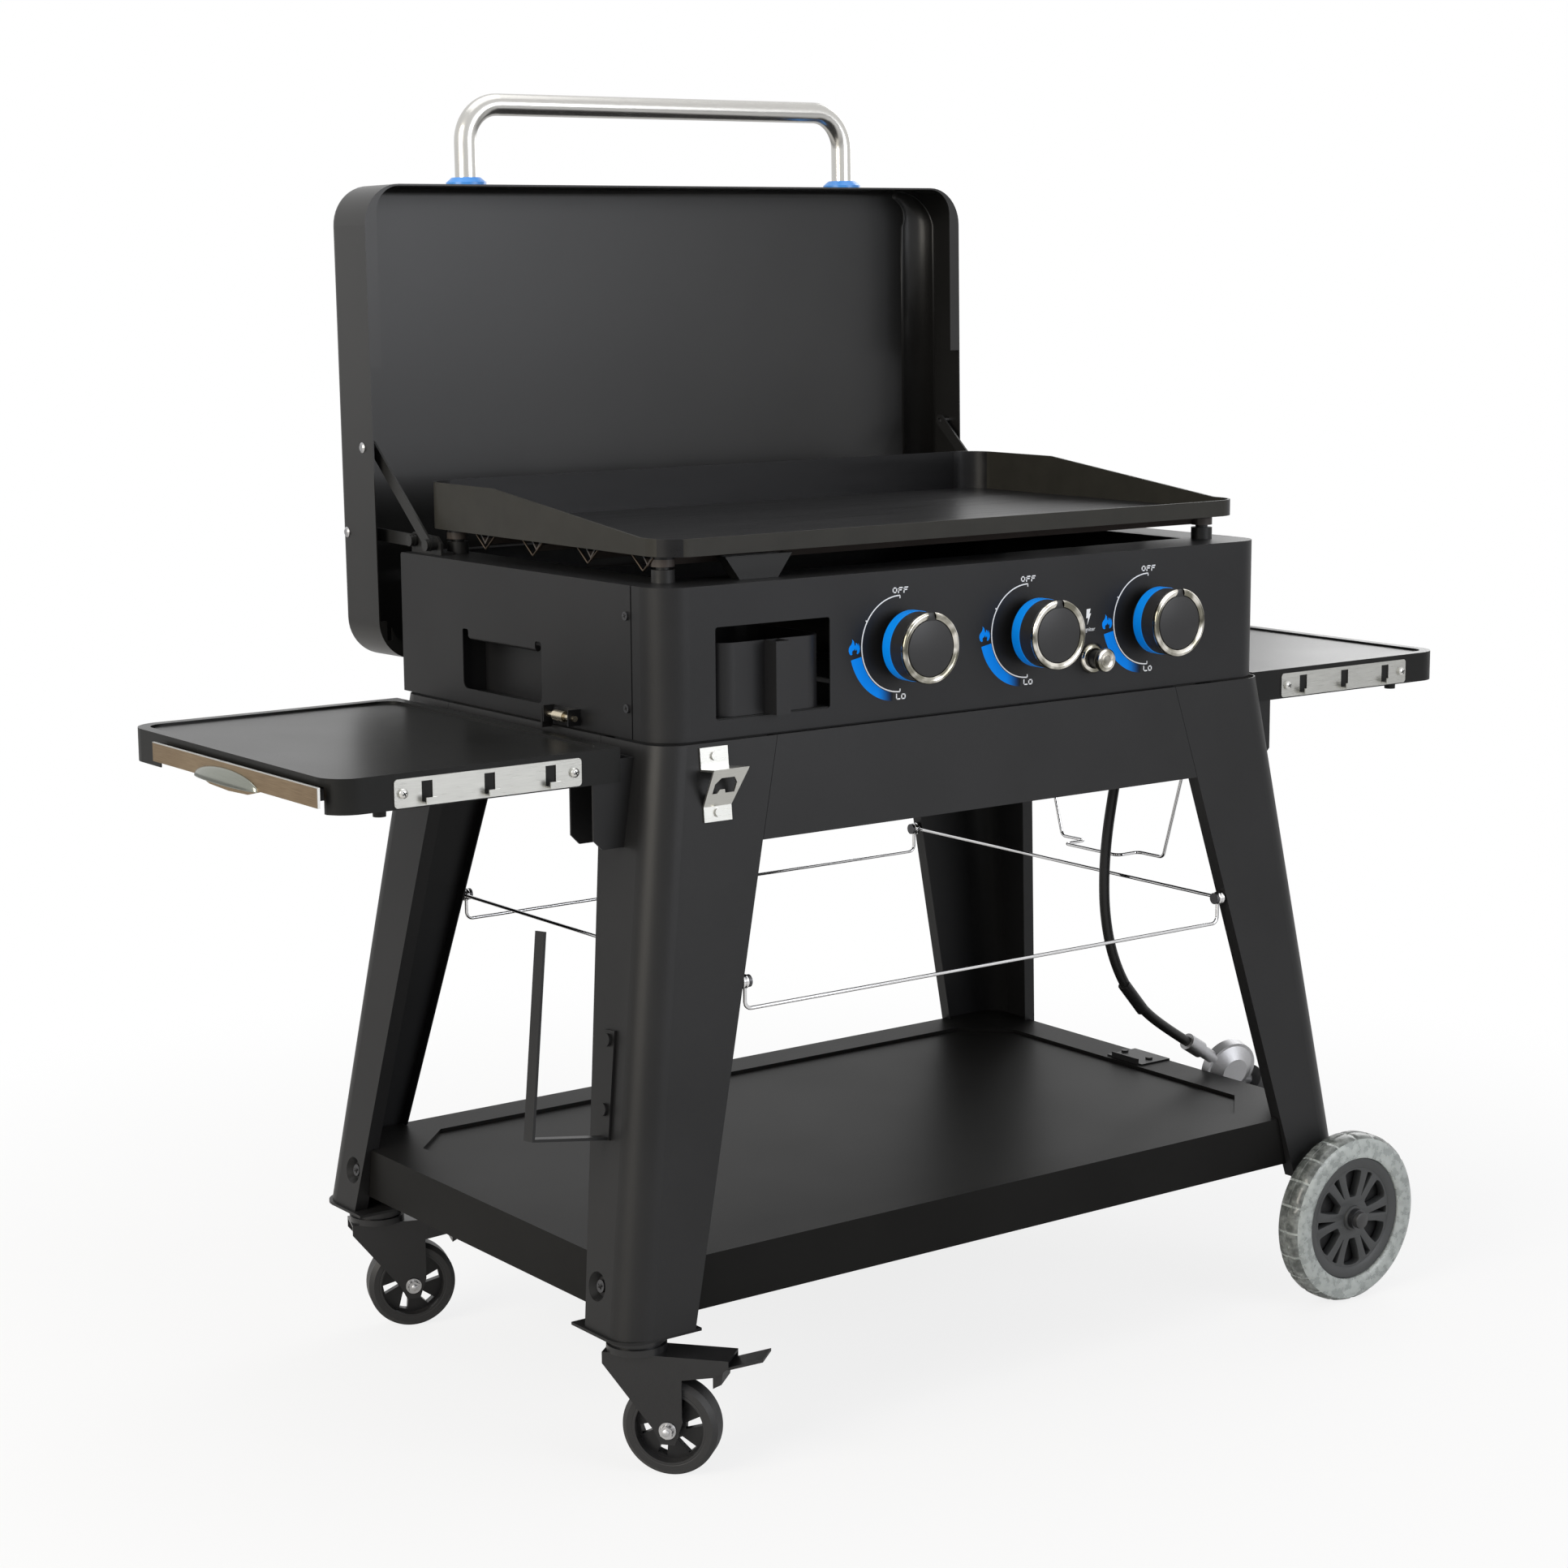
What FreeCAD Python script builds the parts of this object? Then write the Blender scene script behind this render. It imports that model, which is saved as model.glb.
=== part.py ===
import FreeCAD, Part
import math
import os
import Sketcher

# Outdoor gas griddle station: a control head with a griddle plate and a linked lid,
# standing on a four-legged cart with side shelves, casters and wheels.
# Millimetres. X is across (right is +), Y goes from front to back, Z is up from the ground.

os.makedirs("parts", exist_ok=True)
doc = FreeCAD.newDocument("griddle_station")
V = FreeCAD.Vector

SIZES = [
    ("sheet_wall", 1.5, "thickness of the bent sheet steel"),
    ("seat_gap", 0.3, "clearance between pieces of different bodies"),
    ("running_gap", 0.05, "radial clearance of a pin in its hole"),
    ("seam_gap", 0.5, "visible seam between sheet parts"),
    # cart legs
    ("leg_top", 736, "height of the leg tops"),
    ("leg_foot", 152, "height of the leg feet"),
    ("leg_top_x", 420.4, "outer face of a leg from the middle, top, across"),
    ("leg_foot_x", 508.5, "the same at the foot"),
    ("leg_top_y", 259.8, "outer face of a leg from the middle, top, front to back"),
    ("leg_foot_y", 316.5, "the same at the foot"),
    ("flange_top_x", 277.0, "inner edge of the leg's front flange, top"),
    ("flange_foot_x", 425.5, "the same at the foot"),
    ("flange_top_y", 152.2, "inner edge of the leg's side flange, top"),
    ("flange_foot_y", 239.7, "the same at the foot"),
    ("leg_corner", 32, "outer bend radius of a leg"),
    ("leg_lip", 16, "return lip along a leg's free edges"),
    ("dimple_inset", 20, "dimple from the side flange's free edge"),
    ("dimple_wide", 15, "radius of the dimple's mouth"),
    ("dimple_floor", 10, "radius of the dimple's floor"),
    ("dimple_high", 196, "height of the dimple"),
    ("dimple_slack", 1.8, "dimple floor short of the skirt, for the leg's lean"),
    # aprons
    ("apron_low", 632, "bottom edge of the front and rear aprons"),
    ("side_apron_low", 690, "bottom edge of the side aprons"),
    ("apron_lip", 20, "top lip that carries the head"),
    # lower shelf
    ("shelf_top", 223, "deck of the lower shelf"),
    ("shelf_skirt", 56, "skirt of the lower shelf"),
    ("shelf_half_x", 491, "half of the lower shelf across"),
    ("shelf_half_y", 305, "half of the lower shelf front to back"),
    ("shelf_corner", 25, "corner radius of the lower shelf"),
    ("recess_half_x", 440, "half of the recessed panel across"),
    ("recess_half_y", 256, "half of the recessed panel front to back"),
    ("recess_chamfer", 55, "cut corner of the recessed panel"),
    ("recess_deep", 4, "depth of the recessed panel"),
    # casters
    ("caster_x", 465, "swivel axis from the middle, across"),
    ("caster_y", 268, "swivel axis from the middle, front to back"),
    ("caster_plate_side", 95, "side of the caster's top plate"),
    ("caster_plate_thick", 3, "thickness of the top plate"),
    ("caster_corner", 30, "radius of the top plate's outer corner"),
    ("race_radius", 31, "radius of the ball race"),
    ("race_tall", 27, "height of the ball race below the plate"),
    ("race_band", 7, "height of one ring of the ball race"),
    ("race_neck", 28, "radius between the two rings"),
    ("caster_trail", 37, "wheel axle behind the swivel axis"),
    ("caster_radius", 50, "caster wheel radius"),
    ("caster_tyre", 14, "tread thickness of the caster wheel"),
    ("caster_width", 30, "width of the caster wheel"),
    ("caster_web", 8, "thickness of the caster wheel's web"),
    ("caster_hub", 12, "hub radius of the caster wheel"),
    ("caster_axle", 4, "radius of the caster axle"),
    ("fork_gap", 2.5, "fork leg beside the wheel"),
    ("fork_sheet", 2.5, "sheet of the fork"),
    ("fork_leg_half", 15, "half width of the fork leg at the axle"),
    ("fork_arm", 45, "fork's arm beyond the swivel axis, past the pedal's pin"),
    ("fork_arm_low", 104, "inner corner under the fork's arm"),
    ("caster_bolt_head", 6.5, "radius of the axle's heads"),
    ("caster_bolt_thick", 4, "thickness of the axle's heads"),
    ("pedal_long", 80, "length of the brake pedal"),
    ("pedal_thick", 3, "thickness of the brake pedal"),
    ("pedal_rise", 13, "pedal's outer end above its pin"),
    ("shoe_out", 28, "brake shoe from the pedal's pin"),
    ("shoe_drop", 19, "brake shoe below the pedal's pin"),
    ("pedal_pivot_x", 56, "pedal pivot from the swivel axis"),
    ("pedal_pivot_z", 116, "height of the pedal pivot"),
    ("pedal_pin", 3, "radius of the pedal's pin"),
    ("front_heading", -50, "angle at which the front caster trails"),
    ("rear_heading", -20, "angle at which the rear caster trails"),
    # big wheels
    ("wheel_x", 487, "big wheel axle from the middle"),
    ("wheel_y", 340, "middle plane of the big wheels"),
    ("wheel_radius", 100, "big wheel radius"),
    ("wheel_width", 36, "width of the big wheel's tyre"),
    ("rim_radius", 72, "hub rim under the tyre"),
    ("rim_wall", 6, "wall of the hub rim"),
    ("rim_width", 30, "width of the hub rim"),
    ("wheel_web", 8, "thickness of the big wheel's web"),
    ("wheel_hub", 17, "radius of the big wheel's hub"),
    ("wheel_axle", 6, "radius of the big wheel's axle"),
    ("axle_cap", 12, "radius of the axle's head"),
    ("axle_cap_thick", 6, "thickness of the axle's head"),
    ("axle_box_wide", 46, "axle box across"),
    ("axle_box_deep", 46, "axle box along the axle"),
    ("axle_box_wall", 3, "wall of the axle box"),
    ("axle_box_low", 84, "bottom of the axle box"),
    # brace wires
    ("wire", 2, "radius of the chrome wires"),
    ("wire_high", 490, "height of the wires' screws"),
    ("wire_dip", 29, "drop of the front and rear wires"),
    ("wire_bend", 8, "bend radius of the wires"),
    ("wire_eye", 5.5, "radius of the wires' eyes"),
    # side shelves
    ("side_deck", 734, "top of the side shelves"),
    ("side_skirt", 35, "height of the side shelves"),
    ("side_inner", 440, "inner end of a side shelf from the middle"),
    ("side_outer", 763, "outer end of a side shelf from the middle"),
    ("side_front", -217, "front face of the side shelves"),
    ("side_rear", 232, "rear face of the side shelves"),
    ("side_corner", 32, "corner radius of the side shelves"),
    ("side_rim", 13, "raised rim round a side shelf's top"),
    ("side_recess", 2.5, "depth of a side shelf's top"),
    ("fold_x", 461, "fold axis of a side shelf from the middle"),
    ("fold_z", 716, "height of the fold axis"),
    ("fold_pin", 4, "radius of the fold pin"),
    ("bracket_out", 472, "outer edge of a fold bracket from the middle"),
    ("bracket_low", 632, "bottom of a fold bracket"),
    ("bracket_wall", 2.5, "sheet of a fold bracket"),
    ("bracket_deep", 44, "fold bracket front to back"),
    ("bumper_x", 700, "rubber bumper from the middle"),
    ("bumper_y", 192, "rubber bumper from the middle, front to back"),
    ("bumper_radius", 8, "radius of a rubber bumper"),
    ("bumper_tall", 9, "rubber bumper below the skirt"),
    # drawer
    ("drawer_front", -205, "front end of the drawer's face"),
    ("drawer_rear", 153, "rear end of the drawer's face"),
    ("drawer_low", 707, "bottom of the drawer's face"),
    ("drawer_high", 727, "top of the drawer's face"),
    ("drawer_proud", 9, "drawer's face outside the shelf's end"),
    ("drawer_wall", 1.2, "sheet of the drawer"),
    ("drawer_long", 250, "length of the drawer's tray"),
    ("tray_inset", 27, "drawer's tray inside its face's front end"),
    ("tray_margin", 4, "tray inside its face's rear end"),
    ("scoop_middle", -18, "middle of the finger scoop"),
    ("scoop_half", 69, "half length of the finger scoop"),
    ("scoop_drop", 8, "finger scoop below the face"),
    # hook strips
    ("strip_long", 211, "length of a hook strip"),
    ("strip_tall", 28, "height of a hook strip"),
    ("strip_from_end", 65, "hook strip from the shelf's outer end"),
    ("strip_low", 700.5, "bottom of a hook strip"),
    ("hook_wide", 12, "width of a hook"),
    ("hook_window", 20, "height of a hook's window"),
    ("hook_reach", 11, "hook in front of its strip"),
    ("hook_lip", 5, "upturned lip of a hook"),
    # control head
    ("head_wide", 834, "control head across"),
    ("head_deep", 512, "control head front to back"),
    ("head_low", 738, "lower edge of the head's skin"),
    ("head_top", 893, "top of the head"),
    ("panel_corner", 36, "front corner radius of the head"),
    ("panel_return", 50, "control panel's return round the corners"),
    ("front_flange", 72, "top flange of the control panel"),
    ("side_flange", 62, "top flange of the side panels"),
    ("rear_flange", 20, "top flange of the rear panel"),
    ("window_left", -350.3, "left edge of the cup window"),
    ("window_right", -206.5, "right edge of the cup window"),
    ("window_low", 756.8, "bottom of the cup window"),
    ("window_high", 850.8, "top of the cup window"),
    ("floor_inset", 4, "head's floor inside its skin"),
    ("floor_rim", 20.2, "rim of the head's floor"),
    ("vent_long", 120, "length of a floor vent"),
    ("vent_wide", 24, "width of a floor vent"),
    # hand slots
    ("slot_front", -35, "front end of a hand slot"),
    ("slot_rear", 125, "rear end of a hand slot"),
    ("slot_low", 755, "bottom of a hand slot"),
    ("slot_high", 812, "top of a hand slot"),
    ("slot_ear", 12, "width of the slot's relief ears"),
    ("slot_ear_high", 820, "top of the relief ears"),
    ("slot_corner", 8, "corner radius of a hand slot"),
    ("cup_border", 7, "hand cup round the slot"),
    ("cup_deep", 32, "depth of a hand cup"),
    # burners and gas
    ("burner_high", 815.5, "height of the burners' axes"),
    ("burner_pitch", 262, "spacing of the burners"),
    ("burner_radius", 19, "radius of a burner tube"),
    ("burner_end", 212, "rear end of the burners"),
    ("burner_bend", 60, "bend radius of the burners' feet"),
    ("burner_run", -60, "where the burners run straight back"),
    ("mixer_front", -196, "front end of the burners"),
    ("rail_thick", 2, "sheet of the burner rail"),
    ("manifold_y", -226, "axis of the gas manifold, front to back"),
    ("manifold_z", 796, "height of the manifold's axis"),
    ("manifold_radius", 9.5, "radius of the manifold"),
    ("manifold_left", -150, "left end of the manifold"),
    ("manifold_right", 352, "right end of the manifold"),
    ("valve_half", 11, "half width of a valve body"),
    ("valve_neck", 8, "radius of a valve's neck behind the panel"),
    ("valve_front", -243, "front face of the valve bodies"),
    ("valve_rear", -204, "rear face of the valve bodies"),
    ("inlet_y", -100, "gas inlet, front to back"),
    ("inlet_low", 716, "lower end of the gas inlet"),
    ("inlet_hex", 11, "radius of the inlet's nut"),
    # knobs
    ("knob_first", -112.5, "axis of the left knob"),
    ("knob_pitch", 175.5, "spacing of the knobs"),
    ("knob_high", 815.5, "height of the knobs"),
    ("stem_radius", 3, "radius of a valve stem"),
    ("stem_front", 34, "valve stem in front of the panel"),
    ("stem_in_valve", 9, "valve stem inside the valve body"),
    ("stem_hole", 6, "stem hole in the panel"),
    ("push_travel", 3, "push of a knob"),
    ("skirt_radius", 30, "knob skirt radius"),
    ("skirt_back", 4.5, "knob skirt in front of the panel"),
    ("band_back", 14, "back of the coloured band"),
    ("band_front", 31, "front of the coloured band"),
    ("band_radius", 37, "radius of the coloured band"),
    ("band_wall", 3, "wall of the coloured band"),
    ("grip_radius", 35.5, "radius of the grip"),
    ("ring_back", 45, "back of the chrome ring"),
    ("ring_front", 51, "front of the chrome ring"),
    ("ring_radius", 37.5, "radius of the chrome ring"),
    ("ring_wall", 5, "width of the chrome ring"),
    ("face_front", 49, "front of the knob's face"),
    ("notch_wide", 8, "pointer notch in the chrome ring"),
    # igniter
    ("igniter_x", 153.6, "igniter axis"),
    ("igniter_z", 778.7, "igniter height"),
    ("bezel_radius", 17, "radius of the igniter's base"),
    ("bezel_thick", 6, "igniter's base in front of the panel"),
    ("bezel_tail", 18, "igniter's barrel behind the panel"),
    ("button_stem", 10, "radius of the igniter's stem"),
    ("button_cap", 13, "radius of the igniter's cap"),
    ("button_front", 26, "igniter's face in front of the panel"),
    ("button_cap_thick", 8, "thickness of the igniter's cap"),
    ("button_travel", 5, "push of the igniter"),
    # griddle plate
    ("plate_half_x", 398, "half of the griddle plate across"),
    ("plate_front", -239, "front of the griddle plate"),
    ("plate_rear", 238, "rear of the griddle plate"),
    ("plate_low", 921, "underside of the griddle plate"),
    ("plate_thick", 5, "thickness of the cooking surface"),
    ("plate_wall", 3, "wall of the griddle plate"),
    ("plate_corner", 35, "corner radius of the griddle plate"),
    ("lip_top", 939, "top of the front lip"),
    ("wall_top", 972, "top of the rear wall"),
    ("slope_rear", 90, "where the side wall starts to slope"),
    ("slope_front", -193, "where the side wall reaches the lip"),
    ("foot_x", 373, "griddle feet from the middle"),
    ("foot_front", -198, "front feet"),
    ("foot_rear", 205, "rear feet"),
    ("foot_radius", 12, "radius of the feet"),
    ("foot_tall", 12, "height of the feet"),
    ("post_tall", 13, "height of the head's posts"),
    ("pin_radius", 7, "radius of the locating pins"),
    ("rib_half", 11, "half width of a stiffener rib"),
    ("rib_deep", 12, "depth of a stiffener rib"),
    ("rib_sheet", 2, "sheet of a stiffener rib"),
    ("rib_first", 125, "rear stiffener rib"),
    ("rib_pitch", 105, "spacing of the stiffener ribs"),
    ("drain_x", -276, "middle of the grease drain"),
    ("drain_half", 32, "half length of the grease drain"),
    ("drain_wide", 12, "width of the grease drain"),
    # grease cup and chute
    ("chute_half", 42, "half width of the grease chute's mouth"),
    ("chute_high", 917, "top of the grease chute"),
    ("chute_wall", 1.5, "sheet of the grease chute"),
    ("cup_tall", 75, "height of the grease cup"),
    ("cup_front", -253, "front of the grease cup"),
    ("cup_back", -120, "back of the grease cup"),
    ("cup_wall", 2, "wall of the grease cup"),
    ("cup_side_gap", 3, "grease cup beside its window"),
    ("cup_corner", 24, "front corner radius of the grease cup"),
    ("fin_out", 20, "cup handle in front of the cup"),
    ("fin_thick", 18, "width of the folded cup handle"),
    ("fin_sheet", 1.5, "sheet of the cup handle"),
    ("shelf_rail", 1.5, "sheet of the cup's tray"),
    # lid and links
    ("lid_wide", 850, "lid across"),
    ("lid_long", 530, "lid from edge to edge"),
    ("lid_deep", 80, "depth of the lid"),
    ("lid_wall", 1.5, "sheet of the lid"),
    ("lid_corner", 45, "corner radius of the lid"),
    ("lid_edge", 10, "bend radius round the lid's face"),
    ("lid_low", 767, "lower edge of the open lid"),
    ("lid_rim_y", 294, "rim plane of the open lid at its lower edge"),
    ("lid_lean", 0.9, "backward lean of the open lid, degrees"),
    ("lid_flange", 15, "rim flange of the lid"),
    ("front_hem", 2, "rim flange along the edge that closes over the front lip"),
    ("flange_stop", 328, "rim flange's end above the lid's lower edge"),
    ("g1_y", 245.3, "short link's fixed pivot"),
    ("g1_z", 906.3, "short link's fixed pivot"),
    ("g2_y", 201.9, "long link's fixed pivot"),
    ("g2_z", 904.2, "long link's fixed pivot"),
    ("l1_y", 362.4, "short link's lid pivot, lid open"),
    ("l1_z", 908.6, "short link's lid pivot, lid open"),
    ("l2_y", 321.1, "long link's lid pivot, lid open"),
    ("l2_z", 1006.0, "long link's lid pivot, lid open"),
    ("link_half", 7, "half width of a link"),
    ("link_thick", 2.5, "thickness of a link"),
    ("short_link_x", 405.5, "inner face of a short link"),
    ("long_link_x", 410.5, "inner face of a long link"),
    ("pivot_radius", 4, "radius of the head's pivot bolts"),
    ("pivot_head", 6.5, "radius of the bolts' heads"),
    ("pivot_head_thick", 4, "thickness of the bolts' heads"),
    ("rivet_radius", 3, "radius of the lid's rivets"),
    ("rivet_head", 6, "radius of the rivets' heads"),
    ("rivet_dome", 2.5, "height of the rivets' heads"),
    ("hinge_plate_x", 400.5, "inner face of a hinge bracket"),
    ("hinge_plate_thick", 3, "sheet of a hinge bracket"),
    ("hinge_front", 190, "front end of a hinge bracket"),
    ("hinge_foot", 13, "foot of a hinge bracket"),
    # lid handle
    ("handle_half", 270, "handle legs from the middle"),
    ("handle_rise", 104, "handle above the lid's edge"),
    ("handle_radius", 12.5, "radius of the handle tube"),
    ("handle_wall", 1.5, "wall of the handle tube"),
    ("handle_bend", 43, "bend radius of the handle"),
    ("handle_inset", 40, "handle from the lid's rim plane"),
    ("collar_radius", 23, "radius of the handle's collars"),
    ("collar_tall", 9, "height of the handle's collars"),
    # latches
    ("latch_front", -109, "front end of a latch bracket"),
    ("latch_back", -59.5, "rear end of a latch bracket"),
    ("latch_low", 741, "bottom of a latch bracket"),
    ("latch_high", 758, "top of a latch bracket"),
    ("latch_ear", 15, "ears of a latch bracket"),
    ("latch_sheet", 2, "sheet of a latch bracket"),
    ("latch_pin", 3, "radius of a latch pin"),
    ("latch_pin_z", 749, "height of a latch pin"),
    ("latch_pin_out", 9, "latch pin beside the head"),
    ("latch_reach", 5, "latch pin behind its bracket"),
    ("latch_head", 5.5, "radius of a latch pin's grip"),
    ("latch_grip_front", -94, "front end of a latch pin's grip"),
    ("latch_grip_rear", -75, "rear end of a latch pin's grip"),
    ("latch_stub", 4, "latch pin in front of its bracket"),
    ("catch_thick", 3, "thickness of a catch"),
    # accessories
    ("opener_left", -375, "bottle opener, left edge"),
    ("opener_right", -341, "bottle opener, right edge"),
    ("opener_high", 732, "bottle opener, top"),
    ("opener_low", 657, "bottle opener, bottom"),
    ("opener_thick", 2, "sheet of the bottle opener"),
    ("opener_flare", 9, "bottle opener, blade wider at its ledge"),
    ("opener_reach", 25, "bottle opener, ledge in front of the apron"),
    ("opener_ledge", 16, "bottle opener, ledge above its middle"),
    ("opener_foot", 22, "bottle opener, blade's foot below its middle"),
    ("opener_mouth", 16, "bottle opener, height of its opening"),
    ("opener_edge", 6, "bottle opener, strip beside its opening"),
    ("opener_tooth", 4, "bottle opener, height of its tooth"),
    ("towel_high", 452, "towel bar plate, top"),
    ("towel_low", 342, "towel bar plate, bottom"),
    ("towel_wide", 20, "towel bar plate, width"),
    ("towel_inset", 14, "towel bar plate from the flange's free edge"),
    ("towel_sheet", 3, "sheet of the towel bar"),
    ("towel_strip", 16, "width of the towel bar's strip"),
    ("towel_reach", 92, "towel bar beside the leg"),
    ("towel_tall", 208, "upright of the towel bar"),
    ("stop_x", 446, "tank stop, inner end"),
    ("stop_front", -33, "tank stop, front"),
    ("stop_rear", 30, "tank stop, rear"),
    ("stop_thick", 2, "sheet of the tank stop"),
    ("stop_turn", 14, "upturned end of the tank stop"),
    ("hanger_top_y", 133.3, "tank hanger's ends"),
    ("hanger_top_z", 640, "height of the tank hanger's clips"),
    ("hanger_low_y", 91, "tank hanger's lower corners"),
    ("hanger_low_z", 498, "height of the tank hanger's lower bar"),
    ("hanger_hook_y", 48, "tank hanger's hooks"),
    ("hanger_loop", 34, "tank hanger's loop towards the cart"),
    ("hanger_into_apron", 14, "tank hanger's ends above the apron's lower edge"),
    # hose
    ("hose_radius", 6.25, "radius of the gas hose"),
    ("sleeve_radius", 7.5, "radius of the hose's sleeve"),
    ("regulator_radius", 35, "radius of the regulator"),
    ("regulator_thick", 26, "thickness of the regulator"),
    ("nut_radius", 14, "radius of the coupling nut"),
    ("nut_long", 30, "length of the coupling nut"),
    # screws
    ("screw_radius", 2.5, "radius of the small screws"),
    ("screw_head", 4.5, "head radius of the small screws"),
    ("screw_head_thick", 2.5, "head height of the small screws"),
    ("bolt_head", 6.5, "head radius of the frame bolts"),
    ("bolt_head_thick", 3.5, "head height of the frame bolts"),
]

sheet = doc.addObject("Spreadsheet::Sheet", "size")
for row, (alias, value, meaning) in enumerate(SIZES, start=1):
    sheet.set("A%d" % row, meaning)
    sheet.set("B%d" % row, str(value))
    sheet.setAlias("B%d" % row, alias)
doc.recompute()


class Sizes:
    """Reads the sheet's values by their names."""

    def __getattr__(self, alias):
        return float(sheet.get(alias))


size = Sizes()


def evaluate(text):
    """The value of an expression on the sheet, such as 'size.head_wide / 2'."""
    return float(sheet.evalExpression(text.replace("size.", "")))


# Helpers for bodies with sketches.

def new_body(label):
    body = doc.addObject("PartDesign::Body", label)
    body.Label = label
    return body


def origin_plane(body, role):
    return next(item for item in body.Origin.OriginFeatures if item.Role == role)


def new_sketch(body, role, lift):
    """A sketch on one of the body's origin planes, moved along the plane's normal."""
    sketch = body.newObject("Sketcher::SketchObject", body.Name + "_sketch")
    sketch.AttachmentSupport = (origin_plane(body, role), [""])
    sketch.MapMode = "FlatFace"
    sketch.setExpression("AttachmentOffset.Base.z", lift)
    return sketch


def bind(sketch, kind, where, text):
    """One dimension of a sketch, tied to an expression."""
    index = sketch.addConstraint(Sketcher.Constraint(kind, *where, evaluate(text)))
    sketch.setExpression("Constraints[%d]" % index, text)


def outline(body, role, corners, lift="0", arc_after=None, radius="0"):
    """A closed sketch of straight edges, one of which may be a quarter arc turning left.

    Each corner is a pair of expressions; the arc follows the corner with that index."""
    sketch = new_sketch(body, role, lift)
    points = [V(evaluate(x), evaluate(y), 0) for x, y in corners]
    count = len(points)
    for index in range(count):
        start, end = points[index], points[(index + 1) % count]
        if index == arc_after:
            chord = end - start
            centre = (start + end) * 0.5 + V(-chord.y, chord.x, 0) * 0.5
            first = math.atan2(start.y - centre.y, start.x - centre.x)
            full = Part.Circle(centre, V(0, 0, 1), evaluate(radius))
            sketch.addGeometry(Part.ArcOfCircle(full, first, first + math.pi / 2))
        else:
            sketch.addGeometry(Part.LineSegment(start, end))
    for index in range(count):
        sketch.addConstraint(Sketcher.Constraint("Coincident", index, 2, (index + 1) % count, 1))
    for index, (x, y) in enumerate(corners):
        bind(sketch, "DistanceX", (-1, 1, index, 1), x)
        bind(sketch, "DistanceY", (-1, 1, index, 1), y)
    if arc_after is not None:
        bind(sketch, "Radius", (arc_after,), radius)
    return sketch


def rounded(body, role, low, high, radius, lift="0"):
    """A closed sketch of a rectangle with round corners."""
    sketch = new_sketch(body, role, lift)
    x0, y0 = evaluate(low[0]), evaluate(low[1])
    x1, y1 = evaluate(high[0]), evaluate(high[1])
    r = evaluate(radius)
    sketch.addGeometry(Part.LineSegment(V(x0 + r, y0, 0), V(x1 - r, y0, 0)))
    sketch.addGeometry(Part.LineSegment(V(x1, y0 + r, 0), V(x1, y1 - r, 0)))
    sketch.addGeometry(Part.LineSegment(V(x1 - r, y1, 0), V(x0 + r, y1, 0)))
    sketch.addGeometry(Part.LineSegment(V(x0, y1 - r, 0), V(x0, y0 + r, 0)))
    centres = [(x1 - r, y0 + r, -90), (x1 - r, y1 - r, 0), (x0 + r, y1 - r, 90), (x0 + r, y0 + r, 180)]
    for cx, cy, start in centres:
        circle = Part.Circle(V(cx, cy, 0), V(0, 0, 1), r)
        sketch.addGeometry(Part.ArcOfCircle(circle, math.radians(start), math.radians(start + 90)))
    for index in range(4):
        arc = 4 + index
        sketch.addConstraint(Sketcher.Constraint("Tangent", index, 2, arc, 1))
        sketch.addConstraint(Sketcher.Constraint("Tangent", arc, 2, (index + 1) % 4, 1))
        kind = "Horizontal" if index % 2 == 0 else "Vertical"
        sketch.addConstraint(Sketcher.Constraint(kind, index))
    bind(sketch, "Radius", (4,), radius)
    for arc in (5, 6, 7):
        sketch.addConstraint(Sketcher.Constraint("Equal", 4, arc))
    bind(sketch, "DistanceY", (-1, 1, 0, 1), low[1])
    bind(sketch, "DistanceX", (-1, 1, 1, 1), high[0])
    bind(sketch, "DistanceY", (-1, 1, 2, 1), high[1])
    bind(sketch, "DistanceX", (-1, 1, 3, 1), low[0])
    return sketch


def circle(body, role, x, y, radius, lift="0"):
    """A sketch of one circle."""
    sketch = new_sketch(body, role, lift)
    sketch.addGeometry(Part.Circle(V(evaluate(x), evaluate(y), 0), V(0, 0, 1), evaluate(radius)))
    bind(sketch, "Radius", (0,), radius)
    bind(sketch, "DistanceX", (-1, 1, 0, 3), x)
    bind(sketch, "DistanceY", (-1, 1, 0, 3), y)
    return sketch


def pad(body, sketch, length, middle=False):
    feature = body.newObject("PartDesign::Pad", body.Name + "_pad")
    feature.Profile = sketch
    feature.setExpression("Length", length)
    feature.Midplane = middle
    return feature


def pocket(body, sketch, length, middle=False):
    feature = body.newObject("PartDesign::Pocket", body.Name + "_pocket")
    feature.Profile = sketch
    feature.setExpression("Length", length)
    feature.Midplane = middle
    return feature


def through(body, sketch):
    """A pocket right through the body, both ways."""
    feature = body.newObject("PartDesign::Pocket", body.Name + "_through")
    feature.Profile = sketch
    feature.Type = "ThroughAll"
    feature.Midplane = True
    return feature


def loft(body, first, second):
    feature = body.newObject("PartDesign::AdditiveLoft", body.Name + "_loft")
    feature.Profile = first
    feature.Sections = [second]
    feature.Ruled = True
    return feature


def revolve(body, sketch, axis):
    feature = body.newObject("PartDesign::Revolution", body.Name + "_turn")
    feature.Profile = sketch
    feature.ReferenceAxis = (origin_plane(body, axis), [""])
    feature.Angle = 360
    return feature


def fillet(body, radius, chosen):
    """Rounds the edges of the body that the test picks."""
    doc.recompute()
    base = body.Tip
    names = ["Edge%d" % (index + 1) for index, edge in enumerate(base.Shape.Edges) if chosen(edge)]
    feature = body.newObject("PartDesign::Fillet", body.Name + "_fillet")
    feature.Base = (base, names)
    feature.setExpression("Radius", radius)
    return feature


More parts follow.
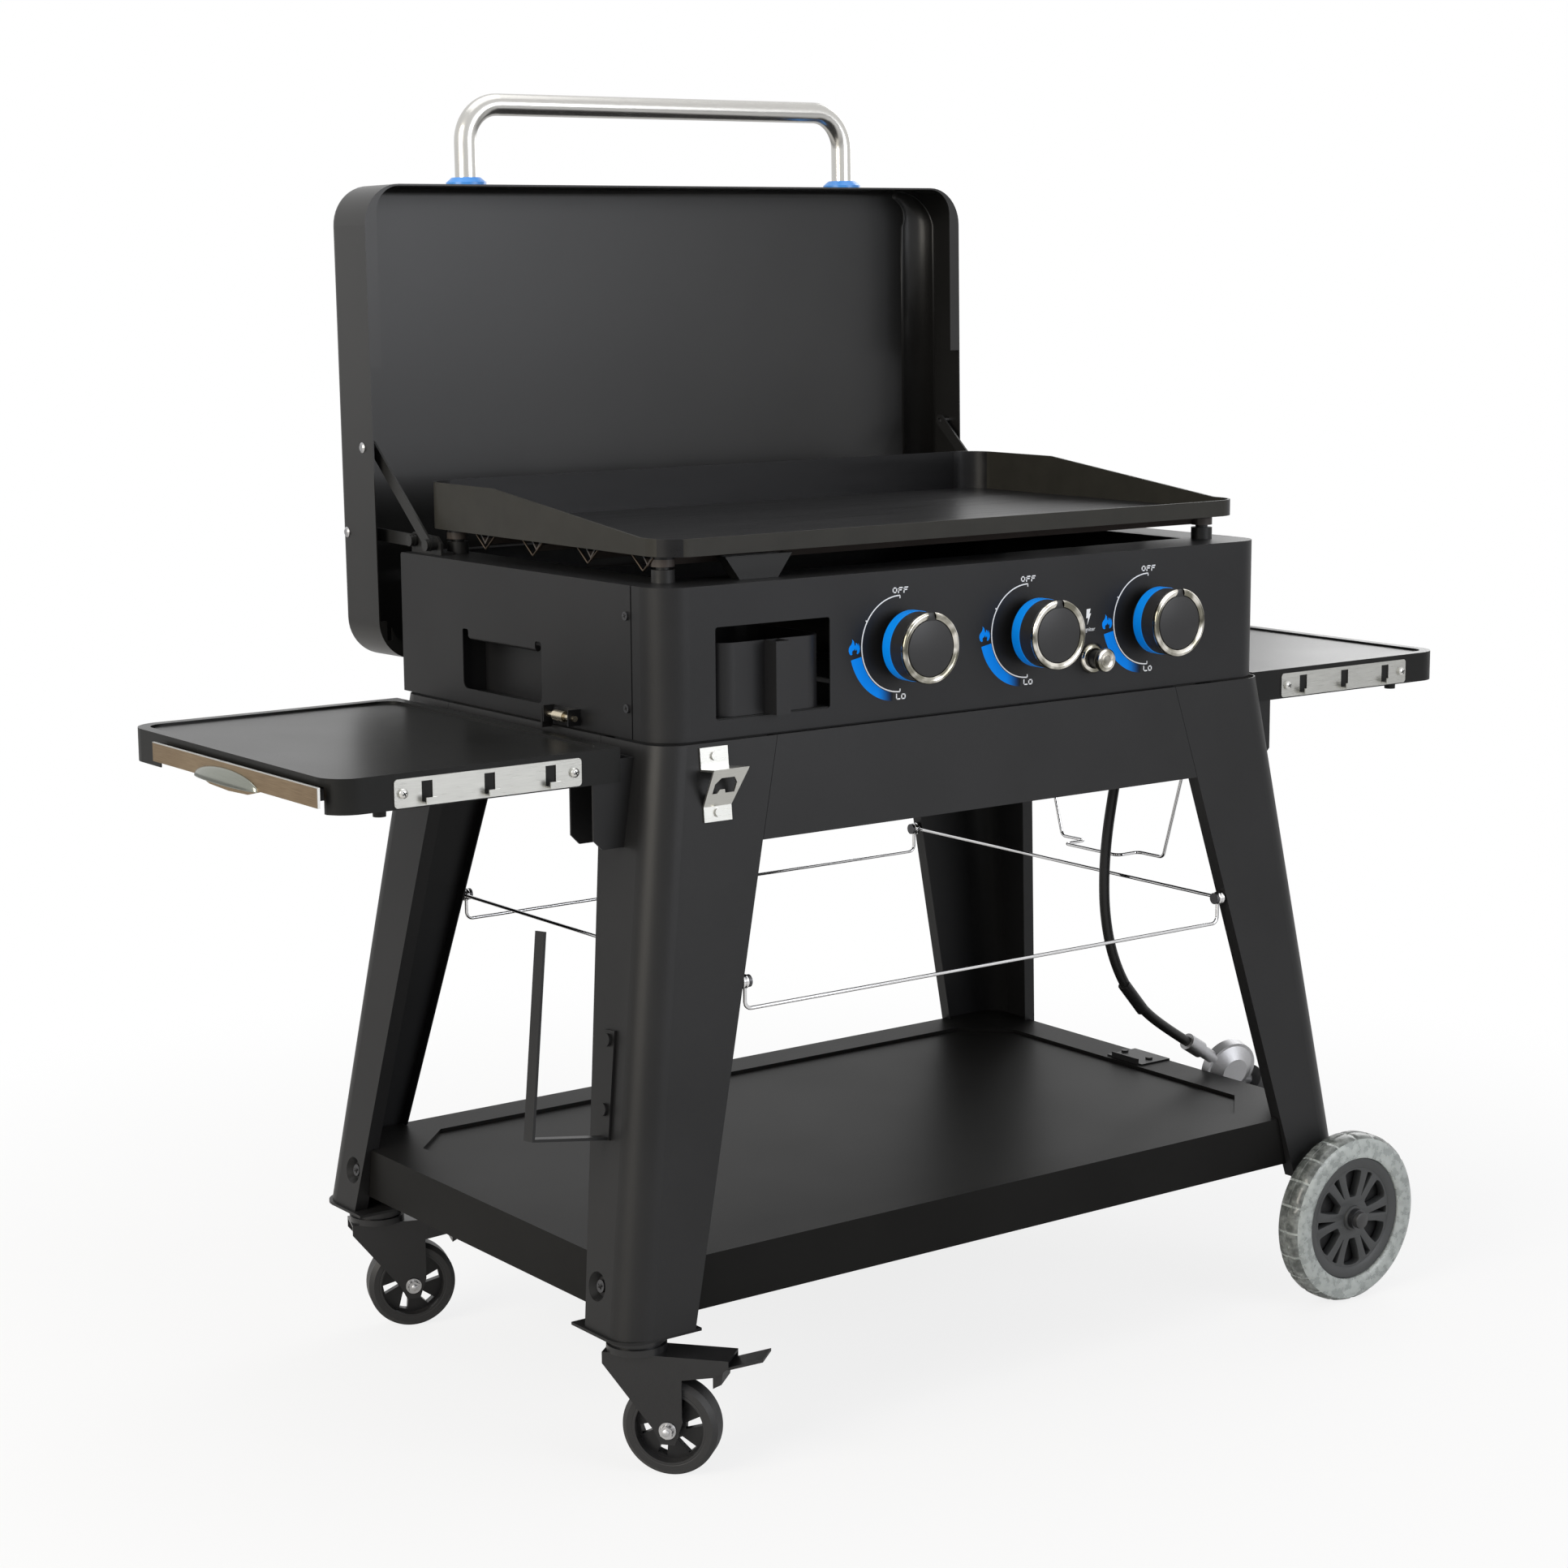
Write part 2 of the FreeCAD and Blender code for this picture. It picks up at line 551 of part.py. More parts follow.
def ring_of(body, feature, axis, count):
    """Repeats a feature round one of the body's axes."""
    pattern = body.newObject("PartDesign::PolarPattern", body.Name + "_ring")
    pattern.Originals = [feature]
    pattern.Axis = (origin_plane(body, axis), [""])
    pattern.Angle = 360
    pattern.Occurrences = count
    body.Tip = pattern
    return pattern


def row_of(body, features, axis, length, count, backwards=False):
    """Repeats features along one of the body's axes."""
    pattern = body.newObject("PartDesign::LinearPattern", body.Name + "_row")
    pattern.Originals = features
    pattern.Direction = (origin_plane(body, axis), [""])
    pattern.Reversed = backwards
    pattern.setExpression("Length", length)
    pattern.Occurrences = count
    body.Tip = pattern
    return pattern


# Helpers for solids that are joined and cut.

TURN = {
    "x": FreeCAD.Rotation(V(0, 1, 0), 90),
    "y": FreeCAD.Rotation(V(1, 0, 0), -90),
    "z": FreeCAD.Rotation(),
}


def place(item, at):
    for axis, text in zip("xyz", at):
        item.setExpression("Placement.Base." + axis, text)


def box(label, at, spans):
    item = doc.addObject("Part::Box", label)
    for name, text in zip(("Length", "Width", "Height"), spans):
        item.setExpression(name, text)
    place(item, at)
    return item


def rod(label, at, axis, radius, length):
    """A cylinder from a point along x, y or z."""
    item = doc.addObject("Part::Cylinder", label)
    item.setExpression("Radius", radius)
    item.setExpression("Height", length)
    item.Placement = FreeCAD.Placement(V(), TURN[axis])
    place(item, at)
    return item


def cone(label, at, axis, first, second, length):
    item = doc.addObject("Part::Cone", label)
    item.setExpression("Radius1", first)
    item.setExpression("Radius2", second)
    item.setExpression("Height", length)
    item.Placement = FreeCAD.Placement(V(), TURN[axis])
    place(item, at)
    return item


def fuse(label, *items):
    item = doc.addObject("Part::MultiFuse", label)
    item.Shapes = list(items)
    return item


def cut(label, base, *tools):
    item = doc.addObject("Part::Cut", label)
    item.Base = base
    item.Tool = tools[0] if len(tools) == 1 else fuse(label + "_tools", *tools)
    return item


def group(label, *items):
    """Several solids that share one node."""
    item = doc.addObject("Part::Compound", label)
    item.Links = list(items)
    return item


def mirror(label, source, normal):
    item = doc.addObject("Part::Mirroring", label)
    item.Source = source
    item.Normal = normal
    return item


def shaped(label, shape):
    """A piece whose form Part's own functions make."""
    item = doc.addObject("Part::Feature", label)
    item.Shape = shape
    return item


def wire_along(points, bend):
    """Straight runs joined by tangent arcs of one radius, or of one radius per corner."""
    bends = bend if isinstance(bend, list) else [bend] * (len(points) - 2)
    edges = []
    start = points[0]
    for corner, before, after, radius in zip(points[1:-1], points, points[2:], bends):
        back = (before - corner).normalize()
        ahead = (after - corner).normalize()
        turn = math.pi - back.getAngle(ahead)
        reach = radius * math.tan(turn / 2)
        entry = corner + back * reach
        leave = corner + ahead * reach
        middle = (back + ahead).normalize()
        crown = corner + middle * (radius / math.cos(turn / 2) - radius)
        if (entry - start).Length > 1e-6:
            edges.append(Part.LineSegment(start, entry).toShape())
        edges.append(Part.Arc(entry, crown, leave).toShape())
        start = leave
    edges.append(Part.LineSegment(start, points[-1]).toShape())
    return Part.Wire(edges)


def tube_along(path, radius):
    """A round bar swept along a wire of runs and arcs."""
    start = path.Edges[0].valueAt(path.Edges[0].FirstParameter)
    ahead = path.Edges[0].tangentAt(path.Edges[0].FirstParameter)
    profile = Part.Wire(Part.makeCircle(radius, start, ahead))
    return path.makePipeShell([profile], True, False)


pieces = {}


def finish(node, *items, placement=FreeCAD.Placement()):
    """Keeps one or more objects as one node of the station."""
    for index, item in enumerate(items):
        if item.Label == node:
            item.Label = "%s_form_%d" % (node, index)
    pieces[node] = (group(node, *items), placement)
    pieces[node][0].Label = node


# Cart legs: bent sheet with a large outer radius and return lips, wider at the foot.

def leg_outside(x, y, inner_x, inner_y):
    """Section through the block that the front right leg is cut from."""
    lip = "size.leg_lip"
    bend = "size.leg_corner"
    return [(inner_x, f"-{y} + {lip}"), (inner_x, f"-{y}"), (f"{x} - {bend}", f"-{y}"), (x, f"-{y} + {bend}"),
            (x, f"-{inner_y}"), (f"{x} - {lip}", f"-{inner_y}")]


def leg_inside(x, y, inner_x, inner_y):
    """Section through what is cut away; it runs out past the lips' ends."""
    wall = "size.sheet_wall"
    lip = "size.leg_lip"
    bend = "size.leg_corner"
    return [
        (f"{inner_x} - {lip}", f"-{y} + {lip}"), (f"{inner_x} + {wall}", f"-{y} + {lip}"),
        (f"{inner_x} + {wall}", f"-{y} + {wall}"), (f"{x} - {bend}", f"-{y} + {wall}"),
        (f"{x} - {wall}", f"-{y} + {bend}"), (f"{x} - {wall}", f"-{inner_y} - {wall}"),
        (f"{x} - {lip}", f"-{inner_y} - {wall}"), (f"{x} - {lip}", f"-{inner_y} + {lip}"),
        (f"{inner_x} - {lip}", f"-{inner_y} + {lip}"),
    ]


def at_height(name, z):
    """A leg measure at a height, as an expression; it runs from the foot to the top."""
    rise = f"({z} - size.leg_foot) / (size.leg_top - size.leg_foot)"
    foot, top = {
        "x": ("size.leg_foot_x", "size.leg_top_x"),
        "y": ("size.leg_foot_y", "size.leg_top_y"),
        "flange_x": ("size.flange_foot_x", "size.flange_top_x"),
        "flange_y": ("size.flange_foot_y", "size.flange_top_y"),
    }[name]
    return f"({foot} + ({top} - {foot}) * {rise})"


foot_measures = ("size.leg_foot_x", "size.leg_foot_y", "size.flange_foot_x", "size.flange_foot_y")
top_measures = ("size.leg_top_x", "size.leg_top_y", "size.flange_top_x", "size.flange_top_y")


def leg_block(name, section, arc_after, radius):
    """A tapering block whose long outer edge is rounded."""
    form = new_body(name)
    loft(form,
         outline(form, "XY_Plane", section(*foot_measures), "size.leg_foot", arc_after, radius),
         outline(form, "XY_Plane", section(*top_measures), "size.leg_top", arc_after, radius))
    return form


leg_sheet = cut("leg_sheet", leg_block("leg_outer", leg_outside, 2, "size.leg_corner"),
                leg_block("leg_inner", leg_inside, 3, "size.leg_corner - size.sheet_wall"))

# A round dimple in the side flange reaches in to the lower shelf's skirt.
dimple_x = at_height("x", "size.dimple_high")
dimple_y = f"(-{at_height('flange_y', 'size.dimple_high')} - size.dimple_inset)"
dimple_deep = f"({dimple_x} - size.shelf_half_x - size.sheet_wall - size.dimple_slack)"
lean = "atan((size.leg_foot_x - size.leg_top_x) / (size.leg_top - size.leg_foot))"
dimple_at = (dimple_x, dimple_y, "size.dimple_high")


def leaning_cone(label, first, second, length):
    """A cone from the side flange's face into the leg, square to the flange."""
    item = cone(label, dimple_at, "z", first, second, length)
    item.Placement = FreeCAD.Placement(V(), FreeCAD.Rotation(V(0, 1, 0), -90 - evaluate(lean)))
    place(item, dimple_at)
    return item


dimple_skin = leaning_cone(
    "dimple_skin", "size.dimple_wide + size.sheet_wall", "size.dimple_floor + size.sheet_wall",
    f"{dimple_deep} + size.sheet_wall - size.seat_gap")
dimple_cup = leaning_cone("dimple_cup", "size.dimple_wide", "size.dimple_floor", dimple_deep)

# The lips are notched where the lower shelf's skirt passes them.
notch_low = "(size.shelf_top - size.shelf_skirt - size.seat_gap)"
notch_tall = "(size.shelf_skirt + size.seat_gap * 2)"
front_notch = box("front_lip_notch",
                  ("size.flange_foot_x - size.leg_lip * 2", "-size.shelf_half_y - size.seat_gap", notch_low),
                  ("size.leg_lip * 2", "size.leg_lip", notch_tall))
side_notch = box("side_lip_notch",
                 ("size.shelf_half_x + size.seat_gap - size.leg_lip", "-size.flange_foot_y - size.sheet_wall", notch_low),
                 ("size.leg_lip", "size.leg_lip", notch_tall))
front_right = cut("leg_front_right", fuse("leg_with_dimple", leg_sheet, dimple_skin), dimple_cup,
                  front_notch, side_notch)
front_left = mirror("leg_front_left", front_right, V(1, 0, 0))
rear_right = mirror("leg_rear_right", front_right, V(0, 1, 0))
rear_left = mirror("leg_rear_left", front_left, V(0, 1, 0))
finish("front_legs", front_right, front_left)
finish("rear_legs", rear_right, rear_left)


# Aprons: trapezoid sheets between the legs, with returns that meet the legs' lips.

def front_apron_corners(z):
    x = f"({at_height('flange_x', z)} - size.seam_gap)"
    y = at_height("y", z)
    wall = "size.sheet_wall"
    lip = "size.leg_lip"
    return [
        (f"-{x}", f"-{y} + {lip}"), (f"-{x}", f"-{y}"), (x, f"-{y}"), (x, f"-{y} + {lip}"),
        (f"{x} - {wall}", f"-{y} + {lip}"), (f"{x} - {wall}", f"-{y} + {wall}"),
        (f"-{x} + {wall}", f"-{y} + {wall}"), (f"-{x} + {wall}", f"-{y} + {lip}"),
    ]


def side_apron_corners(z):
    y = f"({at_height('flange_y', z)} - size.seam_gap)"
    x = at_height("x", z)
    wall = "size.sheet_wall"
    lip = "size.leg_lip"
    return [
        (f"{x} - {lip}", f"-{y}"), (x, f"-{y}"), (x, y), (f"{x} - {lip}", y),
        (f"{x} - {lip}", f"{y} - {wall}"), (f"{x} - {wall}", f"{y} - {wall}"),
        (f"{x} - {wall}", f"-{y} + {wall}"), (f"{x} - {lip}", f"-{y} + {wall}"),
    ]


apron = new_body("apron_sheet")
loft(apron, outline(apron, "XY_Plane", front_apron_corners("size.apron_low"), "size.apron_low"),
     outline(apron, "XY_Plane", front_apron_corners("size.leg_top"), "size.leg_top"))
lip_x = "(size.flange_top_x - size.seam_gap)"
pad(apron, outline(apron, "XY_Plane", [
    (f"-{lip_x}", "-size.leg_top_y + size.sheet_wall / 2"),
    (lip_x, "-size.leg_top_y + size.sheet_wall / 2"),
    (lip_x, "-size.leg_top_y + size.apron_lip"),
    (f"-{lip_x}", "-size.leg_top_y + size.apron_lip")],
    "size.leg_top - size.sheet_wall"), "size.sheet_wall")
finish("long_aprons", apron, mirror("apron_rear", apron, V(0, 1, 0)))

side_apron = new_body("side_apron_sheet")
loft(side_apron,
     outline(side_apron, "XY_Plane", side_apron_corners("size.side_apron_low"), "size.side_apron_low"),
     outline(side_apron, "XY_Plane", side_apron_corners("size.leg_top"), "size.leg_top"))
lip_y = "(size.flange_top_y - size.seam_gap)"
pad(side_apron, outline(side_apron, "XY_Plane", [
    ("size.leg_top_x - size.sheet_wall / 2", f"-{lip_y}"),
    ("size.leg_top_x - size.sheet_wall / 2", lip_y),
    ("size.leg_top_x - size.apron_lip", lip_y),
    ("size.leg_top_x - size.apron_lip", f"-{lip_y}")],
    "size.leg_top - size.sheet_wall"), "size.sheet_wall")

# A catch stands up on each side apron, and the head's latch pin goes through it.
catch_x = "(size.head_wide / 2 + size.latch_pin_out)"
catch_y = "(size.latch_back + size.seat_gap * 3)"
catch = cut(
    "catch",
    box("catch_plate", ("size.leg_top_x - size.sheet_wall", catch_y, "size.leg_top - size.sheet_wall"),
        (f"{catch_x} + size.latch_pin * 2 - size.leg_top_x + size.sheet_wall", "size.catch_thick",
         "size.latch_pin_z + size.latch_pin * 2 - size.leg_top + size.sheet_wall")),
    rod("catch_hole", (catch_x, f"{catch_y} - 1", "size.latch_pin_z"), "y",
        "size.latch_pin + size.seat_gap", "size.catch_thick + 2"))
side_apron_right = fuse("side_apron_right", side_apron, catch)
finish("side_aprons", group("side_aprons", side_apron_right,
                            mirror("side_apron_left", side_apron_right, V(1, 0, 0))))

# Lower shelf: a pressed tray, open below, with a recessed panel whose corners are cut.
lower = new_body("lower_shelf")
half_x, half_y = "size.shelf_half_x", "size.shelf_half_y"
wall = "size.sheet_wall"
pad(lower, rounded(lower, "XY_Plane", (f"-{half_x}", f"-{half_y}"), (half_x, half_y),
                   "size.shelf_corner", "size.shelf_top - size.shelf_skirt"), "size.shelf_skirt")
pocket(lower, rounded(lower, "XY_Plane", (f"-{half_x} + {wall}", f"-{half_y} + {wall}"),
                      (f"{half_x} - {wall}", f"{half_y} - {wall}"), f"size.shelf_corner - {wall}",
                      "size.shelf_top - size.sheet_wall"), f"size.shelf_skirt - {wall}")


def cut_corner_panel(grow):
    """The recessed panel's outline, grown by a margin."""
    x = f"(size.recess_half_x + {grow})"
    y = f"(size.recess_half_y + {grow})"
    c = "size.recess_chamfer"
    return [(f"-{x} + {c}", f"-{y}"), (f"{x} - {c}", f"-{y}"), (x, f"-{y} + {c}"), (x, f"{y} - {c}"),
            (f"{x} - {c}", y), (f"-{x} + {c}", y), (f"-{x}", f"{y} - {c}"), (f"-{x}", f"-{y} + {c}")]


pad(lower, outline(lower, "XY_Plane", cut_corner_panel(wall),
                   "size.shelf_top - size.recess_deep - size.sheet_wall"), "size.recess_deep")
pocket(lower, outline(lower, "XY_Plane", cut_corner_panel("0"), "size.shelf_top"), "size.recess_deep")
finish("lower_shelf", lower)


# Casters: modelled once about the swivel axis, with the wheel trailing along +X.

swivel_top = "(size.leg_foot - size.caster_plate_thick)"
caster_plate = new_body("caster_plate")
plate_half = "size.caster_plate_side / 2"
pad(caster_plate, outline(caster_plate, "XY_Plane", [
    (f"-{plate_half}", plate_half), (f"-{plate_half}", f"-{plate_half} + size.caster_corner"),
    (f"-{plate_half} + size.caster_corner", f"-{plate_half}"), (plate_half, f"-{plate_half}"),
    (plate_half, plate_half)], swivel_top, 1, "size.caster_corner"), "size.caster_plate_thick")
king_pin = rod("king_pin", ("0", "0", f"{swivel_top} - size.race_tall - 6"), "z", "size.caster_axle",
               "size.race_tall + 6 + 1")
caster_top = fuse("caster_top", caster_plate, king_pin)

fork_half = "(size.caster_width / 2 + size.fork_gap + size.fork_sheet)"
crown_top = f"({swivel_top} - size.race_tall + 6)"
fork = new_body("fork_sheet")
pad(fork, outline(fork, "XZ_Plane", [
    ("-size.race_radius", crown_top),
    ("-size.race_radius", f"{crown_top} - 12"),
    ("size.caster_trail - size.fork_leg_half", "size.caster_radius"),
    ("size.caster_trail - size.fork_leg_half / 2", "size.caster_radius - size.fork_leg_half"),
    ("size.caster_trail + size.fork_leg_half / 2", "size.caster_radius - size.fork_leg_half"),
    ("size.caster_trail + size.fork_leg_half", "size.caster_radius + size.fork_leg_half / 2"),
    ("size.caster_trail + size.fork_leg_half", "size.fork_arm_low"),
    ("size.pedal_pivot_x + size.fork_arm * 0.7", "size.fork_arm_low + size.fork_leg_half * 0.4"),
    ("size.pedal_pivot_x + size.fork_arm", f"{crown_top} - size.fork_leg_half * 0.5"),
    ("size.pedal_pivot_x + size.fork_arm", crown_top)]), f"{fork_half} * 2", middle=True)
pocket(fork, outline(fork, "XZ_Plane", [
    ("-size.race_radius - 1", f"{crown_top} - size.fork_sheet"),
    ("-size.race_radius - 1", "0"),
    ("size.pedal_pivot_x + size.fork_arm + 1", "0"),
    ("size.pedal_pivot_x + size.fork_arm + 1", f"{crown_top} - size.fork_sheet")]),
    f"({fork_half} - size.fork_sheet) * 2", middle=True)
race_space = f"({swivel_top} - {crown_top} - size.seat_gap)"
race = rod("race", ("0", "0", crown_top), "z", "size.race_neck", race_space)
race_low = rod("race_low", ("0", "0", crown_top), "z", "size.race_radius", "size.race_band")
race_high = rod("race_high", ("0", "0", f"{crown_top} + {race_space} - size.race_band - size.race_band / 2"), "z",
                "size.race_radius", "size.race_band")
pivot_hole = rod("king_hole", ("0", "0", "0"), "z", "size.caster_axle + size.running_gap", swivel_top)
axle_hole = rod("axle_hole", ("size.caster_trail", f"-{fork_half} - 1", "size.caster_radius"), "y",
                "size.caster_axle", f"{fork_half} * 2 + 2")
pedal_hole = rod("pedal_hole", ("size.pedal_pivot_x", f"-{fork_half} - 1", "size.pedal_pivot_z"), "y",
                 "size.pedal_pin + size.running_gap", f"{fork_half} * 2 + 2")
fork_solid = cut("fork_solid", fuse("fork_with_race", fork, race, race_low, race_high),
                 pivot_hole, axle_hole, pedal_hole)
axle_long = f"({fork_half} * 2 + size.caster_bolt_thick * 2)"
caster_axle = fuse(
    "caster_axle",
    rod("axle_shank", ("size.caster_trail", f"-{axle_long} / 2", "size.caster_radius"), "y",
        "size.caster_axle", axle_long),
    rod("axle_head", ("size.caster_trail", f"-{axle_long} / 2", "size.caster_radius"), "y",
        "size.caster_bolt_head", "size.caster_bolt_thick"),
    rod("axle_nut", ("size.caster_trail", f"{fork_half}", "size.caster_radius"), "y",
        "size.caster_bolt_head", "size.caster_bolt_thick"))
fork_set = group("fork_set", fork_solid, caster_axle)

# The caster wheel turns about its own origin and is placed at its axle.
caster_wheel = new_body("caster_wheel")
tread = "size.caster_radius"
tyre_inner = "(size.caster_radius - size.caster_tyre)"
half_wide = "(size.caster_width / 2)"
half_web = "(size.caster_web / 2)"
hub_half = "(size.caster_width / 2 + size.fork_gap - size.seat_gap)"
bore = "(size.caster_axle + size.running_gap)"
revolve(caster_wheel, outline(caster_wheel, "XY_Plane", [
    (bore, f"-{hub_half}"), ("size.caster_hub", f"-{hub_half}"), ("size.caster_hub", f"-{half_web}"),
    (tyre_inner, f"-{half_web}"), (tyre_inner, f"-{half_wide}"), (f"{tread} - 5", f"-{half_wide}"),
    (tread, f"-{half_wide} + 5"), (tread, f"{half_wide} - 5"), (f"{tread} - 5", half_wide),
    (tyre_inner, half_wide), (tyre_inner, half_web), ("size.caster_hub", half_web),
    ("size.caster_hub", hub_half), (bore, hub_half)]), "Y_Axis")
window = pocket(caster_wheel, outline(caster_wheel, "XZ_Plane", [
    ("size.caster_hub + 3", "-3"), (f"{tyre_inner} - 3", "2"), (f"{tyre_inner} - 5", "12"),
    ("size.caster_hub + 3", "4")]), "size.caster_width", middle=True)
ring_of(caster_wheel, window, "Y_Axis", 6)

# Brake pedal: a pressed plate on a pin through the fork's ears.
pedal = new_body("pedal_plate")
pedal_in = f"({fork_half} - size.fork_sheet - size.seat_gap)"
pad(pedal, outline(pedal, "XZ_Plane", [
    ("size.pedal_pivot_x - 8", "size.pedal_pivot_z - 5"),
    ("size.pedal_pivot_x + size.shoe_out", "size.pedal_pivot_z - 5"),
    ("size.pedal_pivot_x + size.shoe_out", "size.pedal_pivot_z - size.shoe_drop"),
    ("size.pedal_pivot_x + size.shoe_out + 9", "size.pedal_pivot_z - size.shoe_drop + 5"),
    ("size.pedal_pivot_x + size.shoe_out + 11", "size.pedal_pivot_z + 2"),
    ("size.pedal_pivot_x + size.fork_arm", "size.pedal_pivot_z + 5 - size.pedal_thick"),
    ("size.pedal_pivot_x + size.pedal_long", "size.pedal_pivot_z + size.pedal_rise"),
    ("size.pedal_pivot_x + size.pedal_long", "size.pedal_pivot_z + size.pedal_rise + size.pedal_thick"),
    ("size.pedal_pivot_x + size.fork_arm", "size.pedal_pivot_z + 5"),
    ("size.pedal_pivot_x - 8", "size.pedal_pivot_z + 5")]), f"{pedal_in} * 2", middle=True)
pedal_pin = rod("pedal_pin", ("size.pedal_pivot_x", f"-{fork_half}", "size.pedal_pivot_z"), "y",
                "size.pedal_pin", f"{fork_half} * 2")
pedal_solid = fuse("pedal_solid", pedal, pedal_pin)


def caster_place(side, heading):
    """Placement of a caster at the front (-1) or the rear (+1) of the left end."""
    turn = FreeCAD.Rotation(V(0, 0, 1), heading)
    return FreeCAD.Placement(V(-size.caster_x, side * size.caster_y, 0), turn)


for name, side, heading in (("front", -1, size.front_heading), ("rear", 1, size.rear_heading)):
    spot = caster_place(side, heading)
    axle = FreeCAD.Placement(V(size.caster_trail, 0, size.caster_radius), FreeCAD.Rotation())
    finish("caster_fork_" + name, fork_set, placement=spot)
    finish("caster_wheel_" + name, caster_wheel, placement=spot.multiply(axle))
    finish("brake_pedal_" + name, pedal_solid, placement=spot)
plate_front = group("caster_top_front", caster_top)
plate_front.Placement.Base = V(-size.caster_x, -size.caster_y, 0)
plate_rear = mirror("caster_top_rear", plate_front, V(0, 1, 0))


# Big wheels: a spoked hub and a tread tyre, turning about their own origin on Y.

hub = new_body("wheel_hub")
rim = "size.rim_radius"
rim_in = "(size.rim_radius - size.rim_wall)"
rim_half = "(size.rim_width / 2)"
web_half = "(size.wheel_web / 2)"
hub_bore = "(size.wheel_axle + size.running_gap)"
revolve(hub, outline(hub, "XY_Plane", [
    (hub_bore, f"-{rim_half}"), ("size.wheel_hub", f"-{rim_half}"), ("size.wheel_hub", f"-{web_half}"),
    (rim_in, f"-{web_half}"), (rim_in, f"-{rim_half}"), (rim, f"-{rim_half}"), (rim, rim_half),
    (rim_in, rim_half), (rim_in, web_half), ("size.wheel_hub", web_half),
    ("size.wheel_hub", rim_half), (hub_bore, rim_half)]), "Y_Axis")
wide_window = pocket(hub, outline(hub, "XZ_Plane", [
    ("size.wheel_hub + 12", "-4"), (f"{rim_in} - 6", "-13"), (f"{rim_in} - 6", "13"),
    ("size.wheel_hub + 12", "4")]), "size.rim_width", middle=True)
ring_of(hub, wide_window, "Y_Axis", 6)
slim_window = pocket(hub, outline(hub, "XZ_Plane", [
    (f"{rim_in} * cos(30) * 0.55", f"{rim_in} * sin(30) * 0.47"),
    (f"{rim_in} * cos(30) * 0.86", f"{rim_in} * sin(30) * 0.80"),
    (f"{rim_in} * cos(30) * 0.83", f"{rim_in} * sin(30) * 0.93"),
    (f"{rim_in} * cos(30) * 0.52", f"{rim_in} * sin(30) * 0.58")]), "size.rim_width", middle=True)
ring_of(hub, slim_window, "Y_Axis", 6)

tyre = new_body("wheel_tyre")
tread_half = "(size.wheel_width / 2)"
outer = "size.wheel_radius"
revolve(tyre, outline(tyre, "XY_Plane", [
    (rim, f"-{rim_half}"), (f"{rim} + 6", f"-{tread_half}"), (f"{outer} - 9", f"-{tread_half}"),
    (f"{outer} - 2", f"-{tread_half} + 4"), (outer, f"-{tread_half} + 12"),
    (outer, f"{tread_half} - 12"), (f"{outer} - 2", f"{tread_half} - 4"),
    (f"{outer} - 9", tread_half), (f"{rim} + 6", tread_half), (rim, rim_half)]), "Y_Axis")

box_in = "(size.wheel_y - size.wheel_width / 2 - 3)"
axle_far = "(size.wheel_y + size.rim_width / 2 + size.seat_gap)"
axle_box = cut(
    "axle_box",
    box("axle_box_outer", ("size.wheel_x - size.axle_box_wide / 2", f"-{box_in}", "size.axle_box_low"),
        ("size.axle_box_wide", "size.axle_box_deep", "size.leg_foot - size.axle_box_low")),
    box("axle_box_inner",
        ("size.wheel_x - size.axle_box_wide / 2 + size.axle_box_wall",
         f"-{box_in} + size.axle_box_wall", "size.axle_box_low - 1"),
        ("size.axle_box_wide - size.axle_box_wall * 2", "size.axle_box_deep - size.axle_box_wall * 2",
         "size.leg_foot - size.axle_box_low - size.axle_box_wall + 1")),
    rod("axle_box_bore", ("size.wheel_x", f"-{box_in} - 1", "size.wheel_radius"), "y",
        "size.wheel_axle", "size.axle_box_deep + 2"))
axle_start = f"({axle_far} + size.axle_cap_thick)"
axle_bolt = fuse(
    "axle_bolt",
    rod("wheel_axle_bar", ("size.wheel_x", f"-{axle_start}", "size.wheel_radius"), "y", "size.wheel_axle",
        f"{axle_start} - {box_in} + size.axle_box_deep + 10"),
    rod("wheel_axle_cap", ("size.wheel_x", f"-{axle_start}", "size.wheel_radius"), "y", "size.axle_cap",
        "size.axle_cap_thick"),
    rod("wheel_axle_spacer", ("size.wheel_x", "-size.wheel_y + size.rim_width / 2 + size.seat_gap",
                              "size.wheel_radius"), "y", "size.wheel_axle + 3",
        f"size.wheel_y - size.rim_width / 2 - size.seat_gap - {box_in}"))
finish("foot_fittings", plate_front, plate_rear, axle_box, mirror("axle_box_rear", axle_box, V(0, 1, 0)))
for name, side in (("front", -1), ("rear", 1)):
    spot = FreeCAD.Placement(V(size.wheel_x, side * size.wheel_y, size.wheel_radius), FreeCAD.Rotation())
    finish("wheel_hub_" + name, hub, placement=spot)
    finish("wheel_tyre_" + name, tyre, placement=spot)


# Brace wires: four chrome wires hooked on screws in the legs' lips.

lip_face = evaluate(at_height("flange_x", "size.wire_high"))
screw_y = evaluate(at_height("y", "size.wire_high")) - size.leg_lip / 2
lip_lean = (size.flange_foot_x - size.flange_top_x) / (size.leg_top - size.leg_foot)
eye_one = lip_face - size.wire * math.hypot(1, lip_lean) - size.wire_eye * lip_lean - size.running_gap
eye_two = eye_one - size.wire * 2


def eye(x, y):
    """A wire eye round a screw that points across."""
    return Part.makeTorus(size.wire_eye, size.wire, V(x, y, size.wire_high), V(1, 0, 0))


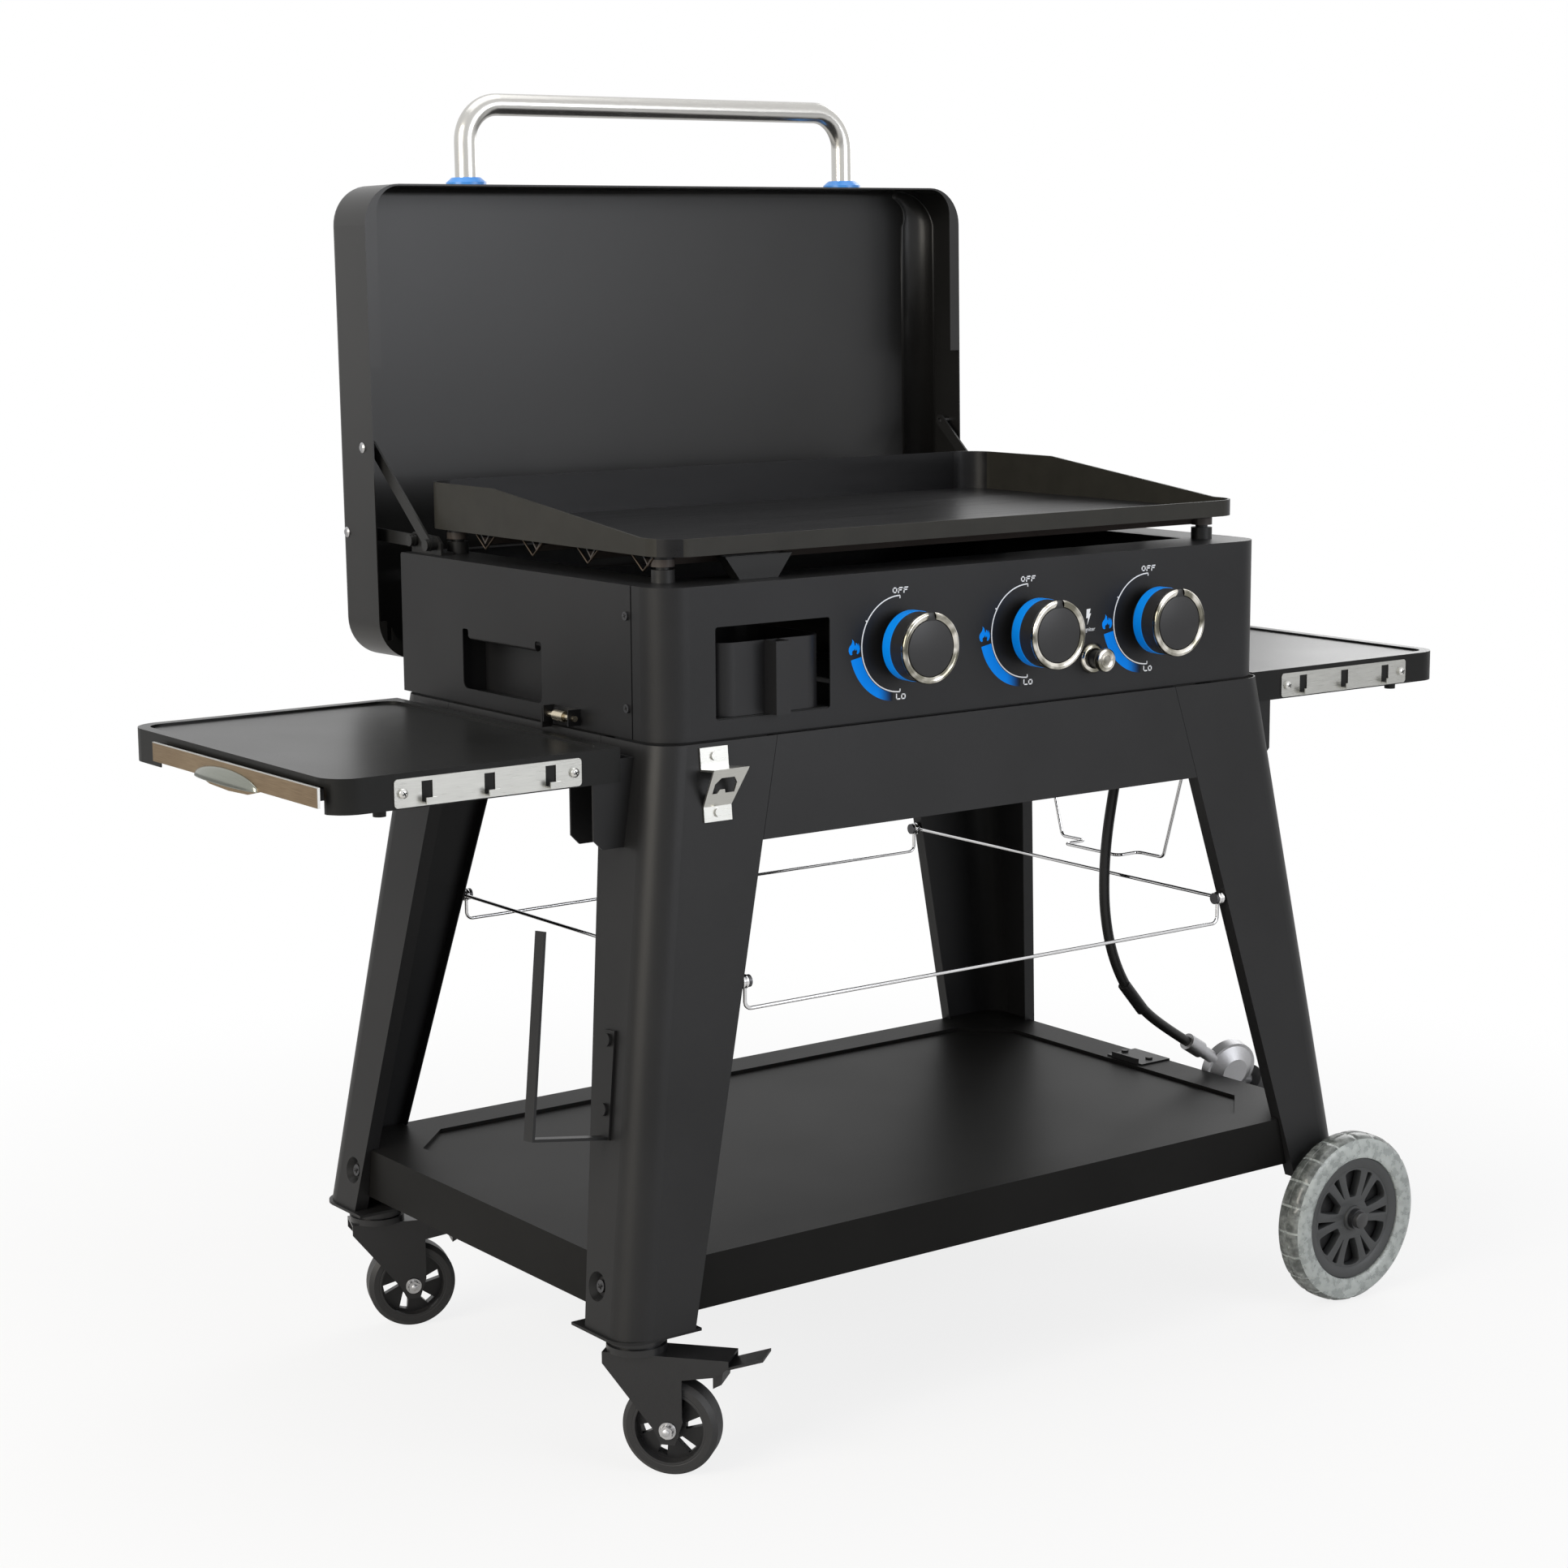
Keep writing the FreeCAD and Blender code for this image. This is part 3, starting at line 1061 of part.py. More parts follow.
def side_wire(side):
    x = side * eye_one
    reach = screw_y - size.wire_eye
    bar = Part.makeCylinder(size.wire, 2 * reach, V(x, -reach, size.wire_high), V(0, 1, 0))
    return bar.fuse([eye(x, -screw_y), eye(x, screw_y)])


def end_wire(side):
    """The front or rear wire: it drops from its eyes and crosses lower down."""
    x, y = eye_two, side * screw_y
    low = size.wire_high - size.wire_dip
    top = size.wire_high - size.wire_eye
    path = wire_along([V(-x, y, top), V(-x, y, low), V(x, y, low), V(x, y, top)], size.wire_bend)
    return tube_along(path, size.wire).fuse([eye(-x, y), eye(x, y)])


finish("brace_wires", shaped("brace_wires", Part.Compound([
    side_wire(-1), side_wire(1), end_wire(-1), end_wire(1)])))


# Side shelves: pressed trays that fold down about a pin in brackets on the legs.

channel_front = "(size.side_front + size.sheet_wall + size.seat_gap)"

def shelf_body(name, with_drawer):
    """A side shelf on the right-hand side; the drawer's end has its opening."""
    body = new_body(name)
    low = ("size.side_inner", "size.side_front")
    high = ("size.side_outer", "size.side_rear")
    bottom = "(size.side_deck - size.side_skirt)"
    corner = "size.side_corner"
    pad(body, rounded(body, "XY_Plane", low, high, corner, bottom), "size.side_skirt")
    fill = [("size.side_inner", "size.side_front"), (f"size.side_inner + {corner}", "size.side_front"),
            (f"size.side_inner + {corner}", "size.side_rear"), ("size.side_inner", "size.side_rear")]
    pad(body, outline(body, "XY_Plane", fill, bottom), "size.side_skirt")
    inner_low = (f"size.side_inner + {wall}", f"size.side_front + {wall}")
    inner_high = (f"size.side_outer - {wall}", f"size.side_rear - {wall}")
    pocket(body, rounded(body, "XY_Plane", inner_low, inner_high, f"{corner} - {wall}",
                         "size.side_deck - size.side_recess - size.sheet_wall"),
           f"size.side_skirt - size.side_recess - {wall}")
    inner_end = [
        (inner_low[0], inner_low[1]), (f"size.side_inner + {corner}", inner_low[1]),
        (f"size.side_inner + {corner}", inner_high[1]), (inner_low[0], inner_high[1])]
    pocket(body, outline(body, "XY_Plane", inner_end, "size.side_deck - size.side_recess - size.sheet_wall"),
           f"size.side_skirt - size.side_recess - {wall}")
    rim_low = ("size.side_inner + size.side_rim", "size.side_front + size.side_rim")
    rim_high = ("size.side_outer - size.side_rim", "size.side_rear - size.side_rim")
    pocket(body, rounded(body, "XY_Plane", rim_low, rim_high, f"{corner} - size.side_rim",
                         "size.side_deck"), "size.side_recess")
    for near, far in ((f"{channel_front} - size.seat_gap", f"{channel_front} + size.bracket_deep + size.seat_gap * 2"),
                      (f"-{channel_front} - size.bracket_deep - size.seat_gap * 2", f"-{channel_front} + size.seat_gap")):
        pocket(body, outline(body, "XY_Plane", [
            ("size.side_inner - 1", near), (f"size.side_inner + {wall} + 1", near),
            (f"size.side_inner + {wall} + 1", far), ("size.side_inner - 1", far)],
            f"size.side_deck - size.side_recess - {wall}"), f"size.side_skirt - size.side_recess - {wall}")
    if with_drawer:
        clear = "(size.seat_gap * 5)"
        pocket(body, outline(body, "YZ_Plane", [
            (f"size.drawer_front - {clear}", f"{bottom} - 1"),
            (f"size.drawer_rear + {clear}", f"{bottom} - 1"),
            (f"size.drawer_rear + {clear}", f"size.drawer_high - {clear}"),
            (f"size.drawer_front - {clear}", f"size.drawer_high - {clear}")],
            "size.side_outer + 1"), "4")
    return body


def bumper(name, side):
    low = "(size.side_deck - size.side_skirt)"
    return cone(name, ("size.bumper_x", f"{side} * size.bumper_y", f"{low} - size.bumper_tall"), "z",
                "size.bumper_radius - 1.5", "size.bumper_radius",
                f"size.bumper_tall + size.side_skirt - size.side_recess - {wall}")


# The shelf's ears hang inside the brackets' channels; the fold pins go through both.

ear_front = f"({channel_front} + size.bracket_wall + size.seat_gap)"


def fold_ear(name, side):
    """An ear under the deck, with the bore for the fold pin."""
    y = ear_front if side < 0 else f"(-{ear_front} - size.bracket_wall)"
    low = "(size.side_deck - size.side_skirt)"
    plate = box(name + "_plate", ("size.side_inner + size.sheet_wall", y, low),
                ("size.bracket_out - size.side_inner", "size.bracket_wall",
                 "size.side_skirt - size.side_recess - size.sheet_wall"))
    hole = rod(name + "_hole", ("size.fold_x", f"{y} - 1", "size.fold_z"), "y",
               "size.fold_pin + size.running_gap", "size.bracket_wall + 2")
    return cut(name, plate, hole)


def shelf_solids(name, with_drawer):
    sheet_part = shelf_body(name, with_drawer)
    solid = fuse(name + "_pressed", sheet_part, fold_ear(name + "_ear_a", -1), fold_ear(name + "_ear_b", 1))
    return [solid, bumper(name + "_bumper_rear", 1), bumper(name + "_bumper_front", -1)]


left_solids = [mirror("shelf_left_%d" % index, item, V(1, 0, 0))
               for index, item in enumerate(shelf_solids("shelf_left", True))]
right_solids = shelf_solids("shelf_right", False)

# Fold brackets: a channel on each leg's side flange, closed by a slanted web.
leg_at_low = at_height("x", "size.bracket_low")
leg_at_fold = at_height("x", "size.fold_z + 6")
bracket = new_body("fold_channel")
bracket_plate = [
    (leg_at_fold, "size.fold_z + 6"), (leg_at_low, "size.bracket_low"),
    ("size.bracket_out - 10", "size.bracket_low"), ("size.bracket_out", "size.bracket_low + 10"),
    ("size.bracket_out", "size.fold_z - 4"), ("size.fold_x + 4", "size.fold_z + 6")]
pad(bracket, outline(bracket, "XZ_Plane", bracket_plate, f"-{channel_front} - size.bracket_wall"),
    "size.bracket_wall")
pad(bracket, outline(bracket, "XZ_Plane", bracket_plate, f"-{channel_front} - size.bracket_deep"),
    "size.bracket_wall")
pad(bracket, outline(bracket, "XZ_Plane", [
    (leg_at_fold, "size.fold_z + 6"), (leg_at_low, "size.bracket_low"),
    (f"{leg_at_low} + size.bracket_wall", "size.bracket_low"),
    (f"{leg_at_fold} + size.bracket_wall", "size.fold_z + 6")],
    f"-{channel_front} - size.bracket_deep"), "size.bracket_deep")
fold_hole = rod("fold_hole", ("size.fold_x", channel_front, "size.fold_z"), "y", "size.fold_pin",
                "size.bracket_deep")
fold_pin = rod("fold_pin", ("size.fold_x", channel_front, "size.fold_z"), "y", "size.fold_pin",
               "size.bracket_deep")
fold_front = group("fold_front", cut("fold_bracket", bracket, fold_hole), fold_pin)
fold_right = group("fold_right", fold_front, mirror("fold_rear", fold_front, V(0, 1, 0)))
finish("fold_brackets", fold_right, mirror("fold_left", fold_right, V(1, 0, 0)))

# Drawer in the left shelf: a tray under the deck with a bright face and a finger scoop.
drawer_x = "(size.side_outer + size.drawer_proud)"
drawer = new_body("drawer_face")
pad(drawer, outline(drawer, "YZ_Plane", [
    ("size.drawer_front", "size.drawer_low"),
    ("size.scoop_middle - size.scoop_half", "size.drawer_low"),
    ("size.scoop_middle - size.scoop_half * 0.6", "size.drawer_low - size.scoop_drop * 0.8"),
    ("size.scoop_middle", "size.drawer_low - size.scoop_drop"),
    ("size.scoop_middle + size.scoop_half * 0.6", "size.drawer_low - size.scoop_drop * 0.8"),
    ("size.scoop_middle + size.scoop_half", "size.drawer_low"),
    ("size.drawer_rear", "size.drawer_low"), ("size.drawer_rear", "size.drawer_high"),
    ("size.drawer_front", "size.drawer_high")], f"-{drawer_x}"), "size.drawer_wall * 2")
tray_front = "(size.drawer_front + size.tray_inset)"
tray_wide = f"(size.drawer_rear - size.tray_margin - {tray_front})"
tray_low = "(size.drawer_low + 2)"
tray_tall = "(size.drawer_high - size.drawer_low - 8)"
tray = cut("drawer_tray",
           box("tray_outer", (f"-{drawer_x} + size.drawer_wall", tray_front, tray_low),
               ("size.drawer_long", tray_wide, tray_tall)),
           box("tray_inner", (f"-{drawer_x} + size.drawer_wall * 3", f"{tray_front} + size.drawer_wall",
                              f"{tray_low} + size.drawer_wall"),
               ("size.drawer_long - size.drawer_wall * 4", f"{tray_wide} - size.drawer_wall * 2",
                tray_tall)))
finish("drawer", fuse("drawer", drawer, tray))

# Hook strips: a plate with three punched windows whose tongues are bent out as hooks.
strip = new_body("hook_strip")
strip_left = "(size.side_outer - size.strip_from_end - size.strip_long)"
strip_right = "(size.side_outer - size.strip_from_end)"
strip_high = "(size.strip_low + size.strip_tall)"
pad(strip, rounded(strip, "XZ_Plane", (strip_left, "size.strip_low"), (strip_right, strip_high),
                   "4", "-size.side_front"), "size.sheet_wall")
hook_x = f"({strip_left} + size.strip_long * 0.17)"
hook_low = "(size.strip_low + 4)"
punched = pocket(strip, outline(strip, "XZ_Plane", [
    (f"{hook_x} - size.hook_wide / 2", hook_low), (f"{hook_x} + size.hook_wide / 2", hook_low),
    (f"{hook_x} + size.hook_wide / 2", f"{hook_low} + size.hook_window"),
    (f"{hook_x} - size.hook_wide / 2", f"{hook_low} + size.hook_window")],
    "-size.side_front + size.sheet_wall + 1"), "size.sheet_wall + 2")
hook_back = "size.side_front"
hook_tip = "(size.side_front - size.hook_reach)"
tongue = pad(strip, outline(strip, "YZ_Plane", [
    (hook_back, f"{hook_low} - size.sheet_wall"), (hook_back, hook_low),
    (f"{hook_tip} + size.sheet_wall", hook_low),
    (f"{hook_tip} + size.sheet_wall", f"{hook_low} + size.hook_lip"),
    (hook_tip, f"{hook_low} + size.hook_lip"), (hook_tip, f"{hook_low} - size.sheet_wall")],
    f"{hook_x} - size.hook_wide / 2"), "size.hook_wide")
row_of(strip, [punched, tongue], "X_Axis", "size.strip_long * 0.66", 3)
strip_screws = [rod("strip_screw_%d" % index, (x, "size.side_front - size.sheet_wall - size.screw_head_thick",
                                               "size.strip_low + size.strip_tall / 2"),
                    "y", "size.screw_head", "size.screw_head_thick")
                for index, x in enumerate((f"{strip_left} + 9", f"{strip_right} - 9"))]
strip_set = group("strip_set", strip, *strip_screws)
finish("side_shelf_right", *right_solids)
finish("side_shelf_left", *left_solids)
finish("hook_strip_right", strip_set)
finish("hook_strip_left", mirror("strip_set_left", strip_set, V(1, 0, 0)))


# Control head: the front panel wraps both corners and carries a flange for the griddle's posts.

panel = new_body("control_panel")
hx, hy = "(size.head_wide / 2)", "(size.head_deep / 2)"
head_tall = "(size.head_top - size.head_low)"
pad(panel, rounded(panel, "XY_Plane", (f"-{hx}", f"-{hy}"), (hx, f"{hy}"), "size.panel_corner",
                   "size.head_low"), head_tall)
pocket(panel, rounded(panel, "XY_Plane", (f"-{hx} + {wall}", f"-{hy} + {wall}"),
                      (f"{hx} - {wall}", f"{hy} - {wall}"), f"size.panel_corner - {wall}",
                      f"size.head_top - {wall}"), f"{head_tall} - {wall}")
behind = f"(-{hy} + size.panel_return)"
through(panel, outline(panel, "XY_Plane", [(f"-{hx} - 1", behind), (f"{hx} + 1", behind),
                                           (f"{hx} + 1", f"{hy} + 1"), (f"-{hx} - 1", f"{hy} + 1")],
                       "size.head_top"))
pad(panel, outline(panel, "XY_Plane", [
    (f"-{hx} + {wall} * 2", f"{behind} - 1"), (f"{hx} - {wall} * 2", f"{behind} - 1"),
    (f"{hx} - {wall} * 2", f"-{hy} + size.front_flange"),
    (f"-{hx} + {wall} * 2", f"-{hy} + size.front_flange")], f"size.head_top - {wall}"), wall)
pocket(panel, rounded(panel, "XZ_Plane", ("size.window_left", "size.window_low"),
                      ("size.window_right", "size.window_high"), "3", f"{hy} + 1"), f"{wall} + 2")
stem_cut = pocket(panel, circle(panel, "XZ_Plane", "size.knob_first", "size.knob_high", "size.stem_hole",
                                f"{hy} + 1"), f"{wall} + 2")
row_of(panel, [stem_cut], "X_Axis", "size.knob_pitch * 2", 3)
pocket(panel, circle(panel, "XZ_Plane", "size.igniter_x", "size.igniter_z",
                     "size.button_stem + 3", f"{hy} + 1"), f"{wall} + 2")
pocket(panel, outline(panel, "XY_Plane", [
    ("size.drain_x - size.drain_half + 8 - size.seat_gap", "size.plate_front + 10 - size.seat_gap"),
    ("size.drain_x + size.drain_half - 8 + size.seat_gap", "size.plate_front + 10 - size.seat_gap"),
    ("size.drain_x + size.drain_half - 8 + size.seat_gap", "size.plate_front + 26 + size.seat_gap"),
    ("size.drain_x - size.drain_half + 8 - size.seat_gap", "size.plate_front + 26 + size.seat_gap")],
    "size.head_top + 1"), f"{wall} + 2")
finish("control_panel", panel)

# Side panels, with a hand slot whose upper edge is curled.
side = new_body("side_panel")
side_front_edge = f"({behind} + size.seam_gap * 4)"
side_back_edge = f"({hy} - {wall})"
pad(side, outline(side, "YZ_Plane", [
    (side_front_edge, "size.head_low"), (side_back_edge, "size.head_low"),
    (side_back_edge, "size.head_top"), (side_front_edge, "size.head_top")], f"{hx} - {wall}"), wall)
pad(side, outline(side, "XY_Plane", [
    (f"{hx} - 1", f"-{hy} + size.front_flange + size.seam_gap"), (f"{hx} - 1", side_back_edge),
    (f"{hx} - size.side_flange", side_back_edge),
    (f"{hx} - size.side_flange", f"-{hy} + size.front_flange + size.seam_gap")],
    f"size.head_top - {wall}"), wall)
pocket(side, rounded(side, "YZ_Plane", ("size.slot_front", "size.slot_low"),
                     ("size.slot_rear", "size.slot_high"), "size.slot_corner", f"{hx} + 1"), f"{wall} + 2")
for ear_low, ear_high in (("size.slot_front", "size.slot_front + size.slot_ear"),
                          ("size.slot_rear - size.slot_ear", "size.slot_rear")):
    pocket(side, rounded(side, "YZ_Plane", (ear_low, "size.slot_high - 16"), (ear_high, "size.slot_ear_high"),
                         "3", f"{hx} + 1"), f"{wall} + 2")
curl = rod("slot_curl", (f"{hx} - {wall} - 2.5", "size.slot_front + size.slot_ear", "size.slot_high"), "y",
           "3.2", "size.slot_rear - size.slot_front - size.slot_ear * 2")
side_solid = fuse("side_solid", side, curl)
finish("side_panels", side_solid, mirror("side_panel_left", side_solid, V(1, 0, 0)))

# Hand cups: boxes behind the slots that keep fingers off the burners.
cup_y0 = "(size.slot_front - size.cup_border)"
cup_y1 = "(size.slot_rear + size.cup_border)"
cup_z0 = "(size.slot_low - size.cup_border)"
cup_z1 = "(size.slot_ear_high + size.cup_border)"
hand_cup = cut("hand_cup",
               box("hand_cup_outer", (f"{hx} - {wall} - size.cup_deep", cup_y0, cup_z0),
                   ("size.cup_deep", f"{cup_y1} - {cup_y0}", f"{cup_z1} - {cup_z0}")),
               box("hand_cup_inner", (f"{hx} - size.cup_deep", f"{cup_y0} + {wall}", f"{cup_z0} + {wall}"),
                   ("size.cup_deep", f"{cup_y1} - {cup_y0} - {wall} * 2",
                    f"{cup_z1} - {cup_z0} - {wall} * 2")))
finish("hand_cups", hand_cup, mirror("hand_cup_left", hand_cup, V(1, 0, 0)))

# Rear panel: closes the back, with returns inside the side panels and a row of vents.
rear = new_body("rear_panel")
pad(rear, outline(rear, "XY_Plane", [
    (f"-{hx} + {wall}", f"{hy} - 16"), (f"-{hx} + {wall}", f"{hy} - {wall}"), (f"-{hx}", f"{hy} - {wall}"),
    (f"-{hx}", hy), (hx, hy), (hx, f"{hy} - {wall}"), (f"{hx} - {wall}", f"{hy} - {wall}"),
    (f"{hx} - {wall}", f"{hy} - 16"), (f"{hx} - {wall} * 2", f"{hy} - 16"),
    (f"{hx} - {wall} * 2", f"{hy} - {wall}"), (f"-{hx} + {wall} * 2", f"{hy} - {wall}"),
    (f"-{hx} + {wall} * 2", f"{hy} - 16")], "size.head_low"), f"{head_tall} - {wall}")
pad(rear, outline(rear, "XY_Plane", [
    (f"-{hx} + size.side_flange + size.seam_gap", f"{hy} - size.rear_flange"),
    (f"{hx} - size.side_flange - size.seam_gap", f"{hy} - size.rear_flange"),
    (f"{hx} - size.side_flange - size.seam_gap", hy),
    (f"-{hx} + size.side_flange + size.seam_gap", hy)], f"size.head_top - {wall}"), wall)
vent = pocket(rear, rounded(rear, "XZ_Plane", ("-300", "size.head_top - 34"), ("-210", "size.head_top - 24"),
                            "4", f"-{hy} + size.sheet_wall + 1"), f"{wall} + 2")
row_of(rear, [vent], "X_Axis", "510", 5)
finish("rear_panel", rear)

# Floor of the head: a pan that sets the head down on the aprons' lips.
floor = new_body("firebox_floor")
fx = f"({hx} - size.floor_inset)"
fy = f"({hy} - size.floor_inset)"
pan_corner = "(size.panel_corner - size.floor_inset)"
pad(floor, rounded(floor, "XY_Plane", (f"-{fx}", f"-{fy}"), (fx, fy), pan_corner, "size.leg_top"),
    "size.floor_rim")
pocket(floor, rounded(floor, "XY_Plane", (f"-{fx} + {wall}", f"-{fy} + {wall}"),
                      (f"{fx} - {wall}", f"{fy} - {wall}"), f"{pan_corner} - {wall}",
                      "size.leg_top + size.floor_rim"), f"size.floor_rim - {wall}")
vent = pocket(floor, rounded(floor, "XY_Plane", ("-size.burner_pitch - size.vent_wide / 2", "-40"),
                             ("-size.burner_pitch + size.vent_wide / 2", "-40 + size.vent_long"),
                             "10", "size.leg_top + 4"), "8")
row_of(floor, [vent], "X_Axis", "size.burner_pitch * 2", 3)
pocket(floor, circle(floor, "XY_Plane", "size.manifold_right", "size.inlet_y", "size.inlet_hex - 2",
                     "size.leg_top + 4"), "8")
for near, far in ((f"{fx} - {wall} - 1", f"{fx} + 1"), (f"-{fx} - 1", f"-{fx} + {wall} + 1")):
    pocket(floor, outline(floor, "XY_Plane", [
        (near, f"{cup_y0} - size.seat_gap"), (far, f"{cup_y0} - size.seat_gap"),
        (far, f"{cup_y1} + size.seat_gap"), (near, f"{cup_y1} + size.seat_gap")],
        "size.leg_top + size.floor_rim"), f"size.leg_top + size.floor_rim - {cup_z0} + size.seat_gap")
finish("firebox_floor", floor)


# Burners: tubes that bend from the valves to an even spacing under the plate.

def knob_axis(index):
    return size.knob_first + index * size.knob_pitch


def burner(index):
    front_x = knob_axis(index)
    back_x = (index - 1) * size.burner_pitch
    z = size.burner_high
    path = wire_along([
        V(front_x, size.mixer_front, z), V(front_x, size.mixer_front + 46, z),
        V(back_x, size.burner_run, z), V(back_x, size.burner_end, z)], size.burner_bend * 0.5)
    return tube_along(path, size.burner_radius)


finish("burners", shaped("burners", Part.Compound([burner(index) for index in range(3)])))

# A rail across the floor holds the burners' rear ends.
rail_low = "(size.leg_top + size.sheet_wall)"
rail_top = "(size.burner_high - size.burner_radius - size.seat_gap / 2)"
rail = new_body("burner_rail")
pad(rail, outline(rail, "YZ_Plane", [
    ("size.burner_end - 34", rail_low), ("size.burner_end - 10", rail_low),
    ("size.burner_end - 10", f"{rail_top} - size.rail_thick"), ("size.burner_end + 6", f"{rail_top} - size.rail_thick"),
    ("size.burner_end + 6", rail_top), ("size.burner_end - 10 - size.rail_thick", rail_top),
    ("size.burner_end - 10 - size.rail_thick", f"{rail_low} + size.rail_thick"),
    ("size.burner_end - 34", f"{rail_low} + size.rail_thick")], f"-{fx} + 10"), f"({fx} - 10) * 2")

# Gas manifold behind the panel: a pipe, three valve bodies and the inlet down to the hose.
valves = []
for index in range(3):
    x = f"(size.knob_first + size.knob_pitch * {index})"
    valves.append(cut(
        "valve_%d" % (index + 1),
        fuse("valve_solid_%d" % (index + 1),
             box("valve_block_%d" % (index + 1), (f"{x} - size.valve_half", "size.valve_front",
                                                  "size.knob_high - size.valve_half * 2"),
                 ("size.valve_half * 2", "size.valve_rear - size.valve_front", "size.valve_half * 3")),
             rod("valve_neck_%d" % (index + 1), (x, f"-{hy} + {wall}", "size.knob_high"), "y",
                 "size.valve_neck", f"{hy} - {wall} + size.valve_front + 1"),
             rod("valve_jet_%d" % (index + 1), (x, "size.valve_rear - 1", "size.knob_high"), "y", "5",
                 "size.mixer_front - size.valve_rear + 1")),
        rod("valve_bore_%d" % (index + 1), (x, f"-{hy}", "size.knob_high"), "y",
            "size.stem_radius + size.running_gap",
            f"{hy} + size.valve_front + size.stem_in_valve + size.push_travel + 2")))
inlet_path = wire_along([
    V(size.manifold_right - 60, size.manifold_y, size.manifold_z), V(size.manifold_right, size.manifold_y, size.manifold_z),
    V(size.manifold_right, size.inlet_y, size.manifold_z), V(size.manifold_right, size.inlet_y, size.inlet_low + 6)], 22)
inlet = shaped("inlet_pipe", tube_along(inlet_path, size.manifold_radius - 2))
pipe = rod("manifold_pipe", ("size.manifold_left", "size.manifold_y", "size.manifold_z"), "x",
           "size.manifold_radius", "size.manifold_right - size.manifold_left - 60")
inlet_nut = rod("inlet_nut", ("size.manifold_right", "size.inlet_y", "size.inlet_low"), "z",
                "size.inlet_hex", "18")
finish("gas_manifold", fuse("gas_manifold", pipe, inlet, inlet_nut, *valves))


# Knobs: a moulded body with a coloured band and a notched chrome ring, on a stem that pushes in.

def ring(name, back, front, radius, ring_wall):
    """A ring round the knob's axis, measured outwards from the panel."""
    outside = rod(name + "_outside", ("0", f"-{front}", "0"), "y", radius, f"{front} - {back}")
    inside = rod(name + "_inside", ("0", f"-{front} - 1", "0"), "y", f"{radius} - {ring_wall}",
                 f"{front} - {back} + 2")
    return cut(name, outside, inside)


knob = new_body("knob_moulding")
core = "(size.band_radius - size.band_wall)"
ring_in = "(size.ring_radius - size.ring_wall)"
knob_bore = "(size.stem_radius + size.running_gap)"
bore_end = "(size.stem_front + size.seat_gap)"
revolve(knob, outline(knob, "XY_Plane", [
    (knob_bore, "-size.skirt_back"), ("size.skirt_radius", "-size.skirt_back"),
    ("size.skirt_radius", "-size.band_back"), (core, "-size.band_back"), (core, "-size.band_front"),
    ("size.grip_radius", "-size.band_front"), ("size.grip_radius", "-size.ring_back"),
    (ring_in, "-size.ring_back"), (ring_in, "-size.face_front"), ("0", "-size.face_front"),
    ("0", f"-{bore_end}"), (knob_bore, f"-{bore_end}")]), "Y_Axis")
band = ring("knob_band", "size.band_back", "size.band_front", "size.band_radius", "size.band_wall")
bright = cut("knob_bright", ring("knob_ring", "size.ring_back", "size.ring_front", "size.ring_radius",
                                 "size.ring_wall"),
             box("knob_notch", ("-size.notch_wide / 2", "-size.ring_front - 1", f"{ring_in} - 2"),
                 ("size.notch_wide", "size.ring_front - size.ring_back + 2", "size.ring_wall + 4")))
knob_set = group("knob_set", knob, band, bright)
stem = rod("valve_stem", ("0", "-size.stem_front", "0"), "y", "size.stem_radius",
           f"size.stem_front + {hy} + size.valve_front + size.stem_in_valve")
for index in range(3):
    spot = FreeCAD.Placement(V(knob_axis(index), -size.head_deep / 2, size.knob_high), FreeCAD.Rotation())
    finish("knob_%d" % (index + 1), knob_set, placement=spot)
    finish("valve_stem_%d" % (index + 1), stem, placement=spot)

# Igniter: a bright base with a barrel behind the panel, and the push button in it.
igniter_y = f"-{hy}"
igniter_bezel = cut(
    "igniter_bezel",
    fuse("igniter_solid",
         rod("igniter_base", ("size.igniter_x", f"{igniter_y} - size.bezel_thick", "size.igniter_z"), "y",
             "size.bezel_radius", "size.bezel_thick"),
         rod("igniter_barrel", ("size.igniter_x", f"{igniter_y} - 1", "size.igniter_z"), "y",
             "size.button_stem + 2.5", "size.bezel_tail + 1")),
    rod("igniter_bore", ("size.igniter_x", f"{igniter_y} - size.bezel_thick - 1", "size.igniter_z"), "y",
        "size.button_stem + size.seat_gap", "size.bezel_thick + size.bezel_tail - 1"))
finish("igniter_bezel", igniter_bezel)
igniter_button = fuse(
    "igniter_button",
    rod("igniter_stem", ("size.igniter_x", f"{igniter_y} - size.button_front + 2", "size.igniter_z"), "y",
        "size.button_stem", "size.button_front + size.bezel_tail - size.button_travel - 6"),
    rod("igniter_cap", ("size.igniter_x", f"{igniter_y} - size.button_front", "size.igniter_z"), "y",
        "size.button_cap", "size.button_cap_thick"))
finish("igniter_button", igniter_button)


# Griddle plate: a welded pan with a low front lip, sloped side walls and ribs below.

plate = new_body("griddle_plate")
px = "size.plate_half_x"
pw = "size.plate_wall"
pad(plate, rounded(plate, "XY_Plane", (f"-{px}", "size.plate_front"), (px, "size.plate_rear"),
                   "size.plate_corner", "size.plate_low"), "size.wall_top - size.plate_low")
pocket(plate, rounded(plate, "XY_Plane", (f"-{px} + {pw}", f"size.plate_front + {pw}"),
                      (f"{px} - {pw}", f"size.plate_rear - {pw}"), f"size.plate_corner - {pw}",
                      "size.wall_top"), "size.wall_top - size.plate_low - size.plate_thick")
through(plate, outline(plate, "YZ_Plane", [
    ("size.slope_rear", "size.wall_top"), ("size.slope_front", "size.lip_top"),
    ("size.plate_front - 1", "size.lip_top"), ("size.plate_front - 1", "size.wall_top + 1"),
    ("size.slope_rear", "size.wall_top + 1")]))
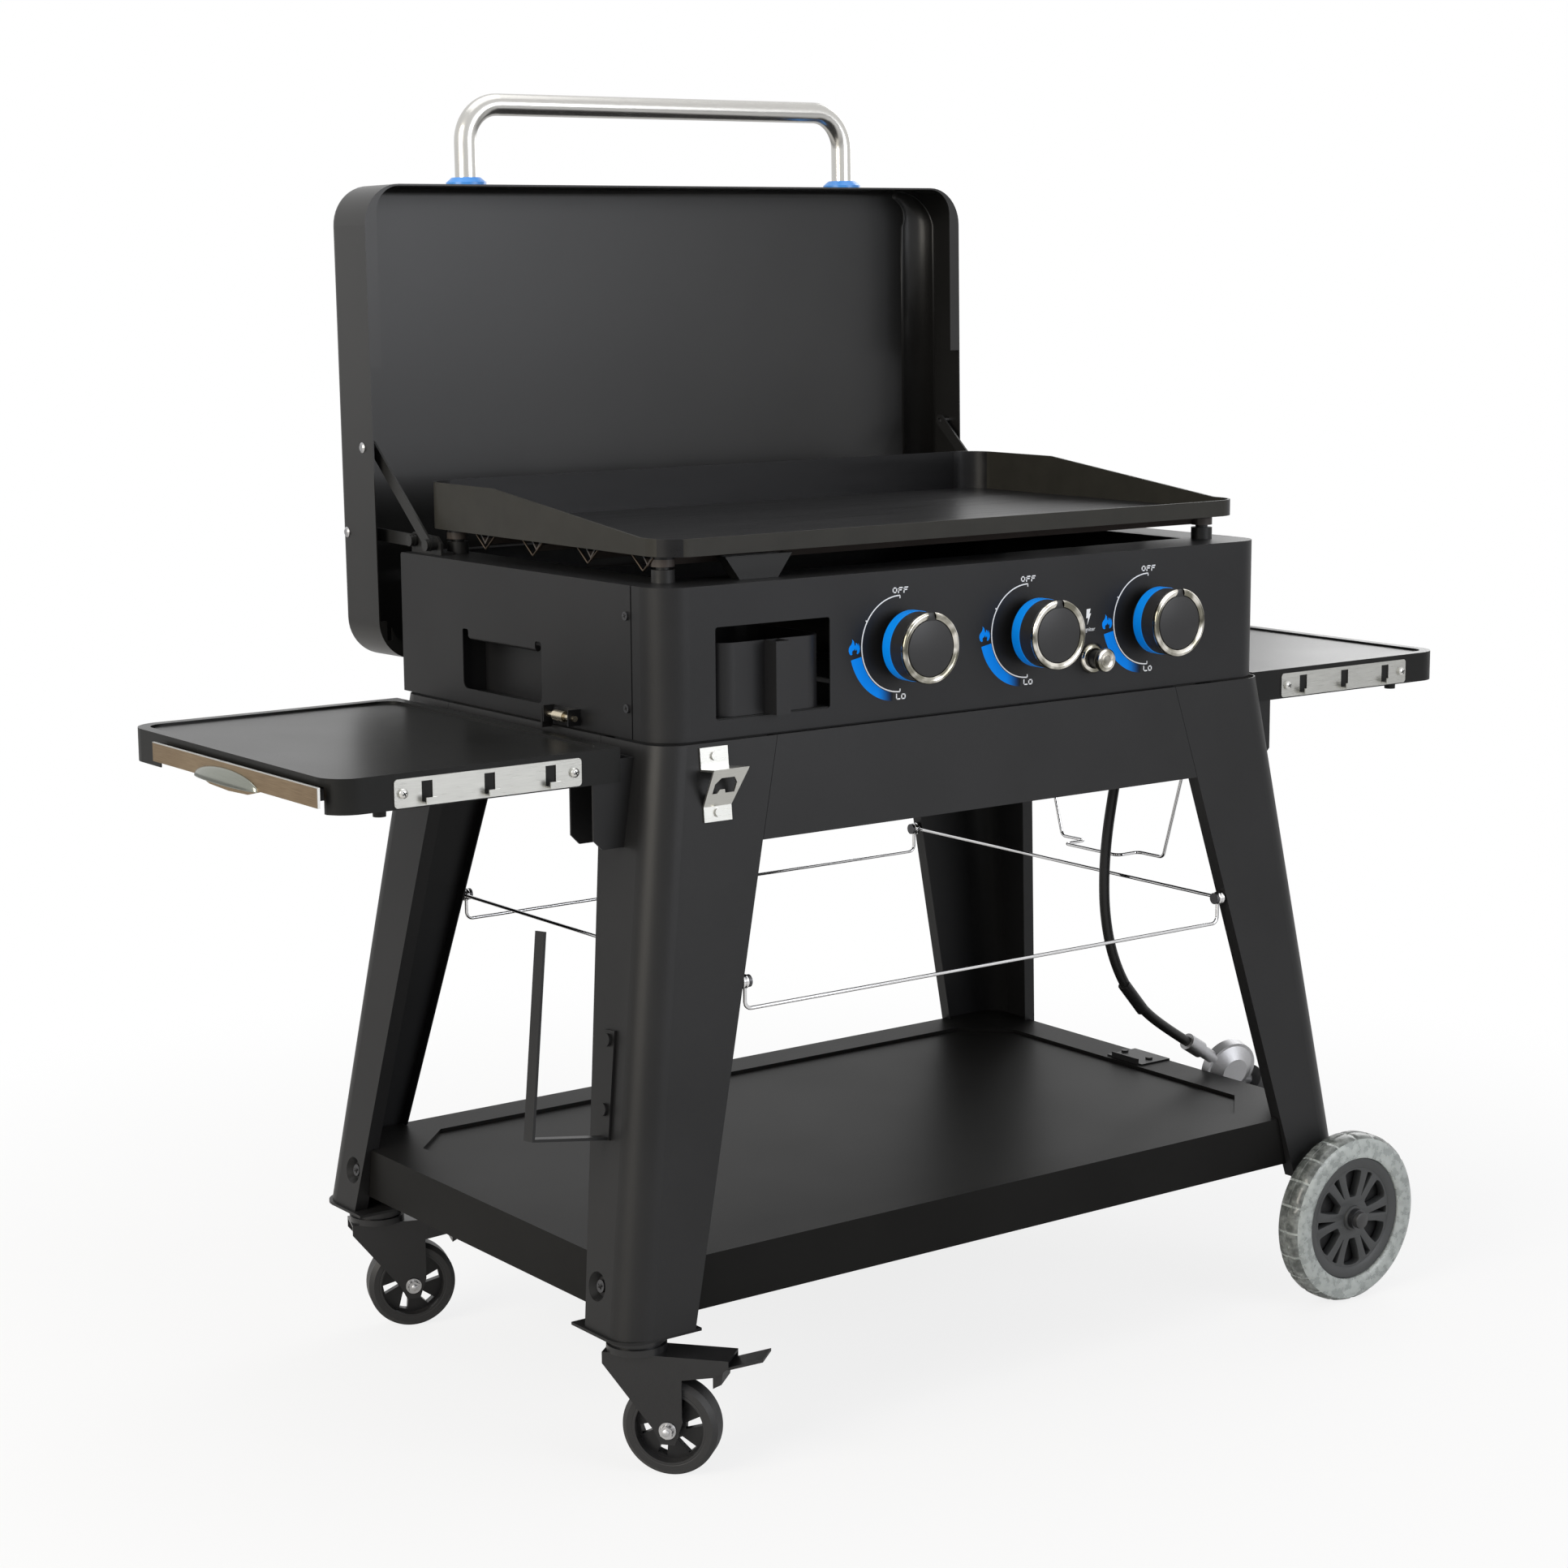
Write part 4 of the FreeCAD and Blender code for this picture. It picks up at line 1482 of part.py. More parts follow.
pocket(plate, rounded(plate, "XY_Plane", ("size.drain_x - size.drain_half", "size.plate_front + 12"),
                      ("size.drain_x + size.drain_half", "size.plate_front + 12 + size.drain_wide"),
                      "size.drain_wide / 2 - 0.1", "size.plate_low + size.plate_thick"),
       "size.plate_thick")
rib_y = "size.rib_first"
rib = pad(plate, outline(plate, "YZ_Plane", [
    (f"{rib_y} - size.rib_half", "size.plate_low"), (rib_y, "size.plate_low - size.rib_deep"),
    (f"{rib_y} + size.rib_half", "size.plate_low"),
    (f"{rib_y} + size.rib_half - size.rib_sheet * 1.4", "size.plate_low"),
    (rib_y, "size.plate_low - size.rib_deep + size.rib_sheet * 1.4"),
    (f"{rib_y} - size.rib_half + size.rib_sheet * 1.4", "size.plate_low")],
    f"-{px} + 12"), f"({px} - 12) * 2")
row_of(plate, [rib], "Y_Axis", "size.rib_pitch * 3", 4, backwards=True)
feet = [rod("foot_%d" % index, (x, y, "size.plate_low - size.foot_tall"), "z", "size.foot_radius",
            "size.foot_tall + 1")
        for index, (x, y) in enumerate((("-size.foot_x", "size.foot_front"), ("size.foot_x", "size.foot_front"),
                                        ("-size.foot_x", "size.foot_rear"), ("size.foot_x", "size.foot_rear")))]
finish("griddle_plate", fuse("griddle_plate", plate, *feet))

# Posts on the head's flanges, each with a pin that the foot rests on.
posts = []
for index, (x, y) in enumerate((("-size.foot_x", "size.foot_front"), ("size.foot_x", "size.foot_front"),
                                ("-size.foot_x", "size.foot_rear"), ("size.foot_x", "size.foot_rear"))):
    posts.append(fuse("post_%d" % index,
                      rod("post_base_%d" % index, (x, y, "size.head_top"), "z", "size.foot_radius",
                          "size.post_tall"),
                      rod("post_pin_%d" % index, (x, y, "size.head_top"), "z", "size.pin_radius",
                          "size.plate_low - size.foot_tall - size.head_top")))

# Grease chute: a short trough under the drain that empties into the cup.
chute_y = "(size.plate_front + 12 + size.drain_wide / 2)"
chute = new_body("grease_chute")
pad(chute, outline(chute, "XZ_Plane", [
    ("size.drain_x - size.chute_half", "size.chute_high"),
    ("size.drain_x - size.drain_half + 8", "size.head_top"),
    ("size.drain_x - size.drain_half + 8", "size.head_top - 14"),
    ("size.drain_x + size.drain_half - 8", "size.head_top - 14"),
    ("size.drain_x + size.drain_half - 8", "size.head_top"),
    ("size.drain_x + size.chute_half", "size.chute_high")], f"-{chute_y} - 8"), "16")
pocket(chute, outline(chute, "XZ_Plane", [
    ("size.drain_x - size.chute_half + 3", "size.chute_high + 1"),
    ("size.drain_x - size.drain_half + 8 + size.chute_wall", "size.head_top"),
    ("size.drain_x - size.drain_half + 8 + size.chute_wall", "size.head_top - 15"),
    ("size.drain_x + size.drain_half - 8 - size.chute_wall", "size.head_top - 15"),
    ("size.drain_x + size.drain_half - 8 - size.chute_wall", "size.head_top"),
    ("size.drain_x + size.chute_half - 3", "size.chute_high + 1")],
    f"-{chute_y} + 8 - size.chute_wall"), "16 - size.chute_wall * 2")
finish("grease_chute", chute)

# Grease cup: slides out of the window on a small tray, with a finger fin.
cup = new_body("grease_cup")
cup_left = "(size.window_left + size.cup_side_gap)"
cup_right = "(size.window_right - size.cup_side_gap)"
cup_low = "(size.window_low + size.shelf_rail)"
pad(cup, rounded(cup, "XY_Plane", (cup_left, "size.cup_front"), (cup_right, "size.cup_back"),
                 "size.cup_corner", cup_low), "size.cup_tall")
pocket(cup, rounded(cup, "XY_Plane", (f"{cup_left} + size.cup_wall", "size.cup_front + size.cup_wall"),
                    (f"{cup_right} - size.cup_wall", "size.cup_back - size.cup_wall"),
                    "size.cup_corner - size.cup_wall", f"{cup_low} + size.cup_tall"),
       "size.cup_tall - size.cup_wall")
fin_x = "((size.window_left + size.window_right) / 2)"
pad(cup, outline(cup, "XY_Plane", [
    (f"{fin_x} - size.fin_thick / 2", "size.cup_front + 1"),
    (f"{fin_x} - size.fin_thick / 2", "size.cup_front - size.fin_out"),
    (f"{fin_x} + size.fin_thick / 2", "size.cup_front - size.fin_out"),
    (f"{fin_x} + size.fin_thick / 2", "size.cup_front + 1")], cup_low), "size.cup_tall")
pocket(cup, outline(cup, "XY_Plane", [
    (f"{fin_x} - size.fin_thick / 2 + size.fin_sheet", "size.cup_front"),
    (f"{fin_x} - size.fin_thick / 2 + size.fin_sheet", "size.cup_front - size.fin_out + size.fin_sheet"),
    (f"{fin_x} + size.fin_thick / 2 - size.fin_sheet", "size.cup_front - size.fin_out + size.fin_sheet"),
    (f"{fin_x} + size.fin_thick / 2 - size.fin_sheet", "size.cup_front")],
    f"{cup_low} + size.cup_tall"), "size.cup_tall")
finish("grease_cup", cup)
cup_tray = box("cup_tray", (f"{cup_left} - 3", f"-{hy} + {wall}", "size.window_low - size.seat_gap"),
               (f"{cup_right} - {cup_left} + 6", f"size.cup_back + {hy} + 6", "size.shelf_rail"))
cup_legs = [box("cup_leg_%d" % index, (x, f"-{hy} + {wall} + 6", "size.leg_top + size.sheet_wall"),
                ("3", f"size.cup_back + {hy} - 6", "size.window_low - size.seat_gap - size.leg_top - size.sheet_wall"))
            for index, x in enumerate((f"{cup_left} + 6", f"{cup_right} - 9"))]
finish("inner_supports", rail, fuse("cup_tray_solid", cup_tray, *cup_legs))


# Lid: a deep pressed shell, modelled upright with its rim plane at y = 0 and its lower edge at z = 0.

lid_place = FreeCAD.Placement(V(0, size.lid_rim_y, size.lid_low), FreeCAD.Rotation(V(1, 0, 0), -size.lid_lean))
lx = "(size.lid_wide / 2)"
lw = "size.lid_wall"
inner_deep = "(size.lid_deep - size.lid_wall)"
inset = "size.lid_flange"


def pressed(name, margin, deep, edge):
    """A block with the lid's round corners and its rounded face, smaller by a margin all round."""
    form = new_body(name)
    pad(form, rounded(form, "XZ_Plane", (f"-{lx} + {margin}", margin), (f"{lx} - {margin}", f"size.lid_long - {margin}"),
                      f"size.lid_corner - {margin}", f"-{deep}"), deep)
    face = evaluate(deep)
    fillet(form, edge, lambda side: all(abs(corner.Y - face) < 0.01 for corner in side.Vertexes))
    return form


lid_tub = cut("lid_tub", pressed("lid_outside", "0", "size.lid_deep", "size.lid_edge"),
              pressed("lid_inside", lw, inner_deep, f"size.lid_edge - {lw}"))
lid_rim = new_body("lid_rim")
pad(lid_rim, rounded(lid_rim, "XZ_Plane", (f"-{lx} + {lw} / 2", f"{lw} / 2"),
                     (f"{lx} - {lw} / 2", f"size.lid_long - {lw} / 2"), f"size.lid_corner - {lw} / 2", f"-{lw}"), lw)
pocket(lid_rim, rounded(lid_rim, "XZ_Plane", (f"-{lx} + {inset}", inset),
                        (f"{lx} - {inset}", "size.lid_long - size.front_hem"), f"size.lid_corner - {inset}", "0"), lw)
for near, far, start, stop in (
        (f"-{lx} + {lw}", f"-{lx} + {inset} + 1", "size.lid_corner", "size.flange_stop"),
        (f"{lx} - {inset} - 1", f"{lx} - {lw}", "size.lid_corner", "size.flange_stop"),
        (f"-{lx} + size.lid_edge", f"-{lx} + {inset} + 1", "size.lid_corner / 2", "size.lid_corner + 1"),
        (f"{lx} - {inset} - 1", f"{lx} - size.lid_edge", "size.lid_corner / 2", "size.lid_corner + 1")):
    pocket(lid_rim, outline(lid_rim, "XZ_Plane", [(near, start), (far, start), (far, stop), (near, stop)], "0"), lw)


def on_lid(y, z):
    """A point of the open pose, as depth and height on the lid."""
    dy = f"({y} - size.lid_rim_y)"
    dz = f"({z} - size.lid_low)"
    return (f"({dy} * cos(size.lid_lean) - {dz} * sin(size.lid_lean))",
            f"({dy} * sin(size.lid_lean) + {dz} * cos(size.lid_lean))")


l1 = on_lid("size.l1_y", "size.l1_z")
l2 = on_lid("size.l2_y", "size.l2_z")
rivet_holes = [rod("rivet_hole_%d" % index, (f"-{lx} - 1", at[0], at[1]), "x", "size.rivet_radius",
                   "size.lid_wide + 2") for index, at in enumerate((l1, l2))]
finish("lid_shell", cut("lid_drilled", fuse("lid_sheet", lid_tub, lid_rim), *rivet_holes), placement=lid_place)

# Handle: a bright tube bent at both ends, standing on the lid's upper edge in two collars.
grip_z = size.lid_long + size.handle_rise - size.handle_radius
grip_path = wire_along([
    V(-size.handle_half, size.handle_inset, size.lid_long), V(-size.handle_half, size.handle_inset, grip_z),
    V(size.handle_half, size.handle_inset, grip_z), V(size.handle_half, size.handle_inset, size.lid_long)],
    size.handle_bend)
handle = tube_along(grip_path, size.handle_radius).cut(
    tube_along(grip_path, size.handle_radius - size.handle_wall))
finish("lid_handle", shaped("handle_tube", handle), placement=lid_place)
collars = []
for index, x in enumerate(("-size.handle_half", "size.handle_half")):
    collars.append(cut(
        "collar_%d" % index,
        fuse("collar_solid_%d" % index,
             rod("collar_base_%d" % index, (x, "size.handle_inset", "size.lid_long"), "z",
                 "size.collar_radius", "size.collar_tall * 0.4"),
             cone("collar_dome_%d" % index, (x, "size.handle_inset", "size.lid_long + size.collar_tall * 0.4"),
                  "z", "size.collar_radius", "size.collar_radius * 0.72", "size.collar_tall * 0.6")),
        rod("collar_bore_%d" % index, (x, "size.handle_inset", "size.lid_long - 1"), "z",
            "size.handle_radius", "size.collar_tall + 2")))

# Rivets: the lower one carries the short link; the upper one stops short of the long link.
short_out = "(size.short_link_x + size.link_thick)"
long_out = "(size.long_link_x + size.link_thick)"


def dome(name, at):
    """A rivet's head outside the lid's right-hand wall."""
    return fuse(name,
                rod(name + "_rim", (lx, at[0], at[1]), "x", "size.rivet_head", "size.rivet_dome * 0.4"),
                cone(name + "_top", (f"{lx} + size.rivet_dome * 0.4", at[0], at[1]), "x", "size.rivet_head",
                     "size.rivet_head * 0.6", "size.rivet_dome * 0.6"))


lower_rivet = fuse(
    "lower_rivet", dome("lower_dome", l1),
    rod("lower_shank", ("size.short_link_x - size.seat_gap - 1.2", l1[0], l1[1]), "x", "size.rivet_radius",
        f"{lx} - size.short_link_x + size.seat_gap + 1.3"),
    rod("lower_sleeve", (f"{short_out} + size.seat_gap", l1[0], l1[1]), "x", "size.rivet_radius + 2",
        f"{lx} - {lw} - {short_out} - size.seat_gap"),
    rod("lower_washer", ("size.short_link_x - size.seat_gap - 1.2", l1[0], l1[1]), "x",
        "size.rivet_radius + 2", "1.2"))
upper_rivet = fuse(
    "upper_rivet", dome("upper_dome", l2),
    rod("upper_shank", (f"{long_out} + size.seat_gap", l2[0], l2[1]), "x", "size.rivet_radius",
        f"{lx} - {long_out} - size.seat_gap + 0.1"))
rivet_pair = group("rivet_pair", lower_rivet, upper_rivet)
finish("lid_fittings", *collars, rivet_pair, mirror("rivet_pair_left", rivet_pair, V(1, 0, 0)), placement=lid_place)


# Lid links: flat bars that swing beside the griddle plate, two on each side.

def link_bar(x, first, second, first_hole, second_hole):
    """A bar with round ends between two pivots, given as (y, z)."""
    a, b = V(x, *first), V(x, *second)
    along = (b - a).normalize()
    across = along.cross(V(1, 0, 0)) * size.link_half
    ends = [a + across, b + across, b - across, a - across]
    rim_wire = Part.Wire([
        Part.LineSegment(ends[0], ends[1]).toShape(),
        Part.Arc(ends[1], b + along * size.link_half, ends[2]).toShape(),
        Part.LineSegment(ends[2], ends[3]).toShape(),
        Part.Arc(ends[3], a - along * size.link_half, ends[0]).toShape()])
    bar = Part.Face(rim_wire).extrude(V(size.link_thick, 0, 0))
    holes = [Part.makeCylinder(radius, size.link_thick + 2, centre - V(1, 0, 0), V(1, 0, 0))
             for centre, radius in ((a, first_hole), (b, second_hole))]
    return bar.cut(holes)


pivot_hole_radius = size.pivot_radius + size.running_gap
rivet_hole_radius = size.rivet_radius + size.running_gap
short_link = shaped("short_link", link_bar(
    size.short_link_x, (size.g1_y, size.g1_z), (size.l1_y, size.l1_z), pivot_hole_radius, rivet_hole_radius))
long_link = shaped("long_link", link_bar(
    size.long_link_x, (size.g2_y, size.g2_z), (size.l2_y, size.l2_z), pivot_hole_radius, rivet_hole_radius))
finish("short_links", short_link, mirror("short_link_left", short_link, V(1, 0, 0)))
finish("long_links", long_link, mirror("long_link_left", long_link, V(1, 0, 0)))

# Hinge brackets on the head, and the bolts that the links turn on.
hinge_x = "size.hinge_plate_x"
hinge_back = f"({hy} - 2)"
hinge = new_body("hinge_bracket")
pad(hinge, outline(hinge, "YZ_Plane", [
    ("size.hinge_front", "size.head_top"), (hinge_back, "size.head_top"),
    (hinge_back, "size.g1_z + size.link_half"), ("size.g1_y + 4", "size.g1_z + size.link_half + 2"),
    ("size.g2_y - 4", "size.g2_z + size.link_half + 2"), ("size.hinge_front", "size.g2_z + 2")], hinge_x),
    "size.hinge_plate_thick")
pad(hinge, outline(hinge, "XY_Plane", [
    (f"{hinge_x} - size.hinge_foot", "size.hinge_front"), (f"{hinge_x} + 1", "size.hinge_front"),
    (f"{hinge_x} + 1", hinge_back), (f"{hinge_x} - size.hinge_foot", hinge_back)], "size.head_top"),
    "size.hinge_plate_thick")
bolt_holes = [rod("bolt_hole_%d" % index, (f"{hinge_x} - 1", y, z), "x", "size.pivot_radius",
                  "size.hinge_plate_thick + 2")
              for index, (y, z) in enumerate((("size.g1_y", "size.g1_z"), ("size.g2_y", "size.g2_z")))]
hinge_solid = cut("hinge_solid", hinge, *bolt_holes)


def pivot_bolt(name, y, z, outside, collar_to):
    """A shoulder bolt in the bracket; the link turns between its shoulder and its head."""
    head_at = f"({outside} + size.seat_gap)"
    plate_out = f"({hinge_x} + size.hinge_plate_thick)"
    return fuse(
        name,
        rod(name + "_shank", (hinge_x, y, z), "x", "size.pivot_radius", f"{head_at} - {hinge_x} + 1"),
        rod(name + "_shoulder", (plate_out, y, z), "x", "size.pivot_radius + 2",
            f"{collar_to} - size.seat_gap - {plate_out}"),
        rod(name + "_head", (head_at, y, z), "x", "size.pivot_head", "size.pivot_head_thick"))


bolt_one = pivot_bolt("short_bolt", "size.g1_y", "size.g1_z", short_out, "size.short_link_x")
bolt_two = pivot_bolt("long_bolt", "size.g2_y", "size.g2_z", long_out, "size.long_link_x")
bolt_pair = group("bolt_pair", bolt_one, bolt_two)
finish("head_fittings", hinge_solid, mirror("hinge_left", hinge_solid, V(1, 0, 0)), bolt_pair,
       mirror("bolt_pair_left", bolt_pair, V(1, 0, 0)), *posts)

# Latches: a bracket with two ears on each side, and a sprung pin that locks into the catch.
latch_x = hx
pin_x = f"({hx} + size.latch_pin_out)"
latch = new_body("latch_bracket")
pad(latch, outline(latch, "XY_Plane", [
    (f"{latch_x} + size.latch_ear", "size.latch_front"), (latch_x, "size.latch_front"),
    (latch_x, "size.latch_back"), (f"{latch_x} + size.latch_ear", "size.latch_back"),
    (f"{latch_x} + size.latch_ear", "size.latch_back - size.latch_sheet"),
    (f"{latch_x} + size.latch_sheet", "size.latch_back - size.latch_sheet"),
    (f"{latch_x} + size.latch_sheet", "size.latch_front + size.latch_sheet"),
    (f"{latch_x} + size.latch_ear", "size.latch_front + size.latch_sheet")], "size.latch_low"),
    "size.latch_high - size.latch_low")
latch_solid = cut("latch_solid", latch,
                  rod("latch_bore", (pin_x, "size.latch_front - 1", "size.latch_pin_z"), "y",
                      "size.latch_pin + size.running_gap", "size.latch_back - size.latch_front + 2"))
finish("latch_brackets", latch_solid, mirror("latch_left", latch_solid, V(1, 0, 0)))
pin_rear = "(size.latch_back + size.latch_reach)"
pin_front = "(size.latch_front - size.latch_stub)"
latch_pin = fuse(
    "latch_pin_form",
    rod("latch_pin_bar", (pin_x, pin_front, "size.latch_pin_z"), "y", "size.latch_pin", f"{pin_rear} - {pin_front}"),
    rod("latch_pin_grip", (pin_x, "size.latch_grip_front", "size.latch_pin_z"), "y", "size.latch_head",
        "size.latch_grip_rear - size.latch_grip_front"))
finish("latch_pin_right", latch_pin)
finish("latch_pin_left", mirror("latch_pin_left", latch_pin, V(1, 0, 0)))


# Accessories on the cart. Each is modelled flat and leans with the leg that carries it.

front_lean = math.degrees(math.atan((size.leg_foot_y - size.leg_top_y) / (size.leg_top - size.leg_foot)))
side_lean = math.degrees(math.atan((size.leg_foot_x - size.leg_top_x) / (size.leg_top - size.leg_foot)))


def value_at(name, z):
    """A leg measure at a height, as a number."""
    return evaluate(at_height(name, str(z)))


# Bottle opener: a bright plate whose middle is bent out over an opening.
opener_mid_z = (size.opener_high + size.opener_low) / 2
opener_half = "((size.opener_high - size.opener_low) / 2)"
opener_wide = "(size.opener_right - size.opener_left)"
opener_full = f"({opener_wide} + size.opener_flare)"
sheet_of = "size.opener_thick"
opener = new_body("opener_strip")
pad(opener, outline(opener, "YZ_Plane", [
    ("0", opener_half), (f"-{sheet_of}", opener_half), (f"-{sheet_of}", "size.opener_ledge"),
    ("-size.opener_reach", "size.opener_ledge"), (f"-{sheet_of}", "-size.opener_foot"),
    (f"-{sheet_of}", f"-{opener_half}"), ("0", f"-{opener_half}"), ("0", f"-size.opener_foot + {sheet_of} / 2"),
    (f"-size.opener_reach + {sheet_of} * 1.7", f"size.opener_ledge - {sheet_of}"),
    ("0", f"size.opener_ledge - {sheet_of}")]), opener_full)
pocket(opener, outline(opener, "XZ_Plane", [
    (opener_wide, "size.opener_ledge"), (f"{opener_full} + 1", "size.opener_ledge"),
    (f"{opener_full} + 1", f"{opener_half} + 1"), (opener_wide, f"{opener_half} + 1")],
    "size.opener_reach + 1"), "size.opener_reach + 2")
pocket(opener, outline(opener, "XZ_Plane", [
    (opener_wide, f"-{opener_half} - 1"), (f"{opener_full} + 1", f"-{opener_half} - 1"),
    (f"{opener_full} + 1", f"size.opener_ledge - {sheet_of}"), (opener_full, f"size.opener_ledge - {sheet_of}"),
    (opener_wide, "-size.opener_foot")], "size.opener_reach + 1"), "size.opener_reach + 2")
mouth_low, mouth_high = "-size.opener_mouth / 2 - 1", "size.opener_mouth / 2 - 1"
pocket(opener, outline(opener, "XZ_Plane", [
    ("size.opener_edge", mouth_low), (f"{opener_wide} / 2 - 5", mouth_low),
    (f"{opener_wide} / 2 - 3", f"{mouth_low} + size.opener_tooth"),
    (f"{opener_wide} / 2 + 3", f"{mouth_low} + size.opener_tooth"), (f"{opener_wide} / 2 + 5", mouth_low),
    (f"{opener_wide} - 1", mouth_low), (f"{opener_wide} - 1", f"{mouth_high} - size.opener_edge"),
    (f"{opener_wide} - size.opener_edge", mouth_high), ("size.opener_edge * 2", mouth_high),
    ("size.opener_edge", f"{mouth_high} - size.opener_edge")], "size.opener_reach + 1"), "size.opener_reach + 2")
opener_place = FreeCAD.Placement(
    V(size.opener_left, -value_at("y", opener_mid_z) - size.seat_gap / 3, opener_mid_z),
    FreeCAD.Rotation(V(1, 0, 0), -front_lean))
opener_screws = [rod("opener_screw_%d" % index, (f"{opener_wide} / 2", "-size.opener_thick - size.screw_head_thick",
                                                 f"{sign} * ({opener_half} - size.screw_head * 2)"), "y",
                     "size.screw_head", "size.screw_head_thick") for index, sign in enumerate((-1, 1))]
finish("bottle_opener", opener, *opener_screws, placement=opener_place)

# Towel bar: a plate on the leg, an arm out and an upright strip.
towel_tall = "(size.towel_high - size.towel_low)"
towel_bar = fuse(
    "towel_bar",
    box("towel_plate", ("0", "-size.towel_wide / 2", "0"), ("size.towel_sheet", "size.towel_wide", towel_tall)),
    box("towel_arm", ("0", "-size.towel_strip / 2", "0"), ("size.towel_reach", "size.towel_strip", "size.towel_sheet")),
    box("towel_upright", ("size.towel_reach - size.towel_sheet", "-size.towel_strip / 2", "0"),
        ("size.towel_sheet", "size.towel_strip", "size.towel_tall")))
towel_screws = [rod("towel_screw_%d" % index, ("size.towel_sheet", "0", z), "x", "size.bolt_head",
                    "size.bolt_head_thick") for index, z in enumerate(("30", f"{towel_tall} - 10"))]
slope = math.radians(side_lean)
towel_turn = FreeCAD.Rotation(V(-math.cos(slope), 0, math.sin(slope)), V(0, -1, 0),
                              V(math.sin(slope), 0, math.cos(slope)), "ZXY")
towel_turn = towel_turn.multiply(FreeCAD.Rotation(V(1, 0, 0), front_lean))
towel_place = FreeCAD.Placement(
    V(-value_at("x", size.towel_low) - size.seat_gap / 3,
      -value_at("flange_y", size.towel_low) - size.towel_inset * 2, size.towel_low), towel_turn)
finish("towel_bar", towel_bar, *towel_screws, placement=towel_place)

# Tank stop: a bent plate over the lower shelf's right edge.
tank_stop = fuse(
    "tank_stop",
    box("stop_plate", ("size.stop_x", "size.stop_front", "size.shelf_top"),
        ("size.shelf_half_x - size.stop_x + size.stop_thick", "size.stop_rear - size.stop_front", "size.stop_thick")),
    box("stop_turn_down", ("size.shelf_half_x", "size.stop_front", "size.shelf_top - size.stop_turn"),
        ("size.stop_thick", "size.stop_rear - size.stop_front", "size.stop_turn + 1")),
    box("stop_step", ("size.stop_x", "size.stop_front + 8", "size.shelf_top"),
        ("size.stop_thick", "size.stop_rear - size.stop_front - 16", "7")))
stop_screws = [rod("stop_screw_%d" % index, ("size.shelf_half_x - 20", y, "size.shelf_top + size.stop_thick"), "z",
                   "size.screw_head", "size.screw_head_thick")
               for index, y in enumerate(("size.stop_front + 14", "size.stop_rear - 5"))]
finish("tank_stop", tank_stop, *stop_screws)

# Tank hanger: a wire between the right-hand legs with a loop that takes the tank's collar.
hang_top = size.side_apron_low + size.hanger_into_apron
hang_x = value_at("x", hang_top) - size.sheet_wall - size.wire - size.running_gap
rise = (size.hanger_top_y - size.hanger_low_y) / (size.hanger_top_z - size.hanger_low_z)
hang_y = size.hanger_low_y + rise * (hang_top - size.hanger_low_z)
hanger_points = []
for side_sign in (1, -1):
    branch = [V(hang_x, side_sign * hang_y, hang_top), V(hang_x, side_sign * size.hanger_low_y, size.hanger_low_z),
              V(hang_x, side_sign * size.hanger_hook_y, size.hanger_low_z),
              V(hang_x - size.hanger_loop, side_sign * size.hanger_hook_y, size.hanger_low_z)]
    hanger_points += branch if side_sign > 0 else branch[::-1]
finish("tank_hanger", shaped("tank_hanger", tube_along(wire_along(hanger_points, size.wire_bend), size.wire)))


# Gas hose: it hangs from the inlet and carries the regulator.

HOSE_ROUTE = [
    (352, -100, 716), (352, -100, 676), (341, -100, 632), (330, -101, 586), (321, -101, 539), (317, -101, 491),
    (320, -100, 443), (331, -100, 396), (352, -100, 353), (383, -100, 317), (420.5, -100, 289), (457.5, -100, 266),
]


def cord_path(points):
    """Straight runs joined by arcs, each as large as its two runs allow."""
    bends = []
    for before, corner, after in zip(points, points[1:], points[2:]):
        turn = math.pi - (before - corner).getAngle(after - corner)
        run = min((corner - before).Length, (after - corner).Length)
        bends.append(0.45 * run / math.tan(turn / 2))
    return wire_along(points, bends), bends


hose_points = [V(*point) for point in HOSE_ROUTE]
hose_points[0] = V(size.manifold_right, size.inlet_y, size.inlet_low)
hose_wire, hose_bends = cord_path(hose_points)
hose_solid = tube_along(hose_wire, size.hose_radius)
print("hose bends", [round(bend) for bend in hose_bends])
print("hose volume over section times length",
      round(hose_solid.Volume / (math.pi * size.hose_radius ** 2 * hose_wire.Length), 4))
finish("gas_hose", shaped("gas_hose", hose_solid))

sleeve_start, sleeve_end = hose_points[8], hose_points[9]
sleeve_run = sleeve_end - sleeve_start
sleeve = Part.makeCylinder(size.sleeve_radius, sleeve_run.Length, sleeve_start, sleeve_run)
finish("hose_sleeve", shaped("hose_sleeve", sleeve.cut(hose_solid)))

# Regulator: a round body between the hose's fitting and the tank's coupling nut.
hose_end = hose_points[-1]
hose_ahead = (hose_points[-1] - hose_points[-2]).normalize()
fitting_long = 26
disc_centre = hose_end + hose_ahead * (fitting_long + size.regulator_radius + 22)
facing = V(-0.58, -0.79, 0.1)
facing = (facing - hose_ahead * facing.dot(hose_ahead)).normalize()
disc = Part.makeCylinder(size.regulator_radius, size.regulator_thick * 0.5,
                         disc_centre - facing * size.regulator_thick * 0.25, facing)
dome_front = Part.makeCone(size.regulator_radius * 0.9, size.regulator_radius * 0.5, size.regulator_thick * 0.35,
                           disc_centre + facing * size.regulator_thick * 0.25, facing)
dome_back = Part.makeCone(size.regulator_radius * 0.9, size.regulator_radius * 0.5, size.regulator_thick * 0.35,
                          disc_centre - facing * size.regulator_thick * 0.25, -facing)
barrel = Part.makeCylinder(size.hose_radius + 1.5, fitting_long + 30, hose_end, hose_ahead)
